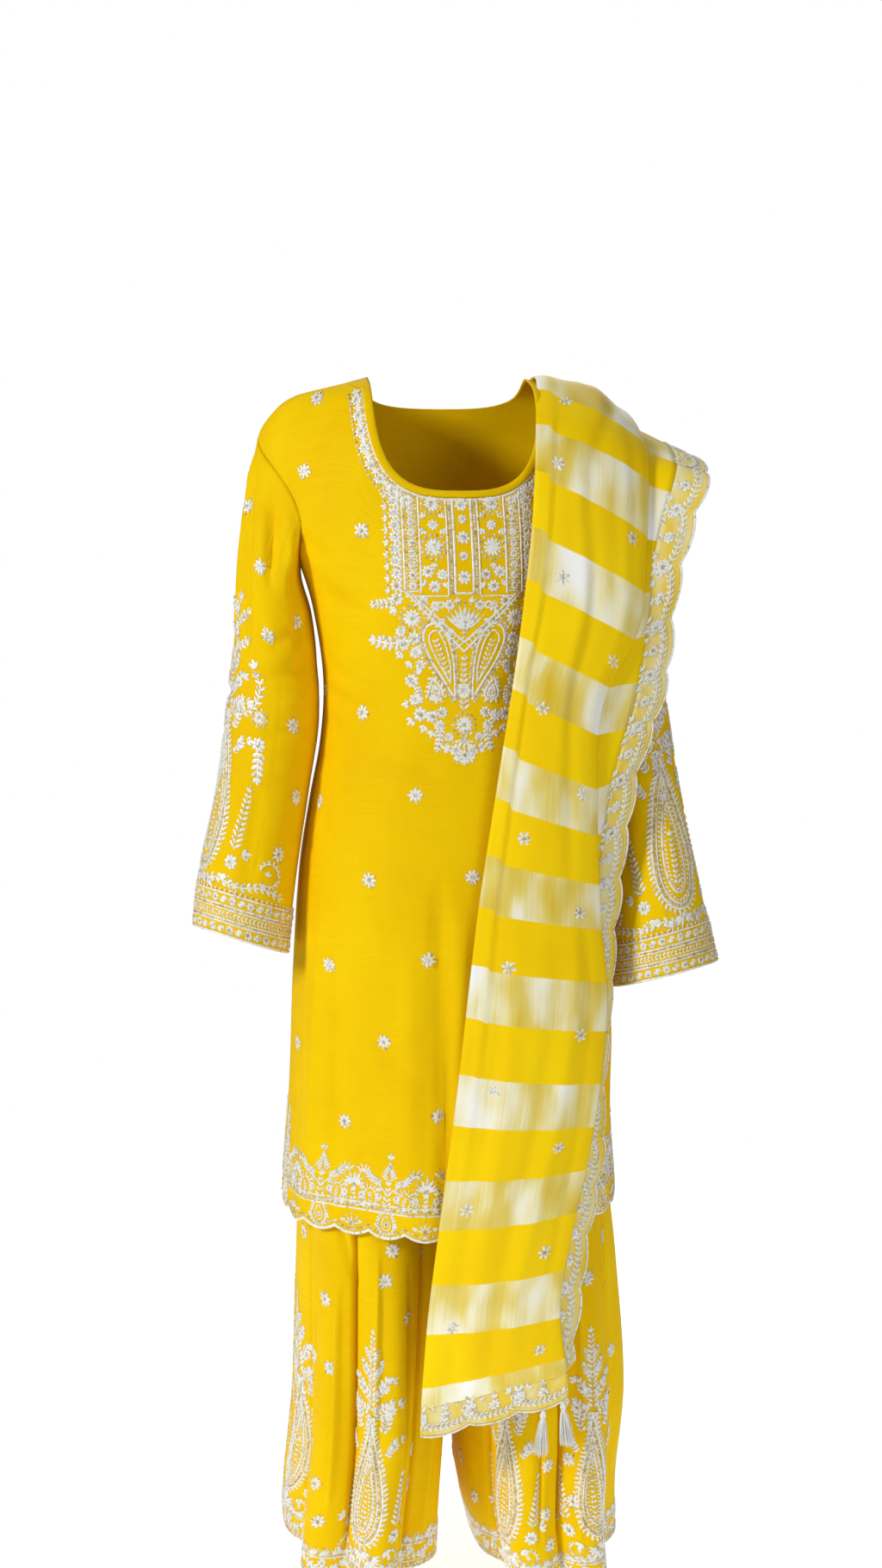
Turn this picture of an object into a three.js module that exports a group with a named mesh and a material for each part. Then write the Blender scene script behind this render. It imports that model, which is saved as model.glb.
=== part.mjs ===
// A sharara suit as it stands when worn, with no wearer in it: a long-sleeved kurta, a pair of flared
// sharara trousers and a dupatta folded over one shoulder.
//
// Millimetres, +Z up. The front faces -Y and +X is the side that carries the dupatta. The origin is the
// point midway between the two inner ends of the shoulder seams, where the wearer's shoulders hold the set.
//
// Every cloth piece is a thin wall lofted on a form. A form gives a point for an angle and a height. Angles
// are in degrees, seen from above and counter-clockwise: 0 is the front, 90 is +X, 180 is the back.

import * as THREE from "three";

// Cloth and seams
const CLOTH = 1.6;
const VEIL = 1.2;
const TRIM = 1.0;
const SEAM = 0.3;

// Kurta
const SHOULDER_Z = -64;
const ARMPIT_Z = -206;
const KURTA_HEM_Z = -918;
const NECK_HALF = 88;
const NECK_DROP = 123;
const BACK_NECK_DROP = 30;
const NECK_SQUARENESS = 3.2;
const ARMHOLE_CUT = { front: 30, back: 24 };
const ARMHOLE_FULLNESS = 0.9;
const SLIT_TOP_Z = -807;
const SLIT_OPEN = 1.6;
const HEM_SCALLOP = 7;
const BINDING_WIDTH = 7;
const BINDING_LIFT = 0.9;
const BINDING_STATION = 0.3;
const BINDING_END = 0.1;

// Sleeves
const CAP_REACH = 150;
const ARMHOLE_GAP = 0.48;
const CUFF_BAND = 46;

// Sharara
const CROTCH_Z = -632;
const SHARARA_TOP_Z = -391;
const WAISTBAND = 27;
const LEG_ROUND = 2.1;

// Dupatta
const BORDER = 38;
const SCALLOP = 57;
const SCALLOP_DEPTH = 7;
const TASSEL_LENGTH = 52;
const TASSEL_RADIUS = 8;
const STRETCH_GAP = 0.004;
const ROW_STEP = 0.001;

const COLOURS = {
  silk: { color: 0xf0c000, roughness: 0.55, metalness: 0.0 },
  veil: { color: 0xf4cc10, roughness: 0.6, metalness: 0.0 },
  trim: { color: 0xd6cf9a, roughness: 0.5, metalness: 0.1 },
  tassel: { color: 0xe6e2cf, roughness: 0.6, metalness: 0.0 },
};

// The kurta's sections, from the top down: half width, depth in front of and behind the axis, the y of the
// side seam, and how square the section is (2 is an ellipse). The last row carries the form on below the
// hem, for the dupatta that hangs in front of it.
const KURTA = [
  { z: 14, half: 50, front: 50, back: 58, seam: 8, round: 1.35 },
  { z: 0, half: 88, front: 58, back: 64, seam: 12, round: 1.4 },
  { z: -9, half: 124, front: 63, back: 68, seam: 15, round: 1.4 },
  { z: -20, half: 166, front: 69, back: 73, seam: 19, round: 1.45 },
  { z: -38, half: 190, front: 78, back: 80, seam: 24, round: 1.55 },
  { z: -64, half: 206, front: 88, back: 90, seam: 26, round: 1.7 },
  { z: -102, half: 205, front: 94, back: 98, seam: 22, round: 2.0 },
  { z: -131, half: 198, front: 98, back: 101, seam: 17, round: 2.1 },
  { z: -162, half: 182, front: 111, back: 103, seam: 10, round: 2.2 },
  { z: -206, half: 162, front: 124, back: 101, seam: 4, round: 2.2 },
  { z: -252, half: 149, front: 128, back: 96, seam: 2, round: 2.2 },
  { z: -327, half: 139, front: 122, back: 88, seam: 2, round: 2.2 },
  { z: -394, half: 143, front: 126, back: 91, seam: 1, round: 2.2 },
  { z: -462, half: 156, front: 133, back: 105, seam: 0, round: 2.2 },
  { z: -537, half: 168, front: 140, back: 119, seam: 0, round: 2.2 },
  { z: -658, half: 177, front: 147, back: 128, seam: 0, round: 2.2 },
  { z: -792, half: 183, front: 151, back: 134, seam: 0, round: 2.2 },
  { z: -922, half: 193, front: 155, back: 140, seam: 0, round: 2.2 },
  { z: -1192, half: 204, front: 166, back: 152, seam: 0, round: 2.2 },
];

// Soft upright folds of the kurta below the hip. A negative depth sinks in.
const KURTA_FOLDS = [
  { angle: -64, width: 9, depth: 5, from: -472, full: -892 },
  { angle: -38, width: 12, depth: -5, from: -552, full: -892 },
  { angle: -12, width: 12, depth: 4, from: -612, full: -892 },
  { angle: 22, width: 12, depth: -4, from: -552, full: -892 },
  { angle: 58, width: 11, depth: 4, from: -512, full: -892 },
  { angle: 88, width: 16, depth: 9, from: -562, full: -702 },
  { angle: 88, width: 16, depth: -8, from: -732, full: -862 },
  { angle: 128, width: 12, depth: -5, from: -512, full: -892 },
  { angle: 160, width: 13, depth: 4, from: -552, full: -892 },
  { angle: 196, width: 13, depth: -5, from: -552, full: -892 },
  { angle: 232, width: 12, depth: 4, from: -512, full: -892 },
];

// Level sections of each sleeve: the x of its outer and inner side (as if on the +X side), the y of its
// middle and its half depth from front to back.
const LEFT_SLEEVE = [
  { z: -52, outer: 204, inner: 146, middle: 16, depth: 60 },
  { z: -122, outer: 218, inner: 156, middle: 14, depth: 66 },
  { z: -206, outer: 228, inner: 166, middle: 10, depth: 64 },
  { z: -254, outer: 233, inner: 153, middle: 9, depth: 62 },
  { z: -302, outer: 239, inner: 146.5, middle: 7, depth: 60 },
  { z: -372, outer: 248, inner: 144.5, middle: 0, depth: 58 },
  { z: -445, outer: 259, inner: 156.5, middle: -10, depth: 57 },
  { z: -531, outer: 279, inner: 171.5, middle: -24, depth: 55 },
  { z: -612, outer: 289, inner: 183, middle: -38, depth: 54 },
  { z: -652, outer: 292, inner: 187, middle: -44, depth: 54 },
];
const RIGHT_SLEEVE = [
  { z: -52, outer: 204, inner: 146, middle: 16, depth: 60 },
  { z: -122, outer: 217, inner: 156, middle: 14, depth: 66 },
  { z: -206, outer: 226, inner: 166, middle: 8, depth: 64 },
  { z: -254, outer: 231, inner: 160, middle: 2, depth: 62 },
  { z: -341, outer: 242, inner: 152, middle: -14, depth: 60 },
  { z: -456, outer: 255, inner: 162, middle: -46, depth: 57 },
  { z: -552, outer: 271, inner: 170, middle: -72, depth: 55 },
  { z: -612, outer: 284, inner: 172, middle: -84, depth: 54 },
  { z: -667, outer: 296, inner: 172, middle: -92, depth: 54 },
  { z: -712, outer: 304, inner: 173, middle: -98, depth: 54 },
];
const SLEEVES = [
  { side: "left", mirror: -1, table: LEFT_SLEEVE, cuff: -610, tilt: 17, rise: 9 },
  { side: "right", mirror: 1, table: RIGHT_SLEEVE, cuff: -652, tilt: 13, rise: 12 },
];

// Sections of the upper sharara, as if on the +X side: the half width, where the inner side of the leg's
// rounded section falls (beyond the middle of the body it is cut off at the centre seam), and the depths.
const UPPER_LEG = [
  { z: -364, outer: 128, inner: -128, front: 98, back: 78 },
  { z: -391, outer: 130, inner: -130, front: 100, back: 80 },
  { z: -462, outer: 146, inner: -138, front: 104, back: 84 },
  { z: -537, outer: 165, inner: -112, front: 102, back: 84 },
  { z: -592, outer: 167.5, inner: -58, front: 100, back: 84 },
  { z: -632, outer: 168, inner: 0.15, front: 100, back: 84 },
  { z: -692, outer: 168, inner: 1, front: 104, back: 88 },
];
const LEFT_LEG = [
  ...UPPER_LEG,
  { z: -917, outer: 175, inner: 2, front: 124, back: 110 },
  { z: -1001, outer: 178, inner: 3, front: 137, back: 126 },
  { z: -1162, outer: 184, inner: 9, front: 152, back: 142 },
  { z: -1272, outer: 195, inner: 19, front: 161, back: 152 },
  { z: -1342, outer: 200, inner: 24, front: 166, back: 159 },
];
const RIGHT_LEG = [
  ...UPPER_LEG,
  { z: -917, outer: 186, inner: 2, front: 121, back: 98 },
  { z: -1001, outer: 193, inner: 3, front: 136, back: 118 },
  { z: -1162, outer: 201, inner: 4, front: 152, back: 142 },
  { z: -1272, outer: 191, inner: 9, front: 161, back: 152 },
  { z: -1342, outer: 191, inner: 24, front: 166, back: 159 },
];

// The deep folds of each flared leg, by angle round the leg. A negative depth sinks in.
const LEFT_FOLDS = [
  { angle: -58, width: 10, depth: 9, from: -892, full: -1342 },
  { angle: -34, width: 10, depth: -17, from: -752, full: -1322 },
  { angle: -8, width: 13, depth: 11, from: -812, full: -1322 },
  { angle: 22, width: 9, depth: -18, from: -752, full: -1292 },
  { angle: 44, width: 9, depth: 9, from: -792, full: -1292 },
  { angle: 64, width: 8, depth: -13, from: -812, full: -1312 },
  { angle: 116, width: 9, depth: -15, from: -752, full: -1322 },
  { angle: 142, width: 11, depth: 10, from: -812, full: -1322 },
  { angle: 172, width: 10, depth: -17, from: -752, full: -1322 },
  { angle: 200, width: 11, depth: 9, from: -812, full: -1322 },
  { angle: 226, width: 9, depth: -13, from: -812, full: -1322 },
];
const RIGHT_FOLDS = [
  { angle: -52, width: 10, depth: -13, from: -812, full: -1322 },
  { angle: -26, width: 12, depth: 11, from: -812, full: -1322 },
  { angle: 4, width: 10, depth: -17, from: -752, full: -1322 },
  { angle: 30, width: 11, depth: 10, from: -792, full: -1312 },
  { angle: 56, width: 9, depth: -16, from: -752, full: -1292 },
  { angle: 78, width: 8, depth: 7, from: -812, full: -1242 },
  { angle: 112, width: 10, depth: -15, from: -752, full: -1322 },
  { angle: 138, width: 11, depth: 9, from: -812, full: -1322 },
  { angle: 166, width: 10, depth: -17, from: -752, full: -1322 },
  { angle: 194, width: 12, depth: 10, from: -812, full: -1322 },
  { angle: 222, width: 9, depth: -13, from: -812, full: -1322 },
];
const LEGS = [
  { side: "left", mirror: -1, table: LEFT_LEG, folds: LEFT_FOLDS, hem: -1326, lift: 12 },
  { side: "right", mirror: 1, table: RIGHT_LEG, folds: RIGHT_FOLDS, hem: -1344, lift: 0 },
];

// Where the dupatta lies, from the end in front, over the shoulder, to the end behind: its inner edge, the
// fold at the outer edge of its top layer, and its scalloped edge. bow is how far the cloth under it
// arches between the first two, and puff is how far the top layer swells over that.
const DUPATTA = [
  { inner: [-56, -178, -1140], fold: [104, -182, -1104], edge: [116, -178, -1094], bow: 0, puff: 0 },
  { inner: [-54, -177, -1097], fold: [104, -180, -1066], edge: [116, -175, -1056], bow: 0, puff: 2 },
  { inner: [-46, -172, -1002], fold: [97, -172, -994], edge: [126, -162, -997], bow: 2, puff: 8 },
  { inner: [-34, -168, -909], fold: [115, -163, -898], edge: [140, -150, -907], bow: 3, puff: 10 },
  { inner: [-25, -165, -842], fold: [128, -157, -842], edge: [154, -143, -838], bow: 3, puff: 10 },
  { inner: [-13, -161, -755], fold: [140, -151, -772], edge: [154, -137, -767], bow: 4, puff: 9 },
  { inner: [0, -157, -644], fold: [150, -145, -666], edge: [162, -132, -666], bow: 4, puff: 8 },
  { inner: [12, -150, -552], fold: [144, -139, -576], edge: [170, -128, -570], bow: 3, puff: 7 },
  { inner: [34, -141, -416], fold: [140, -133, -450], edge: [190, -122, -430], bow: 2, puff: 6 },
  { inner: [50, -136, -317], fold: [145, -129, -350], edge: [222, -115, -332], bow: 2, puff: 5 },
  { inner: [62, -132, -228], fold: [186, -119, -266], edge: [232, -111, -244], bow: 5, puff: 4 },
  { inner: [73, -115, -142], fold: [198, -100, -182], edge: [248, -103, -180], bow: 5, puff: 3 },
  { inner: [80, -88, -72], fold: [207, -70, -106], edge: [272, -86, -116], bow: 8, puff: 2 },
  { inner: [87, -52, -34], fold: [210, -37, -78], edge: [280, -56, -101], bow: 11, puff: 1 },
  { inner: [94, -16, -8], fold: [209, -6, -58], edge: [280, -22, -90], bow: 12, puff: 0 },
  { inner: [96, 16, 0], fold: [208, 28, -50], edge: [277, 18, -86], bow: 13, puff: 0 },
  { inner: [95, 48, -8], fold: [206, 60, -60], edge: [270, 54, -96], bow: 12, puff: 0 },
  { inner: [90, 82, -44], fold: [202, 90, -92], edge: [260, 88, -124], bow: 9, puff: 1 },
  { inner: [84, 108, -122], fold: [197, 102, -166], edge: [249, 99, -188], bow: 6, puff: 3 },
  { inner: [78, 117, -222], fold: [190, 107, -262], edge: [238, 105, -277], bow: 5, puff: 5 },
  { inner: [70, 123, -392], fold: [180, 115, -422], edge: [222, 111, -432], bow: 3, puff: 6 },
  { inner: [62, 135, -592], fold: [168, 127, -614], edge: [204, 121, -620], bow: 3, puff: 8 },
  { inner: [54, 143, -792], fold: [158, 136, -810], edge: [190, 130, -814], bow: 3, puff: 9 },
  { inner: [46, 154, -992], fold: [150, 147, -1004], edge: [180, 141, -1006], bow: 2, puff: 8 },
  { inner: [40, 165, -1192], fold: [144, 160, -1198], edge: [172, 156, -1198], bow: 0, puff: 0 },
];
const DUPATTA_STRETCHES = [
  { name: "front", start: 0, end: 12.6, steps: 15, cut: "start" },
  { name: "shoulder", start: 12.6, end: 17.4, steps: 5, cut: "none" },
  { name: "back", start: 17.4, end: 24, steps: 8, cut: "end" },
];

// The dupatta's folded section, from its hidden edge to its scalloped side. across is the share of the way
// from the inner edge to the outer fold, lift is the height over what it lies on, and puff is the share of
// the swelling that the point takes.
const FOLDED = [
  { across: 0.5, lift: 1.0, puff: 0 },
  { across: 0.26, lift: 1.0, puff: 0 },
  { across: 0.03, lift: 1.2, puff: 0 },
  { across: 0.0, lift: 2.9, puff: 0 },
  { across: 0.03, lift: 4.6, puff: 0 },
  { across: 0.2, lift: 5.4, puff: 0.6 },
  { across: 0.4, lift: 6.6, puff: 1 },
  { across: 0.6, lift: 7.4, puff: 1 },
  { across: 0.8, lift: 7.6, puff: 0.6 },
  { across: 0.97, lift: 7.6, puff: 0 },
  { across: 1.0, lift: 5.9, puff: 0 },
  { across: 0.97, lift: 4.2, puff: 0 },
  { across: 0.64, lift: 4.2, puff: 0 },
  { across: 0.61, lift: 2.6, puff: 0 },
  { across: 0.64, lift: 1.0, puff: 0 },
];

const TOP_LAYER = { first: 4, last: 9 };

const rad = THREE.MathUtils.degToRad;
const deg = THREE.MathUtils.radToDeg;
const lerp = THREE.MathUtils.lerp;

/** count + 1 evenly spaced numbers from a to b. */
function steps(a, b, count) {
  return Array.from({ length: count + 1 }, (_, i) => lerp(a, b, i / count));
}

/** Index of the table row above height z, kept so that a row follows it. */
function rowAbove(table, z) {
  const below = table.findIndex((row) => row.z < z);
  const last = table.length - 2;
  return below < 0 ? last : Math.min(Math.max(below - 1, 0), last);
}

/** A named column's slope at row i, from its neighbours. */
function slopeAt(table, name, i) {
  const above = table[Math.max(i - 1, 0)];
  const below = table[Math.min(i + 1, table.length - 1)];
  return (above[name] - below[name]) / (above.z - below.z);
}

/** A named column at height z: smooth between rows, straight past the ends. */
function column(table, name, z) {
  const i = rowAbove(table, z);
  const a = table[i];
  const b = table[i + 1];
  const span = b.z - a.z;
  const t = (z - a.z) / span;
  if (t < 0) return a[name] + slopeAt(table, name, i) * (z - a.z);
  if (t > 1) return b[name] + slopeAt(table, name, i + 1) * (z - b.z);
  const from = slopeAt(table, name, i) * span;
  const to = slopeAt(table, name, i + 1) * span;
  const rise = b[name] - a[name];
  return a[name] + t * (from + t * (3 * rise - 2 * from - to + t * (from + to - 2 * rise)));
}

/** Outward push of a table of folds at an angle and height. */
function foldPush(folds, angle, z) {
  let push = 0;
  for (const fold of folds) {
    const away = ((((angle - fold.angle) % 360) + 540) % 360) - 180;
    const grown = THREE.MathUtils.smoothstep(fold.from - z, 0, fold.from - fold.full);
    push += fold.depth * grown * Math.exp(-((away / fold.width) ** 2));
  }
  return push;
}

/** How far out a squared section stands at a sine, from 1 in the middle to 0 at the sides. */
function swell(sine, round) {
  return Math.max(0, 1 - Math.abs(sine) ** round) ** (1 / round);
}

/** Point of the kurta's form. */
function kurtaForm(angle, z) {
  const get = (name) => column(KURTA, name, z);
  const sine = Math.sin(rad(angle));
  const cosine = Math.cos(rad(angle));
  const out = swell(sine, get("round"));
  const seam = get("seam");
  const y = cosine >= 0 ? seam - (get("front") + seam) * out : seam + (get("back") - seam) * out;
  const push = foldPush(KURTA_FOLDS, angle, z);
  return new THREE.Vector3(get("half") * sine + push * sine, y - push * cosine, z);
}

/** Outward unit normal of a form, with a gap-free look across its seams. */
function normalOf(form, angle, z) {
  const around = form(angle + 2, z).sub(form(angle - 2, z));
  const up = form(angle, z + 3).sub(form(angle, z - 3));
  return around.cross(up).normalize();
}

/** Outer point and normal of a form, lifted along the normal. */
function skin(form, angle, z, lift = 0) {
  const normal = normalOf(form, angle, z);
  return { point: form(angle, z).addScaledVector(normal, lift), normal };
}

/** Signed volume of an indexed mesh. */
function volumeOf(points, index) {
  let volume = 0;
  for (let i = 0; i < index.length; i += 3) {
    const [a, b, c] = [points[index[i]], points[index[i + 1]], points[index[i + 2]]];
    volume += a.dot(b.clone().cross(c)) / 6;
  }
  return volume;
}

/** A closed wall between an outer and an inner grid of points; wrap joins the last column to the first. */
function wallGeometry(outer, inner, wrap = false) {
  const rows = outer.length;
  const cols = outer[0].length;
  const points = [...outer.flat(), ...inner.flat()];
  const out = (i, j) => i * cols + (j % cols);
  const within = (i, j) => rows * cols + out(i, j);
  const index = [];
  const quad = (a, b, c, d) => index.push(a, b, c, a, c, d);
  const spans = wrap ? cols : cols - 1;
  for (let j = 0; j < spans; j++) {
    for (let i = 0; i < rows - 1; i++) {
      quad(out(i, j), out(i, j + 1), out(i + 1, j + 1), out(i + 1, j));
      quad(within(i, j), within(i + 1, j), within(i + 1, j + 1), within(i, j + 1));
    }
    quad(out(0, j), within(0, j), within(0, j + 1), out(0, j + 1));
    quad(out(rows - 1, j), out(rows - 1, j + 1), within(rows - 1, j + 1), within(rows - 1, j));
  }
  for (let i = 0; i < rows - 1 && !wrap; i++) {
    quad(out(i, 0), out(i + 1, 0), within(i + 1, 0), within(i, 0));
    quad(out(i, cols - 1), within(i, cols - 1), within(i + 1, cols - 1), out(i + 1, cols - 1));
  }
  if (volumeOf(points, index) < 0) index.reverse();
  const geometry = new THREE.BufferGeometry();
  const flat = points.flatMap((point) => [point.x, point.y, point.z]);
  geometry.setAttribute("position", new THREE.Float32BufferAttribute(flat, 3));
  geometry.setIndex(index);
  geometry.computeVertexNormals();
  return geometry;
}

/** A wall from a grid of skin points, thickened inwards. */
function clothGeometry(grid, wall, wrap = false) {
  const outer = grid.map((row) => row.map(({ point }) => point));
  const within = ({ point, normal }) => point.clone().addScaledVector(normal, -wall);
  const inner = grid.map((row) => row.map(within));
  return wallGeometry(outer, inner, wrap);
}

/** A named mesh with its own material. */
function piece(name, geometry, finish) {
  const mesh = new THREE.Mesh(geometry, new THREE.MeshStandardMaterial(COLOURS[finish]));
  mesh.name = name;
  return mesh;
}

// ---- Kurta ----

// The two body panels: the angle each faces, its seam's side, its neck drop, its columns of facets and the
// share of its top edge that is neckline.
const BODY_PANELS = [
  { side: "front", middle: 0, toward: -1, drop: NECK_DROP, columns: 20, neck: 0.7 },
  { side: "back", middle: 180, toward: 1, drop: BACK_NECK_DROP, columns: 16, neck: 0.625 },
];
const ARMHOLE_SHARE = 0.165;
const TOP_REACH = 0.25;
const ARMHOLE_PULL = 2.2;
const ARMHOLE_ROWS = [90, 45, 0, -45, -90].map((angle) => (ARMHOLE_SHARE * (1 - Math.sin(rad(angle)))) / 2);
const BODY_ROWS = [...ARMHOLE_ROWS, 0.24, 0.32, 0.41, 0.52, 0.63, 0.74, 0.86, 1];

/** Width along the cloth of one degree of a panel at height z. */
function degreeWidth(panel, z) {
  return rad(column(KURTA, "half", z) + column(KURTA, panel.side, z)) / 2;
}

/** A place on the flat panel, as distance from its middle line and height. */
function onPanel(panel, turn, z) {
  return { along: turn * degreeWidth(panel, z), z };
}

/** Angle from the middle of the panel to its armhole edge at height z. */
function armholeTurn(side, z) {
  const share = THREE.MathUtils.clamp((SHOULDER_Z - z) / (SHOULDER_Z - ARMPIT_Z), 0, 1);
  return 90 - ARMHOLE_CUT[side] * Math.sin(Math.PI * share) ** ARMHOLE_FULLNESS;
}

/** Neckline place, for a share from -1 to 1 along it. */
function neckline(panel, share) {
  const turn = rad(90 * share);
  const x = NECK_HALF * Math.sign(share) * Math.abs(Math.sin(turn)) ** (2 / NECK_SQUARENESS);
  const z = -panel.drop * Math.abs(Math.cos(turn)) ** (2 / NECK_SQUARENESS);
  const sine = THREE.MathUtils.clamp(x / column(KURTA, "half", z), -1, 1);
  return { turn: deg(Math.asin(sine)), z };
}

/** Top edge of a body panel: shoulder seam, neckline, shoulder seam. */
function topEdge(panel, u) {
  if (Math.abs(u) <= panel.neck) {
    const place = neckline(panel, u / panel.neck);
    return onPanel(panel, place.turn, place.z);
  }
  const out = (Math.abs(u) - panel.neck) / (1 - panel.neck);
  return onPanel(panel, 90 * Math.sign(u), SHOULDER_Z * out);
}

/** Side edge of a body panel: armhole, side seam and slit. */
function sideEdge(panel, sign, v) {
  if (v <= ARMHOLE_SHARE) {
    const z = lerp(SHOULDER_Z, ARMPIT_Z, v / ARMHOLE_SHARE);
    return onPanel(panel, sign * armholeTurn(panel.side, z), z);
  }
  const z = lerp(ARMPIT_Z, KURTA_HEM_Z, (v - ARMHOLE_SHARE) / (1 - ARMHOLE_SHARE));
  const open = THREE.MathUtils.clamp((SLIT_TOP_Z - z) / (SLIT_TOP_Z - KURTA_HEM_Z), 0, 1);
  return onPanel(panel, sign * (90 - SLIT_OPEN * open), z);
}

/** Scalloped hem of a body panel. */
function hemEdge(panel, u) {
  const lobe = Math.abs(Math.sin(((u + 1) * panel.columns * Math.PI) / 4));
  return onPanel(panel, (90 - SLIT_OPEN) * u, KURTA_HEM_Z - HEM_SCALLOP * lobe);
}

/** Distance from the middle line before top and hem are shaped: an armhole draws in what is near it. */
function across(panel, u, v) {
  const side = sideEdge(panel, 1, v);
  const uncut = v < ARMHOLE_SHARE ? onPanel(panel, 90, side.z).along : side.along;
  return u * uncut - Math.sign(u) * Math.abs(u) ** ARMHOLE_PULL * (uncut - side.along);
}

/** A place inside a body panel, blended from its four edges: u from -1 to 1 across, v from 0 to 1 down. */
function panelPlace(panel, u, v) {
  const share = (u + 1) / 2;
  const topFade = Math.max(0, 1 - v / TOP_REACH) ** 2;
  const own = (edge, key) => edge(panel, u)[key] - lerp(edge(panel, -1)[key], edge(panel, 1)[key], share);
  const shaped = (key) => topFade * own(topEdge, key) + v * own(hemEdge, key);
  const z = sideEdge(panel, 1, v).z + shaped("z");
  return { turn: (across(panel, u, v) + shaped("along")) / degreeWidth(panel, z), z };
}

/** Skin of a body panel, kept half a seam clear of the other one. */
function bodySkin(panel, turn, z) {
  const held = THREE.MathUtils.clamp(turn, -90, 90);
  const made = skin(kurtaForm, panel.middle + held, z);
  if (Math.abs(held) > 89.9) made.point.y += (panel.toward * SEAM) / 2;
  return made;
}

/** Skin points of a body panel, row by row. */
function bodyGrid(panel) {
  return BODY_ROWS.map((v) =>
    steps(-1, 1, panel.columns).map((u) => {
      const place = panelPlace(panel, u, v);
      return bodySkin(panel, place.turn, place.z);
    }),
  );
}

/** A skin point between two others, lifted along its normal. */
function between(a, b, share, lift = 0) {
  const normal = a.normal.clone().lerp(b.normal, share).normalize();
  return { point: a.point.clone().lerp(b.point, share).addScaledVector(normal, lift), normal };
}

/** Binding place on a line down the panel: on the neckline, and its width down the line. */
function bindingPlace(edge, line, toward) {
  return [edge, between(line, toward, BINDING_WIDTH / line.point.distanceTo(toward.point))].map((at) =>
    between(at, at, 0, SEAM + BINDING_LIFT + TRIM),
  );
}

/** Binding places along one panel: down each column of its facets, and down their diagonals. */
function bindingRun(panel, [top, next]) {
  const first = Math.round(((1 - panel.neck) * panel.columns) / 2);
  const last = panel.columns - first;
  const upright = (j, share) => {
    const edge = between(top[j], top[j + 1], share);
    return bindingPlace(edge, edge, between(next[j], next[j + 1], share));
  };
  const run = [upright(first, BINDING_END)];
  for (let j = first + 1; j < last; j++) {
    const edge = between(top[j], top[j + 1], BINDING_STATION);
    run.push(upright(j, 0), bindingPlace(edge, top[j], next[j + 1]));
  }
  return [...run, upright(last - 1, 1 - BINDING_END)];
}

/** The end of the binding on a shoulder seam: at the neck, and its width out along the seam. */
function bindingCorner(grid, column, toward) {
  const neck = grid[0][column];
  const out = grid[0][column + toward];
  const share = BINDING_WIDTH / neck.point.distanceTo(out.point);
  return [0, share].map((part) => between(neck, out, part, SEAM + BINDING_LIFT + TRIM));
}

/** The narrow binding that runs round the whole neck edge, on top of both body panels. */
function neckBinding(front, back) {
  const [frontPanel, backPanel] = BODY_PANELS;
  const corner = Math.round(((1 - frontPanel.neck) * frontPanel.columns) / 2);
  const ring = [
    bindingCorner(front, corner, -1),
    ...bindingRun(frontPanel, front),
    bindingCorner(front, frontPanel.columns - corner, 1),
    ...bindingRun(backPanel, back),
  ];
  const grid = [0, 1].map((edge) => ring.map((pair) => pair[edge]));
  return piece("kurta_neck_binding", clothGeometry(grid, TRIM, true), "silk");
}

// ---- Sleeves ----

const SLEEVE_COLUMNS = 16;
const SLEEVE_ROWS = [0, 0.08, 0.17, 0.28, 0.42, 0.57, 0.72, 0.87, 1];

/** The armhole edge at one of its eight corners, a seam's width outside the body panels. */
function armholeCorner(number) {
  const angle = 45 * number;
  const middle = (SHOULDER_Z + ARMPIT_Z) / 2;
  const z = middle + ((SHOULDER_Z - ARMPIT_Z) / 2) * Math.sin(rad(angle));
  const turn = Math.cos(rad(angle)) >= 0 ? armholeTurn("front", z) : 180 - armholeTurn("back", z);
  const point = kurtaForm(turn, z).add(new THREE.Vector3(ARMHOLE_GAP, 0, 0));
  return { point, normal: normalOf(kurtaForm, turn, z) };
}

/** The armhole edge at an angle round the sleeve, straight between its corners as the body's facets are. */
function armholeEdge(angle) {
  const place = (((angle % 360) + 360) % 360) / 45;
  const corner = Math.floor(place);
  return between(armholeCorner(corner), armholeCorner(corner + 1), place - corner);
}

/** Point of the level section of a sleeve. */
function sleeveSection(sleeve, angle, z) {
  const outer = column(sleeve.table, "outer", z);
  const inner = column(sleeve.table, "inner", z);
  const depth = column(sleeve.table, "depth", z);
  const x = (outer + inner) / 2 + ((outer - inner) / 2) * Math.sin(rad(angle));
  return new THREE.Vector3(x, column(sleeve.table, "middle", z) - depth * Math.cos(rad(angle)), z);
}

/** A sleeve's form: level sections, drawn to the armhole at the top. */
function sleeveForm(sleeve) {
  return (angle, z) => {
    const top = armholeEdge(angle).point;
    const pull = THREE.MathUtils.clamp(1 - (top.z - z) / CAP_REACH, 0, 1.1) ** 2;
    const shift = top.clone().sub(sleeveSection(sleeve, angle, top.z));
    return sleeveSection(sleeve, angle, z).addScaledVector(shift, pull);
  };
}

/** Mirrors skin points to the other side of the body. */
function mirrored(grid, mirror) {
  for (const { point, normal } of grid.flat()) {
    point.x *= mirror;
    normal.x *= mirror;
  }
  return grid;
}

/** Angles once round a closed piece. */
function round(count) {
  return steps(0, 360, count).slice(0, -1);
}

/** Height of the cuff edge at an angle round the sleeve. */
function cuffHeight(sleeve, angle) {
  return sleeve.cuff + sleeve.tilt * Math.sin(rad(angle)) + sleeve.rise * Math.cos(rad(angle));
}

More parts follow.
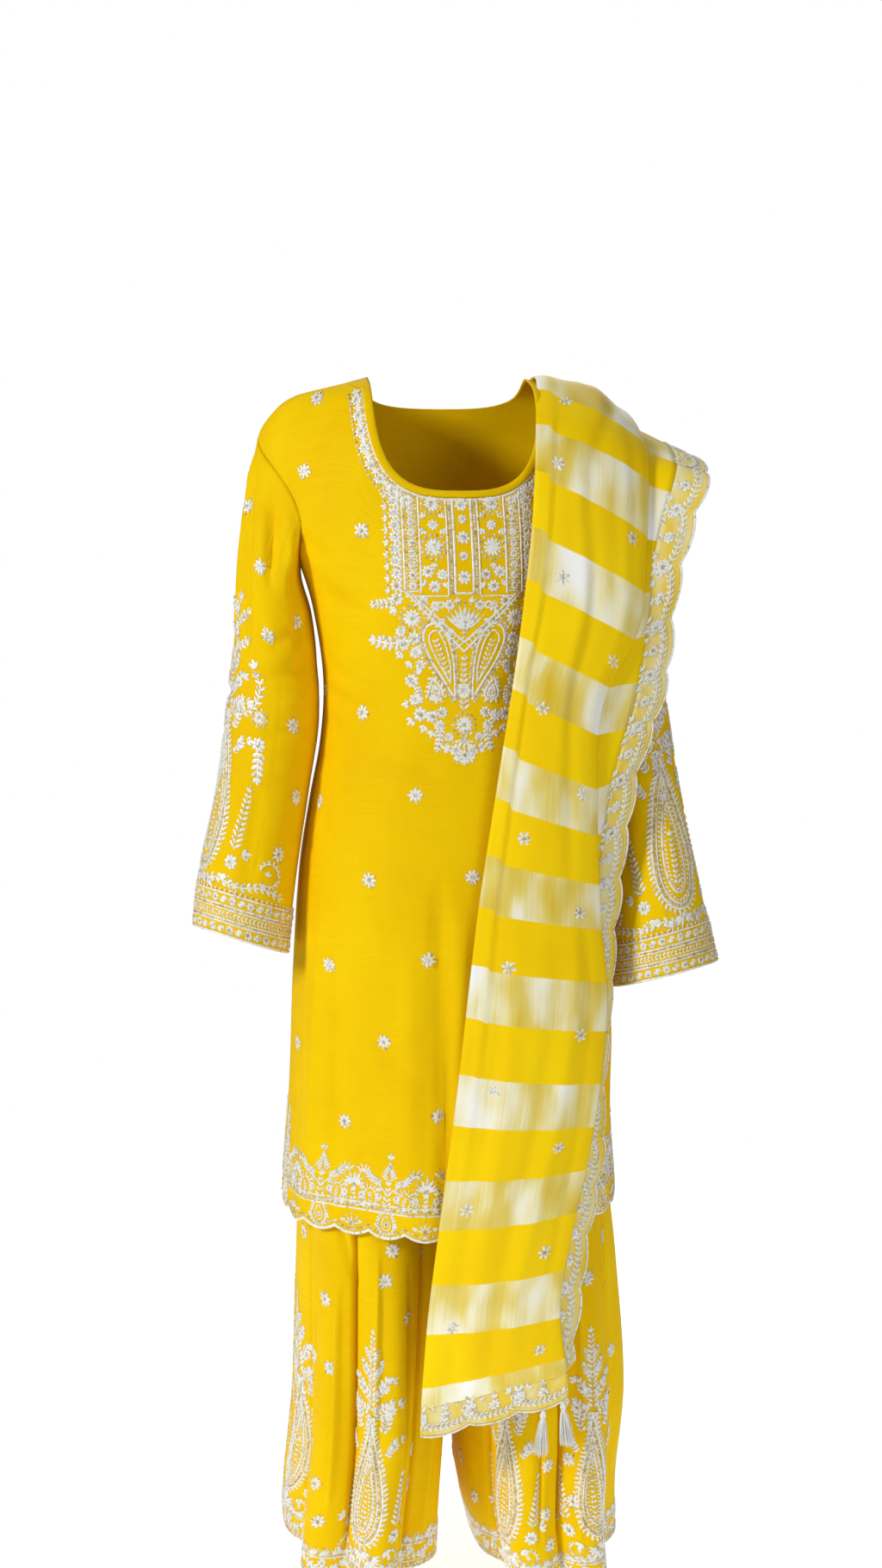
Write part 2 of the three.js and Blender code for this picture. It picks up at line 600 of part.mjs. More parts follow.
/** Skin points of a sleeve; the last two rows are the cuff band's edges. */
function sleeveGrid(sleeve) {
  const form = sleeveForm(sleeve);
  const rows = SLEEVE_ROWS.map((share) =>
    round(SLEEVE_COLUMNS).map((angle) => {
      const band = cuffHeight(sleeve, angle) + CUFF_BAND;
      return skin(form, angle, lerp(armholeEdge(angle).point.z, band, share));
    }),
  );
  for (const [i, angle] of round(SLEEVE_COLUMNS).entries()) {
    const top = Math.max(0, Math.sin(rad(angle)));
    rows[0][i].normal.lerp(armholeEdge(angle).normal, top).normalize();
  }
  const hem = round(SLEEVE_COLUMNS).map((angle) => skin(form, angle, cuffHeight(sleeve, angle)));
  return mirrored([...rows, hem], sleeve.mirror);
}

/** One sleeve and the embroidered band sewn round its cuff. */
function sleevePieces(sleeve) {
  const grid = sleeveGrid(sleeve);
  const band = grid.slice(-2).map((row) => row.map((at) => between(at, at, 0, SEAM + TRIM)));
  return [
    piece(`kurta_sleeve_${sleeve.side}`, clothGeometry(grid, CLOTH, true), "silk"),
    piece(`cuff_band_${sleeve.side}`, clothGeometry(band, TRIM, true), "trim"),
  ];
}

// ---- Sharara ----

const LEG_COLUMNS = 14;
const WAIST_COLUMNS = 20;
const LEG_ROWS = [SHARARA_TOP_Z, -466, -537, -596, CROTCH_Z, -750, -870, -975, -1070, -1160, -1245];

/** Point of a leg's form, as if on the +X side. */
function legForm(leg) {
  return (angle, z) => {
    const outer = column(leg.table, "outer", z);
    const inner = column(leg.table, "inner", z);
    const sine = Math.sin(rad(angle));
    const cosine = Math.cos(rad(angle));
    const depth = column(leg.table, cosine >= 0 ? "front" : "back", z);
    const y = -Math.sign(cosine) * depth * swell(sine, LEG_ROUND);
    const push = foldPush(leg.folds, angle, z);
    const x = (outer + inner) / 2 + ((outer - inner) / 2) * sine;
    return new THREE.Vector3(x + push * sine, y - push * cosine, z);
  };
}

/** Angle at which the leg's section meets the centre seam, or -90 below the crotch. */
function seamAngle(leg, z) {
  const outer = column(leg.table, "outer", z);
  const inner = column(leg.table, "inner", z);
  const sine = (SEAM - outer - inner) / (outer - inner);
  return deg(Math.asin(THREE.MathUtils.clamp(sine, -1, 1)));
}

/** One leg panel: toward is -1 for the front and 1 for the back. */
function legPanel(leg, side, toward) {
  const form = legForm(leg);
  const grid = [...LEG_ROWS, leg.hem].map((row) =>
    steps(0, 1, LEG_COLUMNS).map((share) => {
      const turn = lerp(seamAngle(leg, row), 90, share);
      const z = row === leg.hem ? row + leg.lift * Math.max(0, Math.sin(rad(turn))) ** 2 : row;
      const made = skin(form, toward < 0 ? turn : 180 - turn, z);
      if (Math.abs(turn) > 89.9) made.point.y += (toward * SEAM) / 2;
      made.point.x = Math.max(made.point.x, SEAM / 2);
      return made;
    }),
  );
  const name = `sharara_${side}_${leg.side}`;
  return piece(name, clothGeometry(mirrored(grid, leg.mirror), CLOTH), "silk");
}

/** The waistband, one tube above the four leg panels. */
function waistband() {
  const form = legForm({ table: UPPER_LEG.slice(0, 2), folds: [] });
  const grid = [SHARARA_TOP_Z + SEAM + WAISTBAND, SHARARA_TOP_Z + SEAM].map((z) =>
    round(WAIST_COLUMNS).map((angle) => skin(form, angle, z)),
  );
  return piece("sharara_waistband", clothGeometry(grid, CLOTH, true), "silk");
}

// ---- Dupatta ----

/** A smooth line through one named place of every dupatta row. */
function dupattaLine(name) {
  const points = DUPATTA.map((row) => new THREE.Vector3(...row[name]));
  return (s) => {
    const i = Math.min(Math.max(Math.floor(s), 0), points.length - 2);
    const t = s - i;
    const [a, b] = [points[i], points[i + 1]];
    const before = points[i - 1] ?? a.clone().multiplyScalar(2).sub(b);
    const after = points[i + 2] ?? b.clone().multiplyScalar(2).sub(a);
    const along = (key) => {
      const from = (b[key] - before[key]) / 2;
      const to = (after[key] - a[key]) / 2;
      const rise = b[key] - a[key];
      return a[key] + t * (from + t * (3 * rise - 2 * from - to + t * (from + to - 2 * rise)));
    };
    return new THREE.Vector3(along("x"), along("y"), along("z"));
  };
}
const innerLine = dupattaLine("inner");
const foldLine = dupattaLine("fold");
const edgeLine = dupattaLine("edge");

/** A numeric column of the dupatta's table at row s. */
function dupattaColumn(name, s) {
  const i = Math.min(Math.max(Math.floor(s), 0), DUPATTA.length - 2);
  return lerp(DUPATTA[i][name], DUPATTA[i + 1][name], s - i);
}

/** Point of the dupatta's base before it bows: w is in millimetres from the inner edge, s is the row. */
function dupattaFlat(w, s) {
  const [inner, fold, edge] = [innerLine(s), foldLine(s), edgeLine(s)];
  const top = inner.distanceTo(fold);
  const start = w <= top ? inner : fold;
  const way = w <= top ? fold.sub(inner) : edge.sub(fold);
  return start.clone().addScaledVector(way.normalize(), w <= top ? w : w - top);
}

/** Point of the dupatta at a lift over its base. */
function dupattaPoint(w, s, lift) {
  const across = dupattaFlat(w + 6, s).sub(dupattaFlat(w - 6, s));
  const along = dupattaFlat(w, s + 0.15).sub(dupattaFlat(w, s - 0.15));
  const share = THREE.MathUtils.clamp(w / dupattaWidths(s).top, 0, 1);
  const bow = dupattaColumn("bow", s) * Math.sin(Math.PI * share);
  return dupattaFlat(w, s).addScaledVector(across.cross(along).normalize(), lift + bow);
}

/** Widths at row s: of the top layer, and out to the scalloped edge. */
function dupattaWidths(s) {
  const [inner, fold, edge] = [innerLine(s), foldLine(s), edgeLine(s)];
  const top = inner.distanceTo(fold);
  return { top, full: top + fold.distanceTo(edge) };
}

/** The folded section at row s as places of distance across and lift. */
function foldedSection(s) {
  const { top, full } = dupattaWidths(s);
  const puff = dupattaColumn("puff", s);
  const places = FOLDED.map((row) => ({ w: row.across * top, lift: row.lift + row.puff * puff }));
  const end = full - BORDER - SEAM;
  const turned = places[places.length - 1].w;
  for (const share of [0.5, 1]) {
    places.push({ w: lerp(turned, end, share), lift: 1.0 });
  }
  return places;
}

/** Both faces of a section wall, as offsets to either side of its middle line. */
function sectionFaces(places) {
  return places.map(({ w, lift }, i) => {
    const before = places[Math.max(i - 1, 0)];
    const after = places[Math.min(i + 1, places.length - 1)];
    const [dw, dl] = [after.w - before.w, after.lift - before.lift];
    const size = Math.hypot(dw, dl);
    const [nw, nl] = [(-dl / size) * (VEIL / 2), (dw / size) * (VEIL / 2)];
    return [
      { w: w + nw, lift: lift + nl },
      { w: w - nw, lift: lift - nl },
    ];
  });
}

/** Row at which the dupatta's inner edge is a length away from one of its ends. */
function rowFromEnd(end, length) {
  const toward = end === "start" ? ROW_STEP : -ROW_STEP;
  let s = end === "start" ? 0 : DUPATTA.length - 1;
  for (let run = 0; run < length; s += toward) {
    run += innerLine(s).distanceTo(innerLine(s + toward));
  }
  return s;
}

/** The rows at which a stretch of the dupatta has its facets. */
function stretchRows({ start, end, steps: count, cut }) {
  const first = cut === "start" ? rowFromEnd("start", BORDER + 2 * SEAM) : start + STRETCH_GAP;
  const last = cut === "end" ? rowFromEnd("end", BORDER + 2 * SEAM) : end - STRETCH_GAP;
  return steps(first, last, count);
}

/** One stretch of the folded dupatta. */
function dupattaStretch(stretch) {
  const rows = stretchRows(stretch).map((s) => {
    const faces = sectionFaces(foldedSection(s));
    return [0, 1].map((face) => faces.map((pair) => dupattaPoint(pair[face].w, s, pair[face].lift)));
  });
  const geometry = wallGeometry(
    rows.map((row) => row[0]),
    rows.map((row) => row[1]),
  );
  return piece(`dupatta_${stretch.name}`, geometry, "veil");
}

/** The scalloped border beside one stretch: two or three half scallops to each of the stretch's facets. */
function sideBorder(stretch) {
  const ends = stretchRows(stretch).map((s) => {
    const { full } = dupattaWidths(s);
    const at = (w, lift) => dupattaPoint(w, s, lift);
    return [1 + TRIM / 2, 1 - TRIM / 2].map((lift) => [at(full - BORDER, lift), at(full, lift)]);
  });
  const faces = [[], []];
  let halves = 0;
  for (let i = 0; i < ends.length - 1; i++) {
    const length = ends[i][0][1].distanceTo(ends[i + 1][0][1]);
    const count = Math.max(1, Math.round((2 * length) / SCALLOP));
    for (let k = i ? 1 : 0; k <= count; k++, halves++) {
      faces.forEach((face, side) => {
        const [from, to] = [ends[i][side], ends[i + 1][side]];
        const [seam, rim] = [0, 1].map((at) => from[at].clone().lerp(to[at], k / count));
        if (halves % 2 === 0) rim.lerp(seam, SCALLOP_DEPTH / BORDER);
        face.push([seam, rim]);
      });
    }
  }
  return piece(`dupatta_border_${stretch.name}`, wallGeometry(...faces), "trim");
}

/** Lift of the top layer's middle at a share of the way across it, at row s. */
function topLift(share, s) {
  const top = FOLDED.slice(TOP_LAYER.first, TOP_LAYER.last + 1);
  const i = Math.min(Math.max(top.findIndex((row) => row.across >= share) - 1, 0), top.length - 2);
  const at = THREE.MathUtils.inverseLerp(top[i].across, top[i + 1].across, share);
  const [lift, puff] = ["lift", "puff"].map((key) => lerp(top[i][key], top[i + 1][key], at));
  return lift + puff * dupattaColumn("puff", s);
}

/** Place on the scalloped rim of a dupatta end, for a share of the way across its top layer. */
function endRim(end, share, lift) {
  const tip = end === "start" ? 0 : DUPATTA.length - 1;
  const halves = 2 * Math.round(dupattaWidths(tip).top / SCALLOP);
  const corner = (number) => {
    const s = number % 2 === 0 ? lerp(tip, rowFromEnd(end, BORDER), SCALLOP_DEPTH / BORDER) : tip;
    const across = number / halves;
    return dupattaPoint(across * dupattaWidths(s).top, s, topLift(across, s) + lift);
  };
  const number = Math.min(Math.floor(share * halves), halves - 1);
  return corner(number).lerp(corner(number + 1), share * halves - number);
}

/** The scalloped border across one end of the dupatta's top layer. */
function endBorder(end, name) {
  const seam = rowFromEnd(end, BORDER);
  const { top } = dupattaWidths(seam);
  const halves = 2 * Math.round(dupattaWidths(end === "start" ? 0 : DUPATTA.length - 1).top / SCALLOP);
  const face = (lift) =>
    steps(0, 1, halves).map((share) => [
      dupattaPoint(share * top, seam, topLift(share, seam) + lift),
      endRim(end, share, lift),
    ]);
  return piece(name, wallGeometry(face(TRIM / 2), face(-TRIM / 2)), "trim");
}

/** A tassel hanging under the front end's rim: a bound head over a skirt of threads. */
function tassel({ name, share, lean }) {
  const radius = TASSEL_RADIUS;
  const profile = [
    [0, 0],
    [0.3 * radius, -1],
    [0.42 * radius, -7],
    [0.3 * radius, -10],
    [0.65 * radius, -20],
    [radius, -TASSEL_LENGTH],
    [0, -TASSEL_LENGTH],
  ];
  const outline = profile.reverse().map(([across, down]) => new THREE.Vector2(across, down));
  const mesh = piece(name, new THREE.LatheGeometry(outline, 8), "tassel");
  mesh.rotation.x = Math.PI / 2;
  const holder = new THREE.Group();
  holder.add(mesh);
  holder.rotation.y = rad(lean);
  holder.position.copy(endRim("start", share, 0)).z -= 1.5 * SEAM;
  return holder;
}

const TASSELS = [
  { name: "tassel_1", share: 0.84, lean: 3 },
  { name: "tassel_2", share: 0.97, lean: -7 },
];

const suit = new THREE.Group();
const [frontGrid, backGrid] = BODY_PANELS.map(bodyGrid);
for (const [i, grid] of [frontGrid, backGrid].entries()) {
  suit.add(piece(`kurta_${BODY_PANELS[i].side}`, clothGeometry(grid, CLOTH), "silk"));
}
suit.add(neckBinding(frontGrid, backGrid));
for (const sleeve of SLEEVES) suit.add(...sleevePieces(sleeve));
suit.add(waistband());
for (const leg of LEGS) suit.add(legPanel(leg, "front", -1), legPanel(leg, "back", 1));
for (const stretch of DUPATTA_STRETCHES) suit.add(dupattaStretch(stretch), sideBorder(stretch));
suit.add(endBorder("start", "dupatta_end_front"), endBorder("end", "dupatta_end_back"));
for (const one of TASSELS) suit.add(tassel(one));

export default suit;
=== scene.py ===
"""A sharara suit as it stands when worn, with no wearer in it: kurta, flared sharara and folded dupatta.

Sizes are in millimetres until a mesh is made, and meshes are in metres. +Z is up, the front faces -Y and
+X is the side that carries the dupatta. Angles are in degrees, seen from above and counter-clockwise:
0 is the front, 90 is +X, 180 is the back.
"""

import logging
import math
from dataclasses import dataclass, field
from enum import Enum
from typing import Callable, NamedTuple, Sequence

import bpy
import numpy as np
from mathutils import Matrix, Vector


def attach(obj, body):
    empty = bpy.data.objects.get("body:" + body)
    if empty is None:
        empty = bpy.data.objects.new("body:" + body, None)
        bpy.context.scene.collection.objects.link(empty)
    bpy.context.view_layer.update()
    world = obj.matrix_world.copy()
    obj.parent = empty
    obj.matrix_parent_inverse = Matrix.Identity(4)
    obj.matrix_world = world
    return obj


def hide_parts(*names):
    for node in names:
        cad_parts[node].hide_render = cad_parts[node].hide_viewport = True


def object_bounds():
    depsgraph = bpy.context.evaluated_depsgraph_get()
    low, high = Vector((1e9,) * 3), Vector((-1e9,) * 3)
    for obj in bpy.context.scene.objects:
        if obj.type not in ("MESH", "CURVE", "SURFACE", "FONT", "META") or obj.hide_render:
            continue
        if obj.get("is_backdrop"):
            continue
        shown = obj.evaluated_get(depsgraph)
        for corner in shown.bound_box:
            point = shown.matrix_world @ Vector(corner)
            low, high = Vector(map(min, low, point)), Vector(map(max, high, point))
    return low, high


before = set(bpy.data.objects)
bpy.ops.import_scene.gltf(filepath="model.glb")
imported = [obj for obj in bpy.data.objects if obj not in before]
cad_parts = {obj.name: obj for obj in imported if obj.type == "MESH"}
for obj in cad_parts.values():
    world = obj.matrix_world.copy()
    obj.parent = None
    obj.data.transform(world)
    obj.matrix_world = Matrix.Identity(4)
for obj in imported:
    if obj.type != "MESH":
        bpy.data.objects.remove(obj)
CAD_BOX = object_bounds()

Array = np.ndarray
Piece = bpy.types.Object
Material = bpy.types.Material
Node = bpy.types.Node
Output = tuple[Node, int]
Pair = tuple[float, float]
Triple = tuple[float, float, float]
Surface = Callable[[Array, Array | float], Array]
log = logging.getLogger("sharara_suit")

MM = 0.001
BODY = "root"

# Cloth
SEAM = 0.3
SILK_WALL = 0.9
VEIL_WALL = 0.7
TRIM_WALL = 0.7
GRID = 5.5

# Angle from a panel's middle past which it counts as its side seam
SEAM_TURN = 89.5

# Angles from a panel's middle at which its design plane is measured
PANEL_TURNS = np.linspace(-89, 89, 357)

# Kurta
SHOULDER_Z = -64
ARMPIT_Z = -206
KURTA_HEM_Z = -918
NECK_HALF = 88
NECK_DROP = 123
BACK_NECK_DROP = 30
NECK_SQUARENESS = 3.2
ARMHOLE_FULLNESS = 0.9
ARMHOLE_SHARE = 0.165
ARMHOLE_ROWS = 26
SLIT_TOP_Z = -807
SLIT_OPEN = 1.6
HEM_SCALLOP = 7
HEM_ROUND = 0.8
TOP_REACH = 0.25
ARMHOLE_PULL = 2.2
PANEL_ACROSS = 520
NECK_CROWDING = 0.86
BINDING_CROWDING = 0.9

# Section of the neck binding: distances out over the cloth and heights off it
BINDING_SECTION = ((0.4, -1.2), (-0.5, 0.3), (0.3, 1.7), (2.2, 2.2), (4.6, 2.2), (6.6, 1.6), (7.0, 0.5))

# Sleeves
CAP_REACH = 150
ARMHOLE_GAP = 0.3
CUFF_BAND = 46
BAND_LIFT = 1.0

# Sharara
SHARARA_TOP_Z = -391
LOWEST_LEVEL_Z = -1245
WAISTBAND = 27
LEG_ROUND = 2.1

# Dupatta
BORDER = 38
SCALLOP = 57
SCALLOP_DEPTH = 7
SCALLOP_ROUND = 0.7
TASSEL_LENGTH = 52
TASSEL_RADIUS = 8
BAND_PERIOD = 115.5
BAND_HEIGHT = 55
BAND_START = 32
BORDER_LIFT = 1 + TRIM_WALL / 2
BORDER_WAVE = 0.8
BORDER_WAVE_RUN = 14
LAP = 0.3
FRONT_JOIN, BACK_JOIN = 12.6, 17.4

# Embroidery: spacing of the places of a rounded line, and how far a scattered motif may stray
LINE_STEP = 2.5
STRAY = 5.0

# Seeds of the silk's unevenness and of the handwork
KURTA_WAVES, SLEEVE_WAVES, WAIST_WAVES, LEFT_LEG_WAVES, RIGHT_LEG_WAVES = 7, 11, 3, 21, 22
KURTA_SEED, SLEEVE_SEED, CUFF_SEED, LEG_SEED = 31, 41, 42, 51
STAR_SEED, SIDE_SEED, END_SEED, TASSEL_SEED = 61, 62, 63, 70

# Stage, in metres
STUDIO_LIGHT = 0.22
FLOOR_Z = -1.46
LIGHTS_AIM = Vector((0, 0, -0.6))


class Slot(Enum):
    """The record's material slots."""

    KURTA = "kurta_silk"
    TRIM = "embroidered_trim"
    SHARARA = "sharara_silk"
    VEIL = "dupatta_chiffon"
    ORGANZA = "organza_border"
    TASSEL = "tassel_thread"


class Held(Enum):
    """How a sheet of cloth is held."""

    HUNG = "hung"
    GATHERED = "gathered"
    FOLDED = "folded"


class Side(Enum):
    """A side of the body, with its sign along X."""

    LEFT = -1
    RIGHT = 1

    @property
    def word(self) -> str:
        """The side's name as used in piece names."""
        return self.name.lower()


class Face(Enum):
    """Front or back of the body, with its sign along Y."""

    FRONT = -1
    BACK = 1

    @property
    def word(self) -> str:
        """The face's name as used in piece names."""
        return self.name.lower()


# ---------------------------------------------------------------- helpers


def lerp(a: Array | float, b: Array | float, t: Array | float) -> Array | float:
    """Straight blend from a to b."""
    return a + (b - a) * t


def cubic(first: Array, rise: Array, start: Array, end: Array, t: Array | float) -> Array:
    """A smooth run between two values.

    Args:
        first: the value at t = 0.
        rise: how far the value rises to t = 1.
        start: slope at t = 0.
        end: slope at t = 1.
        t: how far along, from 0 to 1.

    Returns:
        The values.
    """
    return first + t * (start + t * (3 * rise - 2 * start - end + t * (start + end - 2 * rise)))


def smoothstep(x: Array | float, low: float, high: float) -> Array:
    """A soft step from 0 at low to 1 at high, either way round."""
    t = np.clip((np.asarray(x, float) - low) / (high - low), 0, 1)
    return t * t * (3 - 2 * t)


def unit(v: Array) -> Array:
    """Vectors scaled to length 1 along the last axis."""
    return v / np.maximum(np.linalg.norm(v, axis=-1, keepdims=True), 1e-9)


def stack(x: Array, y: Array, z: Array) -> Array:
    """Points from three arrays of coordinates."""
    return np.stack(np.broadcast_arrays(x, y, z), axis=-1).astype(float)


def spaced(length: float, pitch: float = GRID) -> int:
    """How many equal steps of about one pitch a length takes."""
    return max(1, int(round(length / pitch)))


@dataclass(frozen=True)
class Sections:
    """A table of sections from the top down, read smoothly between its rows.

    Attributes:
        names: the columns, of which the first is the height.
        rows: one row of numbers for each section.
    """

    names: tuple[str, ...]
    rows: tuple[tuple[float, ...], ...]

    def read(self, name: str, z: Array | float) -> Array:
        """A column's value at heights z.

        Args:
            name: the column.
            z: heights, in millimetres.

        Returns:
            The values, smooth between the rows and straight past the ends.
        """
        table = np.array(self.rows, float)
        heights, values = table[:, 0], table[:, self.names.index(name)]
        z = np.asarray(z, float)
        last = len(heights) - 1
        i = np.clip(np.searchsorted(-heights, -z, side="right") - 1, 0, last - 1)
        above, below = np.maximum(np.arange(last + 1) - 1, 0), np.minimum(np.arange(last + 1) + 1, last)
        slope = (values[above] - values[below]) / (heights[above] - heights[below])
        span = heights[i + 1] - heights[i]
        t = (z - heights[i]) / span
        inside = cubic(values[i], values[i + 1] - values[i], slope[i] * span, slope[i + 1] * span, t)
        before = values[i] + slope[i] * (z - heights[i])
        after = values[i + 1] + slope[i + 1] * (z - heights[i + 1])
        return np.where(t < 0, before, np.where(t > 1, after, inside))


class Fold(NamedTuple):
    """A soft upright fold: it grows from one height to its full depth at another. Below 0 it sinks in."""

    angle: float
    width: float
    depth: float
    start: float
    full: float


class Crease(NamedTuple):
    """A soft ridge or trough between two places of angle and height. Below 0 it sinks in."""

    angle: float
    z: float
    to_angle: float
    to_z: float
    width: float
    depth: float


def rows_of(kind: Callable, *rows: tuple) -> tuple:
    """Rows of numbers under the named columns of a kind of row."""
    return tuple(kind(*row) for row in rows)


def crowded(count: int, share: float) -> Array:
    """Places from -1 to 1 that stand closer together towards both ends, more so as the share nears 1."""
    return np.sin(np.linspace(-1, 1, count) * np.pi / 2 * share) / math.sin(np.pi / 2 * share)


def turned(angle: Array, middle: float) -> Array:
    """Angles measured from a middle one, from -180 to 180."""
    return (angle - middle + 180) % 360 - 180


def fold_push(folds: Sequence[Fold], angle: Array, z: Array) -> Array:
    """Outward push of a table of folds.

    Args:
        folds: the folds.
        angle: angles round the form.
        z: heights.

    Returns:
        The push, in millimetres.
    """
    push = np.zeros(np.broadcast(angle, z).shape)
    for fold in folds:
        grown = smoothstep(fold.start - z, 0, fold.start - fold.full)
        push = push + fold.depth * grown * np.exp(-((turned(angle, fold.angle) / fold.width) ** 2))
    return push


def crease_push(creases: Sequence[Crease], angle: Array, z: Array, degree: float) -> Array:
    """Outward push of a table of creases.

    Args:
        creases: the creases.
        angle: angles round the form.
        z: heights.
        degree: width of one degree along the cloth, in millimetres.

    Returns:
        The push, in millimetres.
    """
    push = np.zeros(np.broadcast(angle, z).shape)
    for crease in creases:
        across, down = turned(angle, crease.angle) * degree, z - crease.z
        run, drop = (crease.to_angle - crease.angle) * degree, crease.to_z - crease.z
        size = run * run + drop * drop
        t = np.clip((across * run + down * drop) / size, 0, 1)
        away = np.hypot(across - t * run, down - t * drop)
        ends = 1 - (2 * t - 1) ** 4
        push = push + crease.depth * ends * np.exp(-((away / crease.width) ** 2))
    return push


def ripple(angle: Array, z: Array, degree: float, height: float, seed: int) -> Array:
    """Faint unevenness of silk, as a few crossing waves.

    Args:
        angle: angles round the form.
        z: heights.
        degree: width of one degree along the cloth, in millimetres.
        height: height of the waves, in millimetres.
        seed: picks the waves' directions and phases.

    Returns:
        The push, in millimetres.
    """
    draw = np.random.default_rng(seed)
    push = np.zeros(np.broadcast(angle, z).shape)
    for length in (150, 95, 61, 43):
        way, phase = draw.uniform(-0.5, 0.5), draw.uniform(0, 2 * math.pi)
        place = angle * degree * math.cos(way) + z * math.sin(way)
        push = push + np.sin(2 * math.pi * place / length + phase + 1.3 * np.sin(z / (1.7 * length))) / 2
    return height * push / 2


def swell(sine: Array, rounding: Array | float) -> Array:
    """How far out a squared section stands at a sine, from 1 in the middle to 0 at the sides."""
    return np.maximum(0, 1 - np.abs(sine) ** rounding) ** (1 / rounding)


# ---------------------------------------------------------------- meshes


def shell_faces(rows: int, cols: int, wrap: bool) -> Array:
    """Quads of a closed wall between an outer grid and an inner grid of the same size.

    Args:
        rows: rows of each grid.
        cols: columns of each grid.
        wrap: whether the last column joins the first.

    Returns:
        The quads, as point numbers.
    """
    index = np.arange(rows * cols).reshape(rows, cols)
    if wrap:
        index = np.concatenate([index, index[:, :1]], axis=1)
    inner = index + rows * cols
    quads = []

    def add(a: Array, b: Array, c: Array, d: Array) -> None:
        """Adds quads from four arrays of corners."""
        quads.append(np.stack([a, b, c, d], -1).reshape(-1, 4))

    add(index[:-1, :-1], index[:-1, 1:], index[1:, 1:], index[1:, :-1])
    add(inner[:-1, :-1], inner[1:, :-1], inner[1:, 1:], inner[:-1, 1:])
    add(index[0, :-1], inner[0, :-1], inner[0, 1:], index[0, 1:])
    add(index[-1, :-1], index[-1, 1:], inner[-1, 1:], inner[-1, :-1])
    if not wrap:
        add(index[:-1, 0], index[1:, 0], inner[1:, 0], inner[:-1, 0])
        add(index[:-1, -1], inner[:-1, -1], inner[1:, -1], index[1:, -1])
    return np.concatenate(quads)


def faces_out(points: Array, quads: Array) -> Array:
    """The quads, turned round if they enclose a negative volume.

    Args:
        points: the points.
        quads: the quads, as point numbers.

    Returns:
        The quads.
    """
    a, b, c, d = (points[quads[:, k]] for k in range(4))
    volume = np.einsum("ij,ij->i", a, np.cross(b, c) + np.cross(c, d)).sum()
    return quads[:, ::-1] if volume < 0 else quads


def grid_normals(grid: Array, wrap: bool) -> Array:
    """Unit normals of a grid of points, from its neighbours.

    Args:
        grid: the points, row by row.
        wrap: whether the last column joins the first.

    Returns:
        The normals, in the grid's shape.
    """
    if wrap:
        across = np.roll(grid, -1, axis=1) - np.roll(grid, 1, axis=1)
    else:
        across = np.gradient(grid, axis=1)
    return unit(np.cross(across, np.gradient(grid, axis=0)))


def make_object(name: str, points: Array, faces: Array, cloth: Array | None = None) -> Piece:
    """A smooth mesh object.

    Args:
        name: the piece's name.
        points: its points, in millimetres.
        faces: triangles or quads, as point numbers.
        cloth: for each point its place on the flat cloth, across and down, in millimetres.

    Returns:
        The new object.
    """
    mesh = bpy.data.meshes.new(name)
    count, size = faces.shape
    mesh.vertices.add(len(points))
    mesh.vertices.foreach_set("co", (points * MM).astype(np.float32).ravel())
    mesh.loops.add(count * size)
    mesh.loops.foreach_set("vertex_index", faces.astype(np.int32).ravel())
    mesh.polygons.add(count)
    mesh.polygons.foreach_set("loop_start", np.arange(0, count * size, size, dtype=np.int32))
    mesh.polygons.foreach_set("use_smooth", np.ones(count, dtype=bool))
    mesh.update(calc_edges=True)
    if cloth is not None:
        flat = np.concatenate([cloth * MM, np.zeros((len(cloth), 1))], axis=1)
        place = mesh.attributes.new("cloth", "FLOAT_VECTOR", "POINT")
        place.data.foreach_set("vector", flat.astype(np.float32).ravel())
    made = bpy.data.objects.new(name, mesh)
    bpy.context.scene.collection.objects.link(made)
    return made


def shell_between(name: str, outer: Array, inner: Array, cloth: Array, wrap: bool) -> Piece:
    """A closed shell between two grids of points.

    Args:
        name: the piece's name.
        outer: points of one face, row by row.
        inner: points of the other face.
        cloth: each point's place on the flat cloth.
        wrap: whether the last column joins the first.

    Returns:
        The new object.
    """
    points = np.concatenate([outer.reshape(-1, 3), inner.reshape(-1, 3)])
    places = np.concatenate([cloth.reshape(-1, 2)] * 2)
    quads = shell_faces(*outer.shape[:2], wrap)
    return make_object(name, points, faces_out(points, quads), places)


def cloth_shell(name: str, grid: Array, cloth: Array, wall: float, wrap: bool = False) -> Piece:
    """A thin closed shell of cloth from a grid of outer points.

    Args:
        name: the piece's name.
        grid: outer points, row by row.
        cloth: each point's place on the flat cloth.
        wall: thickness, in millimetres.
        wrap: whether the last column joins the first.

    Returns:
        The new object.
    """
    normals = grid_normals(grid, wrap)
    middle = grid.reshape(-1, 3).mean(axis=0)
    outward = np.einsum("ijk,ijk->", normals, grid - middle)
    inner = grid - normals * wall * (1 if outward >= 0 else -1)
    return shell_between(name, grid, inner, cloth, wrap)


def cloth_places(grid: Array) -> Array:
    """Places on the flat cloth of a grid of points: distance across from its middle, and down its rows.

    Args:
        grid: the points, row by row.

    Returns:
        The places, in the grid's shape.
    """
    across = np.linalg.norm(np.diff(grid, axis=1, prepend=grid[:, :1]), axis=-1).cumsum(axis=1)
    across = across - across[:, across.shape[1] // 2][:, None]
    down = np.linalg.norm(np.diff(grid, axis=0, prepend=grid[:1]), axis=-1).cumsum(axis=0)
    middle = down[:, down.shape[1] // 2][:, None]
    return np.stack([across, np.broadcast_to(middle, across.shape)], axis=-1)


def area_of(made: Piece) -> float:
    """Area of one face of a closed shell, in square metres."""
    return sum(face.area for face in made.data.polygons) / 2


# ---------------------------------------------------------------- finishes


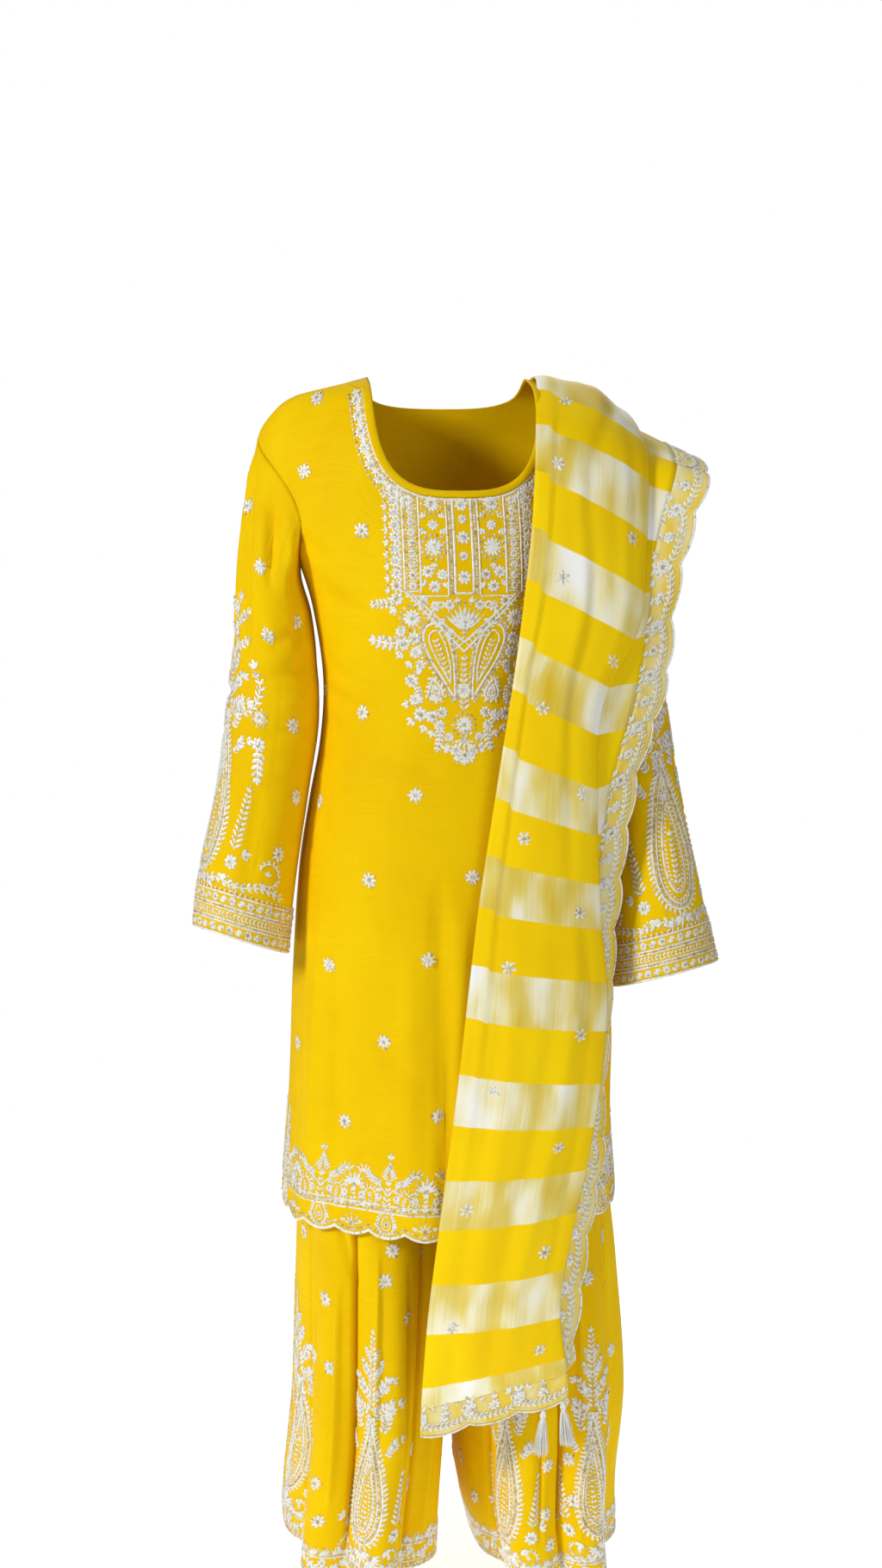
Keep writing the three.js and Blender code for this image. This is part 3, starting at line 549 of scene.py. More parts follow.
class Nodes:
    """A material's node tree, built one node at a time."""

    def __init__(self, name: str) -> None:
        """Starts a material with only its output and its surface shader.

        Args:
            name: the material's name.
        """
        self.material = bpy.data.materials.new(name)
        self.material.use_nodes = True
        self.tree = self.material.node_tree
        self.tree.nodes.clear()
        self.shader = self.tree.nodes.new("ShaderNodeBsdfPrincipled")
        output = self.tree.nodes.new("ShaderNodeOutputMaterial")
        self.link(self.shader, "BSDF", output, "Surface")

    def link(self, source: Node, out: str | int, target: Node, into: str | int) -> None:
        """Joins one node's output to another's input."""
        self.tree.links.new(source.outputs[out], target.inputs[into])

    def put(self, node: Node, socket: str | int, value: object) -> None:
        """Sets a node's input, or links it to an output.

        Args:
            node: the node.
            socket: the input's name or number.
            value: its value, or the (node, output) to link.
        """
        if isinstance(value, tuple) and isinstance(value[0], Node):
            self.link(value[0], value[1], node, socket)
        else:
            node.inputs[socket].default_value = value

    def add(self, kind: str, settings: dict | None = None, **inputs: object) -> Node:
        """Adds a node.

        Args:
            kind: the node's type, without its prefix.
            settings: attributes set on the node.
            inputs: values for its inputs, or (node, output) to link; underscores stand for spaces.

        Returns:
            The new node.
        """
        node = self.tree.nodes.new("ShaderNode" + kind)
        for key, value in (settings or {}).items():
            setattr(node, key, value)
        for key, value in inputs.items():
            numbered = key[0] == "i" and key[1:].isdigit()
            self.put(node, int(key[1:]) if numbered else key.replace("_", " "), value)
        return node

    def cloth(self, *scale: float) -> Node:
        """Coordinates on the flat cloth, scaled."""
        place = self.add("Attribute", {"attribute_name": "cloth"})
        return self.add("Mapping", Vector=(place, "Vector"), Scale=scale)

    def noise(self, vector: Node, out: str, detail: float = 2.0) -> Node:
        """Noise at scale 1 over a node's vector."""
        return self.add("TexNoise", Vector=(vector, out), Scale=1.0, Detail=detail, Roughness=0.55)

    def ramp(self, source: Output, stops: Sequence[tuple[float, Triple]]) -> Node:
        """A colour ramp over a value.

        Args:
            source: the node and output that hold the value.
            stops: places from 0 to 1 with their colours.

        Returns:
            The ramp node.
        """
        node = self.add("ValToRGB", Fac=source)
        elements = node.color_ramp.elements
        while len(elements) < len(stops):
            elements.new(0.5)
        for element, (place, colour) in zip(elements, stops):
            element.position = place
            element.color = (*colour, 1)
        return node

    def math(self, operation: str, a: object, b: object = 0.0) -> Output:
        """The result of a sum, product or other step on two values."""
        return self.add("Math", {"operation": operation}, i0=a, i1=b), 0

    def mix(self, factor: object, a: object, b: object) -> Output:
        """A blend of two colours by a factor."""
        return self.add("Mix", {"data_type": "RGBA"}, i0=factor, i6=a, i7=b), 2

    def weave(self, pitch: float, slub: float, depth: float) -> None:
        """Bumps the shader with a plain weave and its slubs.

        Args:
            pitch: width of one thread, in metres.
            slub: how strongly thick threads stand out, from 0 to 1.
            depth: height of the weave, in metres.
        """
        per_wave = 2 * math.pi / 20
        place = self.cloth(1, 1, 1)
        warp = self.add("TexWave", {"bands_direction": "X"}, Vector=(place, 0), Scale=per_wave / pitch)
        weft = self.add("TexWave", {"bands_direction": "Y"}, Vector=(place, 0), Scale=per_wave / pitch)
        cross = self.noise(self.cloth(22, 1300, 1), 0)
        along = self.noise(self.cloth(1300, 18, 1), 0)
        threads = self.math("ADD", (warp, "Fac"), (weft, "Fac"))
        slubs = self.math("ADD", (cross, "Fac"), (along, "Fac"))
        height = self.math("ADD", self.math("MULTIPLY", threads, 0.5), self.math("MULTIPLY", slubs, 4 * slub))
        bump = self.add("Bump", Height=height, Strength=1.0, Distance=depth)
        self.link(bump, "Normal", self.shader, "Normal")

    def set(self, **inputs: object) -> None:
        """Sets or links the surface shader's inputs; underscores stand for spaces."""
        for key, value in inputs.items():
            self.put(self.shader, key.replace("_", " "), value)


@dataclass(frozen=True)
class RawSilk:
    """Plain woven raw silk with faint slubs, a little deeper in tone in broad patches and streaks that fall
    at random.
    """

    name: str = "raw_silk"
    base: Triple = (0.93, 0.62, 0.001)
    deep: Triple = (0.84, 0.50, 0.0005)
    roughness: float = 0.62
    thread: float = 0.0006

    def material(self) -> Material:
        """The silk's material.

        Returns:
            The material.
        """
        nodes = Nodes(self.name)
        patches = nodes.noise(nodes.cloth(9, 5, 1), 0, 3.0)
        streaks = nodes.noise(nodes.cloth(14, 700, 1), 0)
        tone = nodes.math("ADD", nodes.math("MULTIPLY", (patches, "Fac"), 0.7), nodes.math(
            "MULTIPLY", (streaks, "Fac"), 0.3))
        colour = nodes.ramp(tone, [(0.3, self.deep), (0.62, self.base)])
        nodes.set(Base_Color=(colour, "Color"), Roughness=self.roughness, Specular_IOR_Level=0.04)
        nodes.weave(self.thread, 0.35, 0.00008)
        return nodes.material


@dataclass(frozen=True)
class BandedSilk:
    """Fine dupatta silk with bands of metal tissue woven across it; the tissue's sheen is painted into its
    colour.
    """

    name: str = "banded_silk"
    base: Triple = (1.0, 0.70, 0.001)
    deep: Triple = (0.93, 0.59, 0.0005)
    # tissue colours: the gold is the tissue's own tone, the pale and near-white streaks are painted sheen
    tissue: tuple[tuple[float, Triple], ...] = (
        (0.34, (0.78, 0.53, 0.02)),
        (0.46, (0.84, 0.68, 0.17)),
        (0.56, (0.95, 0.90, 0.60)),
        (0.66, (1.0, 1.0, 0.96)),
    )
    soft: float = 0.012

    def bands(self, nodes: Nodes) -> Output:
        """1 in a tissue band and 0 in plain silk.

        Args:
            nodes: the material's nodes.

        Returns:
            The node and output that hold the mask.
        """
        bands = nodes.add("Attribute", {"attribute_name": "bands"})
        place = nodes.add("SeparateXYZ", Vector=(bands, "Vector"))
        down = nodes.math("SUBTRACT", (place, "Y"), (BAND_START - BAND_HEIGHT / 2) * MM)
        share = nodes.math("FRACT", nodes.math("DIVIDE", down, BAND_PERIOD * MM))
        edge, soft = BAND_HEIGHT / BAND_PERIOD, self.soft
        smooth = {"interpolation_type": "SMOOTHSTEP"}
        rise = nodes.add("MapRange", smooth, Value=share, i1=0.0, i2=soft)
        fall = nodes.add("MapRange", smooth, Value=share, i1=edge, i2=edge + soft, i3=1.0, i4=0.0)
        return nodes.math("MULTIPLY", (rise, 0), (fall, 0))

    def material(self) -> Material:
        """The banded silk's material.

        Returns:
            The material.
        """
        nodes = Nodes(self.name)
        mask = self.bands(nodes)
        patches = nodes.noise(nodes.cloth(8, 4, 1), 0, 3.0)
        plain = nodes.ramp((patches, "Fac"), [(0.32, self.deep), (0.6, self.base)])
        streaks = nodes.noise(nodes.cloth(17, 7, 1), 0, 2.0)
        fine = nodes.noise(nodes.cloth(380, 12, 1), 0)
        tone = nodes.math("ADD", nodes.math("MULTIPLY", (streaks, "Fac"), 0.9), nodes.math(
            "MULTIPLY", (fine, "Fac"), 0.1))
        # painted sheen: streaks from dull gold to near white stand in for the metal's changing reflection
        metal = nodes.ramp(tone, self.tissue)
        nodes.set(Base_Color=nodes.mix(mask, (plain, "Color"), (metal, "Color")))
        nodes.set(Metallic=nodes.math("MULTIPLY", mask, 0.12))
        nodes.set(Roughness=nodes.math("SUBTRACT", 0.52, nodes.math("MULTIPLY", mask, 0.16)))
        nodes.set(Specular_IOR_Level=0.08)
        nodes.weave(0.0005, 0.25, 0.00006)
        return nodes.material


@dataclass(frozen=True)
class Organza:
    """Crisp sheer organza with a dull metal thread, seen through in part."""

    name: str = "organza"
    light: Triple = (0.93, 0.84, 0.42)
    warm: Triple = (0.95, 0.69, 0.04)
    alpha: float = 0.86
    roughness: float = 0.5

    def material(self) -> Material:
        """The organza's material.

        Returns:
            The material.
        """
        nodes = Nodes(self.name)
        patches = nodes.noise(nodes.cloth(40, 12, 1), 0, 3.0)
        colour = nodes.ramp((patches, "Fac"), [(0.40, self.warm), (0.66, self.light)])
        nodes.set(Base_Color=(colour, "Color"), Roughness=self.roughness, Alpha=self.alpha)
        nodes.set(Specular_IOR_Level=0.3)
        nodes.weave(0.0005, 0.2, 0.00006)
        return nodes.material


@dataclass(frozen=True)
class MetalThread:
    """Satin-stitched silver and pale gold thread with small beads, duller in small patches that fall at
    random.
    """

    name: str = "metal_thread"
    light: Triple = (0.86, 0.86, 0.80)
    dull: Triple = (0.56, 0.50, 0.32)
    gold: Triple = (0.42, 0.30, 0.08)
    metallic: float = 0.1
    roughness: float = 0.45

    def material(self) -> Material:
        """The thread's material.

        Returns:
            The material.
        """
        nodes = Nodes(self.name)
        place = nodes.add("TexCoord")
        tone = nodes.add("TexNoise", Vector=(place, "Object"), Scale=260.0, Detail=2.0)
        pale = nodes.ramp((tone, "Fac"), [(0.34, self.dull), (0.46, self.light)])
        knot = nodes.add("Attribute", {"attribute_name": "knot"})
        warm = nodes.ramp((tone, "Fac"), [(0.36, self.gold), (0.66, self.light)])
        colour = nodes.mix((knot, "Fac"), (pale, "Color"), (warm, "Color"))
        strands = nodes.add("TexNoise", Vector=(place, "Object"), Scale=1400.0, Detail=1.0)
        bump = nodes.add("Bump", Height=(strands, "Fac"), Strength=0.7, Distance=0.0002)
        nodes.set(Base_Color=colour, Roughness=self.roughness, Metallic=self.metallic)
        nodes.set(Specular_IOR_Level=0.5, Normal=(bump, "Normal"))
        return nodes.material


@dataclass(frozen=True)
class TasselThread:
    """Soft white thread of the tassels."""

    name: str = "tassel_thread"
    light: Triple = (0.96, 0.96, 0.92)
    shade: Triple = (0.80, 0.79, 0.68)

    def material(self) -> Material:
        """The tassels' material.

        Returns:
            The material.
        """
        nodes = Nodes(self.name)
        place = nodes.add("TexCoord")
        spread = nodes.add("Mapping", Vector=(place, "Object"), Scale=(1500, 1500, 60))
        tone = nodes.noise(spread, 0)
        colour = nodes.ramp((tone, "Fac"), [(0.35, self.shade), (0.6, self.light)])
        bump = nodes.add("Bump", Height=(tone, "Fac"), Strength=0.6, Distance=0.0002)
        nodes.set(Base_Color=(colour, "Color"), Roughness=0.6, Sheen_Weight=0.3, Normal=(bump, "Normal"))
        return nodes.material


@dataclass(frozen=True)
class PaleFloor:
    """A plain pale floor."""

    name: str = "pale_floor"
    shade: float = 0.9
    glow: float = 0.7

    def material(self) -> Material:
        """The floor's material.

        Returns:
            The material.
        """
        nodes = Nodes(self.name)
        place = nodes.add("TexCoord")
        tone = nodes.add("TexNoise", Vector=(place, "Object"), Scale=3.0, Detail=3.0)
        low = self.shade - 0.01
        colour = nodes.ramp((tone, "Fac"), [(0.3, (low,) * 3), (0.7, (self.shade,) * 3)])
        nodes.set(Base_Color=(colour, "Color"), Roughness=0.85)
        nodes.set(Emission_Color=(1, 1, 1, 1), Emission_Strength=self.glow)
        return nodes.material


def dress(made: Piece, material: Material, slot: Slot, nodes: Sequence[str] = ()) -> None:
    """Gives a piece its finish and its body, and hides the CAD nodes that it stands for.

    Args:
        made: the piece.
        material: its finish.
        slot: its slot in the record; not used.
        nodes: names of the CAD nodes.
    """
    made.data.materials.clear()
    made.data.materials.append(material)
    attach(made, BODY)
    if nodes:
        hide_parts(*nodes)


# ---------------------------------------------------------------- kurta

KURTA = Sections(
    ("z", "half", "front", "back", "seam", "round"),
    (
        (14, 50, 50, 58, 8, 1.35),
        (0, 88, 58, 64, 12, 1.4),
        (-9, 124, 63, 68, 15, 1.4),
        (-20, 166, 69, 73, 19, 1.45),
        (-38, 190, 78, 80, 24, 1.55),
        (-64, 206, 88, 90, 26, 1.7),
        (-102, 205, 94, 98, 22, 2.0),
        (-131, 198, 98, 101, 17, 2.1),
        (-162, 182, 111, 103, 10, 2.2),
        (-206, 162, 124, 101, 4, 2.2),
        (-252, 149, 128, 96, 2, 2.2),
        (-327, 139, 122, 88, 2, 2.2),
        (-394, 143, 126, 91, 1, 2.2),
        (-462, 156, 133, 105, 0, 2.2),
        (-537, 168, 140, 119, 0, 2.2),
        (-658, 177, 147, 128, 0, 2.2),
        (-792, 183, 151, 134, 0, 2.2),
        (-922, 193, 155, 140, 0, 2.2),
        (-1192, 204, 166, 152, 0, 2.2),
    ),
)
KURTA_FOLDS = rows_of(
    Fold,
    (-64, 9, 5, -472, -892), (-38, 12, -5, -552, -892), (-12, 12, 4, -612, -892), (22, 12, -4, -552, -892),
    (58, 11, 4, -512, -892), (88, 16, 9, -562, -702), (88, 16, -8, -732, -862), (128, 12, -5, -512, -892),
    (160, 13, 4, -552, -892), (196, 13, -5, -552, -892), (232, 12, 4, -512, -892),
)
KURTA_CREASES = rows_of(
    Crease,
    # drag lines at the waist, front left and right
    (-82, -300, -52, -322, 4.8, -3.8), (-84, -318, -44, -338, 4.8, 3.5), (-84, -334, -50, -352, 4.8, -4.3),
    (-82, -352, -60, -364, 3.8, 3.1), (-86, -372, -58, -380, 4.8, -3.4), (84, -306, 56, -326, 4.8, -3.5),
    (86, -326, 50, -348, 5.7, 3.4), (84, -350, 58, -364, 4.8, -3.4),
    # across the bust and below it
    (-70, -196, -42, -232, 8.5, 4.3), (-74, -226, -40, -252, 7.6, -3.5), (-80, -158, -52, -196, 7.6, -3.8),
    (70, -196, 42, -232, 8.5, 3.8),
    # below the waist
    (-40, -412, -12, -418, 4.8, -4.1), (-42, -424, -10, -430, 5.7, 2.8), (-64, -440, -40, -428, 5.7, 2.7),
    (-70, -470, -46, -520, 6.6, -2.8),
    # puckers beside the side seams
    (-86, -402, -70, -410, 4, -3.6), (-86, -424, -72, -430, 4, 3.2), (-86, -446, -68, -456, 4, -3.8),
    (-86, -476, -72, -480, 4, 2.8), (-86, -500, -70, -508, 4, -3.2), (-76, -400, -75, -640, 4, -4.2),
    (-70, -430, -68, -700, 4, 3),
    # long soft folds of the skirt part
    (-10, -520, -7, -905, 4.6, -8), (-3, -540, -1, -880, 7, 5), (-20, -600, -19, -915, 9, 5),
    (-52, -620, -50, -915, 7.6, -5.2), (-60, -560, -62, -860, 6.6, 3.8), (-72, -700, -70, -915, 5.7, -4.8),
    (8, -560, 10, -900, 9.5, -4.3), (38, -600, 40, -915, 9.5, 4.5), (66, -560, 64, -915, 7.6, -5.2),
    (-34, -700, -18, -745, 8.5, -2.4), (-44, -780, -22, -760, 8.5, 2.1),
    # back
    (98, -306, 128, -330, 5.7, -3.8), (96, -330, 136, -350, 5.7, 3.5), (262, -306, 232, -330, 5.7, -3.8),
    (264, -334, 226, -352, 5.7, 3.5), (150, -380, 210, -388, 7.6, -3.8), (158, -400, 204, -408, 7.6, 2.8),
    (180, -120, 182, -300, 11.4, -4.3), (146, -110, 158, -240, 9.5, 3.5), (214, -110, 202, -240, 9.5, 3.5),
    (144, -560, 142, -915, 8.5, -5.2), (172, -520, 174, -915, 10.4, 4.8), (186, -600, 188, -915, 8.5, -4.8),
    (216, -560, 214, -915, 9.5, 4.8), (246, -620, 244, -915, 7.6, -5.2), (112, -620, 114, -915, 7.6, 4.8),
)
KURTA_DEGREE = 2.7


@dataclass
class KurtaForm:
    """The kurta's form, with its folds and creases."""

    creases: tuple[Crease, ...] = KURTA_CREASES
    unevenness: float = 0.7

    def point(self, angle: Array, z: Array, lift: Array | float = 0.0) -> Array:
        """Points of the form.

        Args:
            angle: angles round the body.
            z: heights.
            lift: how far outside the form, measured level.

        Returns:
            The points.
        """
        turn = np.radians(angle)
        sine, cosine = np.sin(turn), np.cos(turn)
        out = swell(sine, KURTA.read("round", z))
        seam, half = KURTA.read("seam", z), KURTA.read("half", z)
        front = seam - (KURTA.read("front", z) + seam) * out
        back = seam + (KURTA.read("back", z) - seam) * out
        calm = 1 - np.abs(sine) ** 10
        push = fold_push(KURTA_FOLDS, angle, z)
        push = push + calm * crease_push(self.creases, angle, z, KURTA_DEGREE)
        push = push + calm * ripple(angle, z, KURTA_DEGREE, self.unevenness, KURTA_WAVES) + lift
        y = np.where(cosine >= 0, front, back) - push * cosine
        return stack(half * sine + push * sine, y, z + 0 * sine)


@dataclass
class BodyPanel:
    """One body panel of the kurta, cut with a neckline, armholes, side slits and a scalloped hem.

    Attributes:
        face: front or back.
        drop: depth of the neckline.
        lobes: half the number of scallops of the hem.
        neck: share of the top edge that is neckline.
        armhole_cut: how far the armhole cuts in, in degrees.
        flat: width and length of the cut cloth, in metres; not used.
        area: area of the cut cloth, in square metres; not used.
        form: the kurta's form.
    """

    face: Face
    drop: float
    lobes: float
    neck: float
    armhole_cut: float
    flat: Pair
    area: float
    form: KurtaForm = field(default_factory=KurtaForm)

    @property
    def middle(self) -> float:
        """Angle that the panel faces."""
        return 0.0 if self.face is Face.FRONT else 180.0

    def degree_width(self, z: Array) -> Array:
        """Width along the cloth of one degree at heights z."""
        return np.radians(KURTA.read("half", z) + KURTA.read(self.face.word, z)) / 2

    def flat_place(self, turn: Array | float, z: Array | float) -> Array:
        """Places on the flat panel: distance from its middle line, and height."""
        return np.stack(np.broadcast_arrays(turn * self.degree_width(z), z), -1).astype(float)

    def armhole_turn(self, z: Array) -> Array:
        """Angle from the middle of the panel to its armhole edge at heights z."""
        share = np.clip((SHOULDER_Z - z) / (SHOULDER_Z - ARMPIT_Z), 0, 1)
        return 90 - self.armhole_cut * np.sin(np.pi * share) ** ARMHOLE_FULLNESS

    def neckline(self, share: Array) -> tuple[Array, Array]:
        """Angle and height of the neckline, for shares from -1 to 1 along it.

        Args:
            share: shares from -1 to 1 along it.

        Returns:
            The angles and the heights.
        """
        turn = np.radians(90 * share)
        x = NECK_HALF * np.sign(share) * np.abs(np.sin(turn)) ** (2 / NECK_SQUARENESS)
        z = -self.drop * np.abs(np.cos(turn)) ** (2 / NECK_SQUARENESS)
        return np.degrees(np.arcsin(np.clip(x / KURTA.read("half", z), -1, 1))), z

    def top_edge(self, u: Array) -> Array:
        """Top edge: shoulder seam, neckline, shoulder seam.

        Args:
            u: places from -1 to 1 across.

        Returns:
            Places on the flat panel.
        """
        turn, z = self.neckline(np.clip(u / self.neck, -1, 1))
        out = np.clip((np.abs(u) - self.neck) / (1 - self.neck), 0, 1)
        seam = self.flat_place(90 * np.sign(u), SHOULDER_Z * out)
        return np.where((np.abs(u) <= self.neck)[..., None], self.flat_place(turn, z), seam)

    def side_edge(self, sign: int, v: Array) -> Array:
        """Side edge: armhole, side seam and slit.

        Args:
            sign: 1 for the side where angles are positive, or -1.
            v: places from 0 to 1 down.

        Returns:
            Places on the flat panel.
        """
        armhole_z = lerp(SHOULDER_Z, ARMPIT_Z, v / ARMHOLE_SHARE)
        armhole = self.flat_place(sign * self.armhole_turn(armhole_z), armhole_z)
        seam_z = lerp(ARMPIT_Z, KURTA_HEM_Z, (v - ARMHOLE_SHARE) / (1 - ARMHOLE_SHARE))
        open_share = np.clip((SLIT_TOP_Z - seam_z) / (SLIT_TOP_Z - KURTA_HEM_Z), 0, 1)
        seam = self.flat_place(sign * (90 - SLIT_OPEN * open_share), seam_z)
        return np.where((v <= ARMHOLE_SHARE)[..., None], armhole, seam)

    def hem_edge(self, u: Array) -> Array:
        """Scalloped hem."""
        lobe = np.abs(np.sin((u + 1) * self.lobes * np.pi / 2)) ** HEM_ROUND
        return self.flat_place((90 - SLIT_OPEN) * u, KURTA_HEM_Z - HEM_SCALLOP * lobe)

    def place(self, u: Array, v: Array) -> tuple[Array, Array]:
        """Angles and heights inside the panel, blended from its four edges.

        Args:
            u: from -1 to 1 across.
            v: from 0 to 1 down.

        Returns:
            Angles from the panel's middle, and heights.
        """
        share = ((u + 1) / 2)[..., None]
        fade = (np.maximum(0, 1 - v / TOP_REACH) ** 2)[..., None]
        ends = np.array([-1.0, 1.0])
        top, hem = self.top_edge(ends), self.hem_edge(ends)
        own_top = self.top_edge(u) - lerp(top[0], top[1], share)
        own_hem = self.hem_edge(u) - lerp(hem[0], hem[1], share)
        side = self.side_edge(1, v)
        uncut = np.where(v < ARMHOLE_SHARE, 90 * self.degree_width(side[..., 1]), side[..., 0])
        pull = np.sign(u) * np.abs(u) ** ARMHOLE_PULL * (uncut - side[..., 0])
        flat = np.stack([u * uncut - pull, side[..., 1]], -1)
        flat = flat + fade * own_top + v[..., None] * own_hem
        return flat[..., 0] / self.degree_width(flat[..., 1]), flat[..., 1]

    def skin(self, turn: Array, z: Array) -> Array:
        """Points of the panel, kept just clear of the other one at the side seams.

        Args:
            turn: angles from the panel's middle.
            z: heights.

        Returns:
            The points.
        """
        held = np.clip(turn, -90, 90)
        points = self.form.point(self.middle + held, z)
        points[..., 1] += self.face.value * (SEAM / 3) * (np.abs(held) > SEAM_TURN)
        return points

    def columns(self) -> Array:
        """Places across, closer together where the shoulder seam meets the neckline.

        Returns:
            The places, from -1 to 1.
        """
        wide = spaced(PANEL_ACROSS)
        seam = np.linspace(self.neck, 1, int(wide * (1 - self.neck) / 2) + 1)
        neck = crowded(int(wide * self.neck) + 1, NECK_CROWDING) * self.neck
        return np.concatenate([-seam[:0:-1], neck, seam[1:]])

    def rows(self) -> Array:
        """Places down, following the armhole first.

        Returns:
            The places, from 0 to 1.
        """
        armhole = ARMHOLE_SHARE * (1 - np.cos(np.linspace(0, np.pi, ARMHOLE_ROWS + 1))) / 2
        below = np.linspace(ARMHOLE_SHARE, 1, spaced(ARMPIT_Z - KURTA_HEM_Z) + 1)
        return np.concatenate([armhole, below[1:]])

    def build(self, finish: Material) -> Piece:
        """Makes the panel and gives it its finish.

        Args:
            finish: the cloth's material.

        Returns:
            The panel.
        """
        u, v = np.meshgrid(self.columns(), self.rows())
        turn, z = self.place(u, v)
        grid = self.skin(turn, z)
        made = cloth_shell(f"cloth_kurta_{self.face.word}", grid, cloth_places(grid), SILK_WALL)
        dress(made, finish, Slot.KURTA, [f"kurta_{self.face.word}"])
        return made


@dataclass
class NeckBinding:
    """The narrow rolled binding round the neck edge, over both body panels.

    Attributes:
        panels: front and back panel.
        stations: places along each half.
        step: share of a half over which its direction is taken.
    """

    panels: tuple[BodyPanel, BodyPanel]
    stations: int = 64
    step: float = 0.004

    def ring(self, outward: float, lift: float) -> Array:
        """A closed line of points round the neck, moved out over the cloth and lifted off it.

        Args:
            outward: how far out over the cloth.
            lift: how far off the cloth.

        Returns:
            The points.
        """
        lines = []
        for panel in self.panels:
            share = crowded(self.stations + 1, BINDING_CROWDING)[:-1]
            turn, z = panel.neckline(share)
            flat = panel.flat_place(turn, z)
            ahead, behind = (panel.flat_place(*panel.neckline(np.clip(share + step, -1, 1)))
                             for step in (self.step, -self.step))
            run = unit(ahead - behind)
            moved = flat + outward * np.stack([run[..., 1], -run[..., 0]], -1)
            moved_turn = np.clip(moved[..., 0] / panel.degree_width(moved[..., 1]), -90, 90)
            lines.append(panel.form.point(panel.middle + moved_turn, moved[..., 1], lift))
        return np.concatenate(lines)

    def build(self, finish: Material) -> Piece:
        """Makes the binding and gives it its finish.

        Args:
            finish: the cloth's material.

        Returns:
            The binding.
        """
        rings = np.array([self.ring(outward, lift) for outward, lift in BINDING_SECTION])
        made = cloth_shell("rolled_neck_binding", rings, cloth_places(rings), TRIM_WALL, wrap=True)
        dress(made, finish, Slot.KURTA, ["kurta_neck_binding"])
        return made


# ---------------------------------------------------------------- sleeves

SLEEVE_COLUMNS = ("z", "outer", "inner", "middle", "depth")
LEFT_SLEEVE = Sections(
    SLEEVE_COLUMNS,
    (
        (-52, 204, 146, 16, 60),
        (-122, 218, 156, 14, 66),
        (-206, 228, 166, 10, 64),
        (-254, 233, 153, 9, 62),
        (-302, 239, 146.5, 7, 60),
        (-372, 248, 144.5, 0, 58),
        (-445, 259, 156.5, -10, 57),
        (-531, 279, 171.5, -24, 55),
        (-612, 289, 183, -38, 54),
        (-652, 292, 187, -44, 54),
    ),
)
RIGHT_SLEEVE = Sections(
    SLEEVE_COLUMNS,
    (
        (-52, 204, 146, 16, 60),
        (-122, 217, 156, 14, 66),
        (-206, 226, 166, 8, 64),
        (-254, 231, 160, 2, 62),
        (-341, 242, 152, -14, 60),
        (-456, 255, 162, -46, 57),
        (-552, 271, 170, -72, 55),
        (-612, 284, 172, -84, 54),
        (-667, 296, 172, -92, 54),
        (-712, 304, 173, -98, 54),
    ),
)
SLEEVE_DEGREE = 0.95
SLEEVE_CREASES = rows_of(
    Crease,
    (42, -60, 4, -230, 6, -8.5), (20, -70, -22, -210, 6, 6.5), (64, -90, 44, -300, 5, -7),
    (-30, -190, -36, -330, 6, -7.5), (88, -120, 74, -280, 6, 5), (140, -90, 118, -280, 6, -8),
    (60, -90, 30, -150, 7.6, -4.7), (90, -80, 62, -170, 7.6, 3.9), (20, -120, 8, -210, 7.6, -4.3),
    (-30, -150, -10, -240, 8.5, 3.9), (120, -100, 140, -170, 7.6, -4.3), (160, -130, 176, -220, 8.5, 3.9),
    (-60, -262, 10, -285, 5.7, -4.3), (-70, -285, 30, -306, 6.6, 3.9), (-50, -312, 50, -330, 5.7, -3.9),
    (-80, -335, 0, -350, 6.6, 3.5), (-70, -372, 20, -384, 5.7, -3.9), (60, -330, 120, -350, 6.6, -3.5),
    (200, -290, 280, -312, 6.6, -4.3), (190, -316, 290, -336, 6.6, 3.9), (210, -350, 280, -366, 5.7, -3.9),
    (-40, -420, 40, -432, 7.6, 2.8), (40, -400, 52, -540, 8.5, 3.5), (8, -430, 2, -560, 8.5, -3.5),
    (150, -400, 156, -560, 9.5, -4.3), (190, -420, 200, -560, 9.5, 3.9), (-40, -450, -50, -560, 7.6, -3.9),
    (100, -430, 104, -570, 8.5, -3),
)


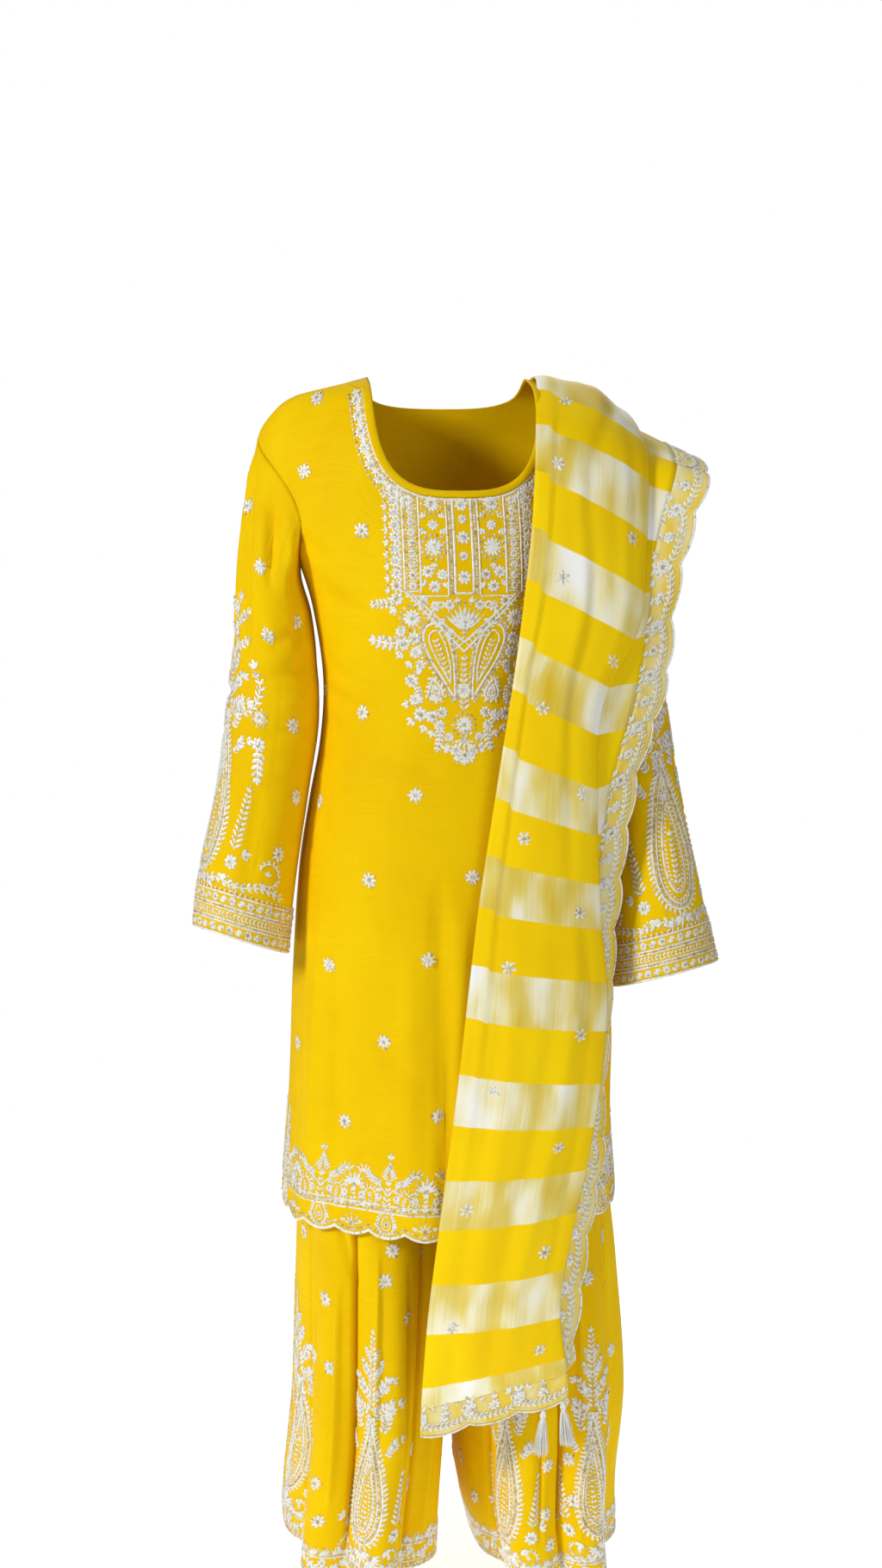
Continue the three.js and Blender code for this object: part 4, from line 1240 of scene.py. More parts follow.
@dataclass
class SleeveForm:
    """A sleeve's form, as if on the +X side: level sections, drawn to the armhole at the top."""

    table: Sections
    panels: tuple[BodyPanel, BodyPanel]
    unevenness: float = 0.6

    def armhole(self, angle: Array) -> Array:
        """The armhole edge at angles round the sleeve.

        Args:
            angle: angles round the sleeve.

        Returns:
            The points.
        """
        front, back = self.panels
        turn = np.radians(angle)
        z = (SHOULDER_Z + ARMPIT_Z) / 2 + (SHOULDER_Z - ARMPIT_Z) / 2 * np.sin(turn)
        body = np.where(np.cos(turn) >= 0, front.armhole_turn(z), 180 - back.armhole_turn(z))
        points = front.form.point(body, z)
        points[..., 0] += ARMHOLE_GAP
        return points

    def section(self, angle: Array, z: Array, push: Array | float = 0.0) -> Array:
        """Points of the level section.

        Args:
            angle: angles round the sleeve.
            z: heights.
            push: how far it is pushed out.

        Returns:
            The points.
        """
        sine, cosine = np.sin(np.radians(angle)), np.cos(np.radians(angle))
        outer, inner = self.table.read("outer", z), self.table.read("inner", z)
        x = (outer + inner) / 2 + ((outer - inner) / 2 + push) * sine
        y = self.table.read("middle", z) - (self.table.read("depth", z) + push) * cosine
        return stack(x, y, z + 0 * sine)

    def point(self, angle: Array, z: Array, lift: Array | float = 0.0) -> Array:
        """Points of the form.

        Args:
            angle: angles round the sleeve.
            z: heights.
            lift: how far outside the form, measured level.

        Returns:
            The points.
        """
        top = self.armhole(angle)
        reach = np.clip(1 - (top[..., 2] - z) / CAP_REACH, 0, 1.1)
        calm = smoothstep(top[..., 2] - z, 0, 40)
        waves = ripple(angle, z, SLEEVE_DEGREE, self.unevenness, SLEEVE_WAVES)
        join = smoothstep(np.abs(turned(angle, 180)), 165, 180)
        push = calm * (crease_push(SLEEVE_CREASES, angle, z, SLEEVE_DEGREE) + waves * (1 - join))
        inside = np.exp(-((turned(angle, 270) / 50) ** 2))
        push = push * (1 - 0.9 * inside) + lift
        shift = top - self.section(angle, top[..., 2])
        return self.section(angle, z, push) + shift * (reach**2)[..., None]


@dataclass
class Sleeve:
    """A long sleeve with an embroidered band round its slanting cuff.

    Attributes:
        side: left or right.
        table: the sleeve's sections.
        cuff: height of the cuff's edge.
        tilt: how much higher the edge is outside.
        rise: how much higher the edge is in front.
        panels: the body panels that it is sewn to.
        flat: width all round and length of the cut cloth, in metres; not used.
        area: area of the cut cloth, in square metres; not used.
        around: steps round it.
        down: steps down to the cuff band.
        band_down: steps down the cuff band.
        band_end: where the band ends, just short of the sleeve's edge at 2.
    """

    side: Side
    table: Sections
    cuff: float
    tilt: float
    rise: float
    panels: tuple[BodyPanel, BodyPanel]
    flat: Pair = (0.40, 0.56)
    area: float = 0.185
    around: int = 66
    down: int = 88
    band_down: int = 8
    band_end: float = 1.985

    def __post_init__(self) -> None:
        """Sets the sleeve's form."""
        self.form = SleeveForm(self.table, self.panels)

    def cuff_height(self, angle: Array) -> Array:
        """Height of the cuff's edge at angles round the sleeve."""
        turn = np.radians(angle)
        return self.cuff + self.tilt * np.sin(turn) + self.rise * np.cos(turn)

    def grid(self, start: float, end: float, rows: int, lift: float = 0.0) -> Array:
        """Points from one share of the way down to another; 1 is the top of the cuff band and 2 its edge.

        Args:
            start: the first share.
            end: the last share.
            rows: steps between them.
            lift: how far outside the form, measured level.

        Returns:
            The points.
        """
        angles = np.arange(self.around) * 360 / self.around
        angle, share = np.meshgrid(angles, np.linspace(start, end, rows + 1))
        top = self.form.armhole(angle)[..., 2]
        band = self.cuff_height(angle) + CUFF_BAND
        z = np.where(share <= 1, lerp(top, band, share), band - CUFF_BAND * (share - 1))
        points = self.form.point(angle, z, lift)
        points[..., 0] *= self.side.value
        return points

    def build(self, silk: Material, band: Material) -> list[Piece]:
        """Makes the sleeve and its cuff band and gives them their finishes.

        Args:
            silk: the sleeve's material.
            band: the cuff band's material.

        Returns:
            The sleeve and its band.
        """
        body = np.concatenate([self.grid(0, 1, self.down), self.grid(1, 2, self.band_down)[1:]])
        sleeve = cloth_shell(f"cloth_sleeve_{self.side.word}", body, cloth_places(body), SILK_WALL, wrap=True)
        dress(sleeve, silk, Slot.KURTA, [f"kurta_sleeve_{self.side.word}"])
        cuff = self.grid(1, self.band_end, self.band_down, BAND_LIFT)
        name = f"woven_cuff_band_{self.side.word}"
        made = cloth_shell(name, cuff, cloth_places(cuff), TRIM_WALL, wrap=True)
        dress(made, band, Slot.TRIM, [f"cuff_band_{self.side.word}"])
        return [sleeve, made]


# ---------------------------------------------------------------- sharara

LEG_COLUMNS = ("z", "outer", "inner", "front", "back")
UPPER_LEG = (
    (-364, 128, -128, 98, 78),
    (-391, 130, -130, 100, 80),
    (-462, 146, -138, 104, 84),
    (-537, 165, -112, 102, 84),
    (-592, 167.5, -58, 100, 84),
    (-632, 168, 0.15, 100, 84),
    (-692, 168, 1, 104, 88),
)
LEFT_LEG = Sections(
    LEG_COLUMNS,
    UPPER_LEG
    + (
        (-917, 175, 2, 124, 110),
        (-1001, 178, 3, 137, 126),
        (-1162, 184, 9, 152, 142),
        (-1272, 195, 19, 161, 152),
        (-1342, 200, 24, 166, 159),
    ),
)
RIGHT_LEG = Sections(
    LEG_COLUMNS,
    UPPER_LEG
    + (
        (-917, 186, 2, 121, 98),
        (-1001, 193, 3, 136, 118),
        (-1162, 201, 4, 152, 142),
        (-1272, 191, 9, 161, 152),
        (-1342, 191, 24, 166, 159),
    ),
)
LEFT_FOLDS = rows_of(
    Fold,
    (-58, 10, 9, -892, -1342), (-34, 10, -17, -752, -1322), (-8, 13, 11, -812, -1322),
    (22, 9, -18, -752, -1292), (44, 9, 9, -792, -1292), (64, 8, -13, -812, -1312),
    (116, 9, -15, -752, -1322), (142, 11, 10, -812, -1322), (172, 10, -17, -752, -1322),
    (200, 11, 9, -812, -1322), (226, 9, -13, -812, -1322),
)
RIGHT_FOLDS = rows_of(
    Fold,
    (-52, 10, -13, -812, -1322), (-26, 12, 11, -812, -1322), (4, 10, -17, -752, -1322),
    (30, 11, 10, -792, -1312), (56, 9, -16, -752, -1292), (78, 8, 7, -812, -1242),
    (112, 10, -15, -752, -1322), (138, 11, 9, -812, -1322), (166, 10, -17, -752, -1322),
    (194, 12, 10, -812, -1322), (222, 9, -13, -812, -1322),
)
LEG_DEGREE = 2.6
LEFT_LEG_CREASES = rows_of(
    Crease,
    (-34, -880, -35, -1330, 4, -14.7), (22, -860, 22, -1300, 4, -16.7), (64, -900, 64, -1320, 4, -12.9),
    (-48, -930, -46, -1300, 5.6, 6.4), (-20, -960, -22, -1320, 4.8, -8.1), (4, -940, 6, -1240, 5.6, 5.7),
    (33, -980, 34, -1250, 4, 6.4), (52, -960, 54, -1300, 4, -7.3), (76, -1000, 76, -1300, 4.8, 5.7),
    (36, -900, 20, -990, 6.4, -5), (116, -880, 116, -1320, 4, -14.7), (130, -930, 130, -1300, 5.6, 6.4),
    (157, -960, 156, -1300, 4.8, -8.7), (172, -880, 172, -1320, 4, -14.7),
    (186, -960, 187, -1280, 5.6, 6.4), (226, -900, 226, -1320, 4, -11.1),
)
RIGHT_LEG_CREASES = rows_of(
    Crease,
    (-52, -900, -52, -1330, 4, -12.9), (4, -880, 4, -1330, 4, -15.4), (56, -880, 57, -1320, 4, -15.4),
    (-38, -960, -38, -1300, 4.8, 5.7), (-12, -960, -12, -1290, 4.8, -8.1), (17, -980, 18, -1300, 4.8, 6.4),
    (42, -940, 44, -1310, 4.8, -8.1), (68, -960, 68, -1260, 4.8, 5.7), (112, -880, 112, -1320, 4, -14.7),
    (126, -940, 126, -1300, 5.6, 6.4), (152, -960, 151, -1310, 4.8, -8.7),
    (166, -880, 166, -1320, 4, -14.7), (180, -960, 181, -1280, 5.6, 6.4), (222, -900, 222, -1320, 4, -11.1),
)


@dataclass
class LegForm:
    """The form of one flared leg, as if on the +X side."""

    table: Sections
    folds: tuple[Fold, ...]
    creases: tuple[Crease, ...]
    seed: int
    unevenness: float = 0.8

    def point(self, angle: Array, z: Array, lift: Array | float = 0.0) -> Array:
        """Points of the form.

        Args:
            angle: angles round the leg.
            z: heights.
            lift: how far outside the form, measured level.

        Returns:
            The points.
        """
        sine, cosine = np.sin(np.radians(angle)), np.cos(np.radians(angle))
        outer, inner = self.table.read("outer", z), self.table.read("inner", z)
        depth = np.where(cosine >= 0, self.table.read("front", z), self.table.read("back", z))
        calm = (1 - np.abs(sine) ** 8) * smoothstep(-z, 700, 860)
        push = fold_push(self.folds, angle, z) + calm * crease_push(self.creases, angle, z, LEG_DEGREE)
        push = push + calm * ripple(angle, z, LEG_DEGREE, self.unevenness, self.seed) + lift
        y = -np.sign(cosine) * depth * swell(sine, LEG_ROUND)
        x = (outer + inner) / 2 + ((outer - inner) / 2 + push) * sine
        return stack(x, y - push * cosine, z + 0 * sine)

    def seam_angle(self, z: Array) -> Array:
        """Angle at which the section meets the centre seam, or -90 below the crotch."""
        outer, inner = self.table.read("outer", z), self.table.read("inner", z)
        return np.degrees(np.arcsin(np.clip((SEAM - outer - inner) / (outer - inner), -1, 1)))


@dataclass
class Leg:
    """One leg of the sharara, in a front and a back panel.

    Attributes:
        side: left or right.
        form: the leg's form.
        hem: height of the hem.
        lift: how much higher the hem is at the outer side.
        flat: width and length of one panel's cut cloth, in metres; not used.
        area: area of one panel's cut cloth, in square metres; not used.
        across: steps across one panel.
        pitch: height of a step down.
    """

    side: Side
    form: LegForm
    hem: float
    lift: float
    flat: Pair = (0.40, 0.95)
    area: float = 0.30
    across: int = 152
    pitch: float = 8

    def skin(self, face: Face, turn: Array, z: Array, least: float) -> Array:
        """Points of one panel.

        Args:
            face: front or back panel.
            turn: angles from the panel's middle.
            z: heights before the hem is lifted at the outer side.
            least: how far the points stay from the middle of the body.

        Returns:
            The points.
        """
        low = np.clip((LOWEST_LEVEL_Z - z) / (LOWEST_LEVEL_Z - self.hem), 0, 1)
        z = z + low * self.lift * np.maximum(0, np.sin(np.radians(turn))) ** 2
        points = self.form.point(turn if face is Face.FRONT else 180 - turn, z)
        points[..., 0] = self.side.value * np.maximum(points[..., 0], least)
        return points

    def panel_grid(self, face: Face) -> Array:
        """Points of one panel, row by row.

        Args:
            face: front or back panel.

        Returns:
            The points.
        """
        level = np.linspace(SHARARA_TOP_Z, self.hem, spaced(SHARARA_TOP_Z - self.hem, self.pitch) + 1)
        share, z = np.meshgrid(np.linspace(0, 1, self.across + 1), level)
        turn = lerp(self.form.seam_angle(z), 90, share)
        points = self.skin(face, turn, z, SEAM / 2)
        points[..., 1] += face.value * (SEAM / 3) * (np.abs(turn) > SEAM_TURN)
        return points

    def build(self, finish: Material) -> list[Piece]:
        """Makes both panels and gives them their finish.

        Args:
            finish: the cloth's material.

        Returns:
            The front and the back panel.
        """
        panels = []
        for face in Face:
            grid = self.panel_grid(face)
            word = f"sharara_{face.word}_{self.side.word}"
            made = cloth_shell(f"cloth_{word}", grid, cloth_places(grid), SILK_WALL)
            dress(made, finish, Slot.SHARARA, [word])
            panels.append(made)
        return panels


@dataclass
class Waistband:
    """The sharara's waistband, hidden under the kurta, softly gathered on its elastic."""

    top: float = SHARARA_TOP_Z + SEAM + WAISTBAND
    base: float = SHARARA_TOP_Z + SEAM
    gathers: int = 46
    depth: float = 0.7

    def build(self, finish: Material) -> Piece:
        """Makes the waistband and gives it its finish.

        Args:
            finish: the cloth's material.

        Returns:
            The waistband.
        """
        form = LegForm(Sections(LEG_COLUMNS, UPPER_LEG[:2]), (), (), WAIST_WAVES)
        angle, z = np.meshgrid(np.arange(180) * 2.0, np.linspace(self.top, self.base, 9))
        grid = form.point(angle, z, self.depth * (np.sin(np.radians(angle * self.gathers)) - 1))
        made = cloth_shell("gathered_waistband", grid, cloth_places(grid), SILK_WALL, wrap=True)
        dress(made, finish, Slot.SHARARA, ["sharara_waistband"])
        return made


# ---------------------------------------------------------------- dupatta


class Row(NamedTuple):
    """Where the dupatta lies: inner edge, outer fold of the top layer, scalloped edge, bow and swelling."""

    inner: Triple
    fold: Triple
    edge: Triple
    bow: float
    puff: float


DUPATTA = rows_of(
    Row,
    ((-56, -178, -1140), (104, -182, -1104), (116, -178, -1094), 0, 0),
    ((-54, -177, -1097), (104, -180, -1066), (116, -175, -1056), 0, 2),
    ((-46, -172, -1002), (97, -172, -994), (126, -162, -997), 2, 8),
    ((-34, -168, -909), (115, -163, -898), (140, -150, -907), 3, 10),
    ((-25, -165, -842), (128, -157, -842), (154, -143, -838), 3, 10),
    ((-13, -161, -755), (140, -151, -772), (154, -137, -767), 4, 9),
    ((0, -157, -644), (150, -145, -666), (162, -132, -666), 4, 8),
    ((12, -150, -552), (144, -139, -576), (170, -128, -570), 3, 7),
    ((34, -141, -416), (140, -133, -450), (190, -122, -430), 2, 6),
    ((50, -136, -317), (145, -129, -350), (222, -115, -332), 2, 5),
    ((62, -132, -228), (186, -119, -266), (232, -111, -244), 5, 4),
    ((73, -115, -142), (198, -100, -182), (248, -103, -180), 5, 3),
    ((80, -88, -72), (207, -70, -106), (272, -86, -116), 8, 2),
    ((87, -52, -34), (210, -37, -78), (280, -56, -101), 11, 1),
    ((94, -16, -8), (209, -6, -58), (280, -22, -90), 12, 0),
    ((96, 16, 0), (208, 28, -50), (277, 18, -86), 13, 0),
    ((95, 48, -8), (206, 60, -60), (270, 54, -96), 12, 0),
    ((90, 82, -44), (202, 90, -92), (260, 88, -124), 9, 1),
    ((84, 108, -122), (197, 102, -166), (249, 99, -188), 6, 3),
    ((78, 117, -222), (190, 107, -262), (238, 105, -277), 5, 5),
    ((70, 123, -392), (180, 115, -422), (222, 111, -432), 3, 6),
    ((62, 135, -592), (168, 127, -614), (204, 121, -620), 3, 8),
    ((54, 143, -792), (158, 136, -810), (190, 130, -814), 3, 9),
    ((46, 154, -992), (150, 147, -1004), (180, 141, -1006), 2, 8),
    ((40, 165, -1192), (144, 160, -1198), (172, 156, -1198), 0, 0),
)
LAST_ROW = len(DUPATTA) - 1


def scallop_dip(count: Array) -> Array:
    """How far a scalloped rim dips in after a count of scallops: most at the cusps."""
    return SCALLOP_DEPTH * (1 - np.abs(np.sin(np.pi * count)) ** SCALLOP_ROUND)


def border_wave(out: Array, length: Array) -> Array:
    """Waviness of an organza border at shares out from its seam and lengths along it."""
    return BORDER_WAVE * out * np.sin(length / BORDER_WAVE_RUN)


class Place(NamedTuple):
    """A place of the folded section: share across the top layer, height over what is below, and swelling."""

    across: float
    lift: float
    puff: float


FOLDED = rows_of(
    Place,
    (0.5, 1, 0), (0.26, 1, 0), (0.03, 1.2, 0), (0, 2.9, 0), (0.03, 4.6, 0), (0.2, 5.4, 0.6), (0.4, 6.6, 1),
    (0.6, 7.4, 1), (0.8, 7.6, 0.6), (0.97, 7.6, 0), (1, 5.9, 0), (0.97, 4.2, 0), (0.64, 4.2, 0),
    (0.61, 2.6, 0), (0.64, 1, 0),
)
SECTION_STEPS = (8, 8, 2, 2, 7, 7, 7, 7, 6, 2, 2, 9, 2, 2, 5, 5)
TOP_FIRST, TOP_LAST = 4, 9


class LongFold(NamedTuple):
    """A soft fold along the dupatta's top layer, by share across and between two rows."""

    across: float
    to_across: float
    width: float
    height: float
    start: float
    end: float


LONG_FOLDS = rows_of(
    LongFold,
    (0.10, 0.12, 4, 1.6, 2, 13.5), (0.145, 0.16, 3, -1.4, 3, 13.2), (0.34, 0.30, 9, 1.8, 1, 7.5),
    (0.44, 0.62, 9, -2.2, 0.3, 6.8), (0.60, 0.82, 8, 2.2, 0.6, 8.6), (0.80, 0.46, 9, -2.4, 6.6, 11.4),
    (0.62, 0.30, 8, 2.2, 8.2, 12), (0.88, 0.72, 8, 1.8, 8.6, 12.6), (0.36, 0.74, 10, -2, 10.4, 14.6),
    (0.52, 0.60, 10, 2, 12.4, 17.5), (0.28, 0.26, 9, -1.8, 13.5, 18.5), (0.78, 0.80, 9, -1.8, 13.5, 19),
    (0.30, 0.36, 9, 2.2, 17.5, 23.5), (0.50, 0.52, 9, -2.4, 16.8, 23.8), (0.72, 0.66, 9, 2.2, 18, 23.6),
    (0.86, 0.88, 6, -1.8, 19, 23.8), (0.90, 0.86, 6, -2, 1, 7), (0.20, 0.22, 8, -1.6, 0.6, 6.5),
)


@dataclass
class DupattaForm:
    """The dupatta's base surface, and its section as folded: a hidden layer, the top layer and the edge.

    Attributes:
        length_steps: places at which the lengths of the edges are measured.
        across_reach: distance to each side over which the base's direction across is taken.
        along_reach: rows to each side over which its direction along is taken.
    """

    length_steps: int = 4000
    across_reach: float = 6
    along_reach: float = 0.15

    def __post_init__(self) -> None:
        """Reads the rows into lines and measures the inner and the scalloped edge."""
        columns = {name: np.array([getattr(row, name) for row in DUPATTA], float) for name in Row._fields}
        self.lines = {name: columns[name] for name in ("inner", "fold", "edge")}
        self.sizes = {name: columns[name] for name in ("bow", "puff")}
        self.s = np.linspace(0, LAST_ROW, self.length_steps + 1)
        self.lengths = {}
        for name in ("inner", "edge"):
            steps = np.linalg.norm(np.diff(self.line(name, self.s), axis=0), axis=-1)
            self.lengths[name] = np.concatenate([[0], steps.cumsum()])

    def line(self, name: str, s: Array) -> Array:
        """Points of a named line at rows s, smooth through every row.

        Args:
            name: inner, fold or edge.
            s: rows.

        Returns:
            The points.
        """
        own = self.lines[name]
        points = np.concatenate([[2 * own[0] - own[1]], own, [2 * own[-1] - own[-2]]])
        s = np.asarray(s, float)
        i = np.clip(np.floor(s), 0, LAST_ROW - 1).astype(int)
        t = (s - i)[..., None]
        before, a, b, after = (points[i + k] for k in range(4))
        return cubic(a, b - a, (b - before) / 2, (after - a) / 2, t)

    def size(self, name: str, s: Array) -> Array:
        """Bow or swelling at rows s."""
        return np.interp(s, np.arange(LAST_ROW + 1), self.sizes[name])

    def down(self, s: Array, name: str = "inner") -> Array:
        """Length along a line from the front end to rows s."""
        return np.interp(s, self.s, self.lengths[name])

    def row(self, length: Array, name: str = "inner") -> Array:
        """Rows at lengths along a line from the front end."""
        return np.interp(length, self.lengths[name], self.s)

    def from_end(self, length: float) -> float:
        """Row at a length from the back end."""
        return float(self.row(self.lengths["inner"][-1] - length))

    def widths(self, s: Array) -> tuple[Array, Array]:
        """Width of the top layer, and out to the scalloped edge, at rows s.

        Args:
            s: rows.

        Returns:
            The two widths.
        """
        inner, fold, edge = (self.line(name, s) for name in ("inner", "fold", "edge"))
        top = np.linalg.norm(fold - inner, axis=-1)
        return top, top + np.linalg.norm(edge - fold, axis=-1)

    def flat(self, w: Array, s: Array) -> Array:
        """Points of the base before it bows, at distances w from the inner edge.

        Args:
            w: distances across from the inner edge.
            s: rows.

        Returns:
            The points.
        """
        inner, fold, edge = (self.line(name, s) for name in ("inner", "fold", "edge"))
        top = np.linalg.norm(fold - inner, axis=-1)
        within, beyond = unit(fold - inner), unit(edge - fold)
        on_top, past = inner + w[..., None] * within, fold + (w - top)[..., None] * beyond
        return np.where((w <= top)[..., None], on_top, past)

    def point(self, w: Array, s: Array, lift: Array | float) -> Array:
        """Points at a lift over the base.

        Args:
            w: distances across from the inner edge.
            s: rows.
            lift: heights over the base.

        Returns:
            The points.
        """
        w, s = np.broadcast_arrays(np.asarray(w, float), np.asarray(s, float))
        across = self.flat(w + self.across_reach, s) - self.flat(w - self.across_reach, s)
        along = self.flat(w, s + self.along_reach) - self.flat(w, s - self.along_reach)
        share = np.clip(w / self.widths(s)[0], 0, 1)
        raised = lift + self.size("bow", s) * np.sin(np.pi * share)
        return self.flat(w, s) + unit(np.cross(across, along)) * np.asarray(raised)[..., None]

    def long_folds(self, share: Array, s: Array) -> Array:
        """Height of the soft folds of the top layer at shares across and rows.

        Args:
            share: shares across.
            s: rows.

        Returns:
            The heights.
        """
        top = self.widths(s)[0]
        height = np.zeros(np.broadcast(share, s).shape)
        for one in LONG_FOLDS:
            t = np.clip((s - one.start) / (one.end - one.start), 0, 1)
            away = (share - lerp(one.across, one.to_across, t)) * top
            height = height + one.height * np.sin(np.pi * t) ** 0.7 * np.exp(-((away / one.width) ** 2))
        return height

    def top_lift(self, share: Array, s: Array) -> Array:
        """Lift of the top layer at shares across and rows.

        Args:
            share: shares across.
            s: rows.

        Returns:
            The lifts.
        """
        top = FOLDED[TOP_FIRST:TOP_LAST + 1]
        across = [place.across for place in top]
        lift = np.interp(share, across, [place.lift for place in top])
        puff = np.interp(share, across, [place.puff for place in top])
        calm = smoothstep(np.minimum(share, 1 - share), 0, 0.08)
        return lift + puff * self.size("puff", s) + calm * self.long_folds(share, s)

    def section(self, s: Array) -> tuple[Array, Array]:
        """The folded section at rows s.

        Args:
            s: rows, one for each section.

        Returns:
            Distances across and lifts, with one column for each point.
        """
        top, full = self.widths(s)
        puff = self.size("puff", s)
        places = [(place.across * top, place.lift + place.puff * puff) for place in FOLDED]
        end, turn_back = full - BORDER, FOLDED[-1].across * top
        places += [(lerp(turn_back, end, share), 1.0 + 0 * top) for share in (0.5, 1)]
        knots = np.array(places).transpose(2, 0, 1)
        spans = np.diff(knots, axis=1)
        size = np.linalg.norm(spans, axis=-1, keepdims=True)
        inner = (spans[:, :-1] / size[:, :-1] * size[:, 1:] + spans[:, 1:] / size[:, 1:] * size[:, :-1])
        inner = inner / (size[:, :-1] + size[:, 1:])
        slope = np.concatenate([spans[:, :1] / size[:, :1], inner, spans[:, -1:] / size[:, -1:]], axis=1)
        numbers, columns = [], []
        last = len(SECTION_STEPS) - 1
        for i, count in enumerate(SECTION_STEPS):
            stop = count + 1 if i == last else count
            for t in np.arange(stop) / count:
                start, finish = slope[:, i] * size[:, i], slope[:, i + 1] * size[:, i]
                columns.append(cubic(knots[:, i], spans[:, i], start, finish, t))
                numbers.append(i + t)
        made = np.stack(columns, axis=1)
        number = np.array(numbers)
        on_top = smoothstep(number, TOP_FIRST, TOP_FIRST + 0.6)
        on_top = on_top * (1 - smoothstep(number, TOP_LAST - 0.6, TOP_LAST))
        share = np.clip(made[..., 0] / top[:, None], 0, 1)
        lift = made[..., 1] + on_top * self.long_folds(share, s[:, None])
        return made[..., 0], lift


@dataclass
class Stretch:
    """One stretch of the dupatta, with the scalloped border beside it.

    Attributes:
        name: front, shoulder or back.
        start: its first row.
        end: its last row.
        flat: width and length of its cut cloth, in metres; not used.
        border_flat: the same for the border beside it; not used.
        rests_on: the pieces that hold it.
        slant: how far the woven bands slant over the shoulder.
        step: how far they step at the fold near the inner edge.
    """

    name: str
    start: float
    end: float
    flat: Pair
    border_flat: Pair
    rests_on: tuple[str, ...]
    slant: float = 0.2
    step: float = 7

    def rows(self, form: DupattaForm, pitch: float = GRID) -> Array:
        """Rows of the stretch, evenly spaced along the cloth.

        Args:
            form: the dupatta's form.
            pitch: spacing of the rows, in millimetres.

        Returns:
            The rows, with a lap at each end.
        """
        length = form.down(self.end) - form.down(self.start)
        down = np.linspace(form.down(self.start), form.down(self.end), spaced(length, pitch) + 1)
        lap = SEAM + LAP
        return form.row(np.concatenate([[down[0] - lap], down, [down[-1] + lap]]))

    def band_shift(self, w: Array, s: Array) -> Array:
        """How far the woven bands slant over the shoulder, and step at the fold near the inner edge.

        Args:
            w: distances across, one row for each section.
            s: rows, one for each section.

        Returns:
            The shift down the cloth.
        """
        slant = self.slant * smoothstep(s, 6, 11) * (1 - smoothstep(s, 14, 16))
        return slant[:, None] * w - self.step * (1 - smoothstep(w, 15, 17)) * smoothstep(s, 4, 8)[:, None]

    def build(self, form: DupattaForm, silk: Material) -> Piece:
        """Makes the stretch and gives it its finish.

        Args:
            form: the dupatta's form.
            silk: the banded silk.

        Returns:
            The stretch.
        """
        s = self.rows(form)
        w, lift = form.section(s)
        grid = form.point(w, s[:, None], lift)
        places = cloth_places(grid)
        places[..., 1] = form.down(s)[:, None]
        half = VEIL_WALL / 2 * grid_normals(grid, False)
        made = shell_between(f"cloth_dupatta_{self.name}", grid + half, grid - half, places, False)
        band = np.stack([w, places[..., 1] + self.band_shift(w, s), 0 * w], axis=-1).reshape(-1, 3)
        attribute = made.data.attributes.new("bands", "FLOAT_VECTOR", "POINT")
        attribute.data.foreach_set("vector", (np.concatenate([band] * 2) * MM).astype(np.float32).ravel())
        dress(made, silk, Slot.VEIL, [f"dupatta_{self.name}"])
        list(self.rests_on)
        return made

    def build_border(self, form: DupattaForm, organza: Material) -> Piece:
        """Makes the scalloped organza border beside the stretch.

        Args:
            form: the dupatta's form.
            organza: the border's material.

        Returns:
            The border.
        """
        s = self.rows(form, 3.5)
        rim = scallop_dip(form.down(s, "edge") / SCALLOP)
        full = form.widths(s)[1]
        share, row = np.meshgrid(np.linspace(0, 1, 9), s)
        w = lerp((full - BORDER + SEAM)[:, None], (full - rim)[:, None], share)
        down = form.down(row, "edge")
        grid = form.point(w, row, BORDER_LIFT + border_wave(share, down))
        places = np.stack([w, down], axis=-1)
        made = cloth_shell(f"organza_border_{self.name}", grid, places, TRIM_WALL)
        dress(made, organza, Slot.ORGANZA, [f"dupatta_border_{self.name}"])
        return made


@dataclass
class EndBorder:
    """The scalloped organza border across one end of the dupatta's top layer.

    Attributes:
        name: the border's name.
        front: whether it is on the front end.
        across: steps across it.
        deep: steps from its seam to its rim.
    """

    name: str
    front: bool
    across: int = 48
    deep: int = 9

    def seam_row(self, form: DupattaForm) -> float:
        """Row at which the border is sewn on."""
        return float(form.row(BORDER)) if self.front else form.from_end(BORDER)

    def grid(self, form: DupattaForm) -> Array:
        """Points of the border, from its seam to its rim.

        Args:
            form: the dupatta's form.

        Returns:
            The points.
        """
        tip = 0 if self.front else LAST_ROW
        lobes = round(float(form.widths(np.array(tip))[0]) / SCALLOP)
        out = np.concatenate([[-0.02], np.linspace(0, 1, self.deep)])
        share, out = np.meshgrid(np.linspace(0, 1, self.across + 1), out)
        s = lerp(self.seam_row(form), tip, out * (1 - scallop_dip(share * lobes) / BORDER))
        top = form.widths(s)[0]
        return form.point(share * top, s, form.top_lift(share, s))

    def build(self, form: DupattaForm, organza: Material) -> Piece:
        """Makes the border and gives it its finish.

        Args:
            form: the dupatta's form.
            organza: the border's material.

        Returns:
            The border.
        """
        grid = self.grid(form)
        made = cloth_shell(f"organza_{self.name}", grid, cloth_places(grid), TRIM_WALL)
        dress(made, organza, Slot.ORGANZA, [f"dupatta_{self.name}"])
        return made


# ---------------------------------------------------------------- embroidery


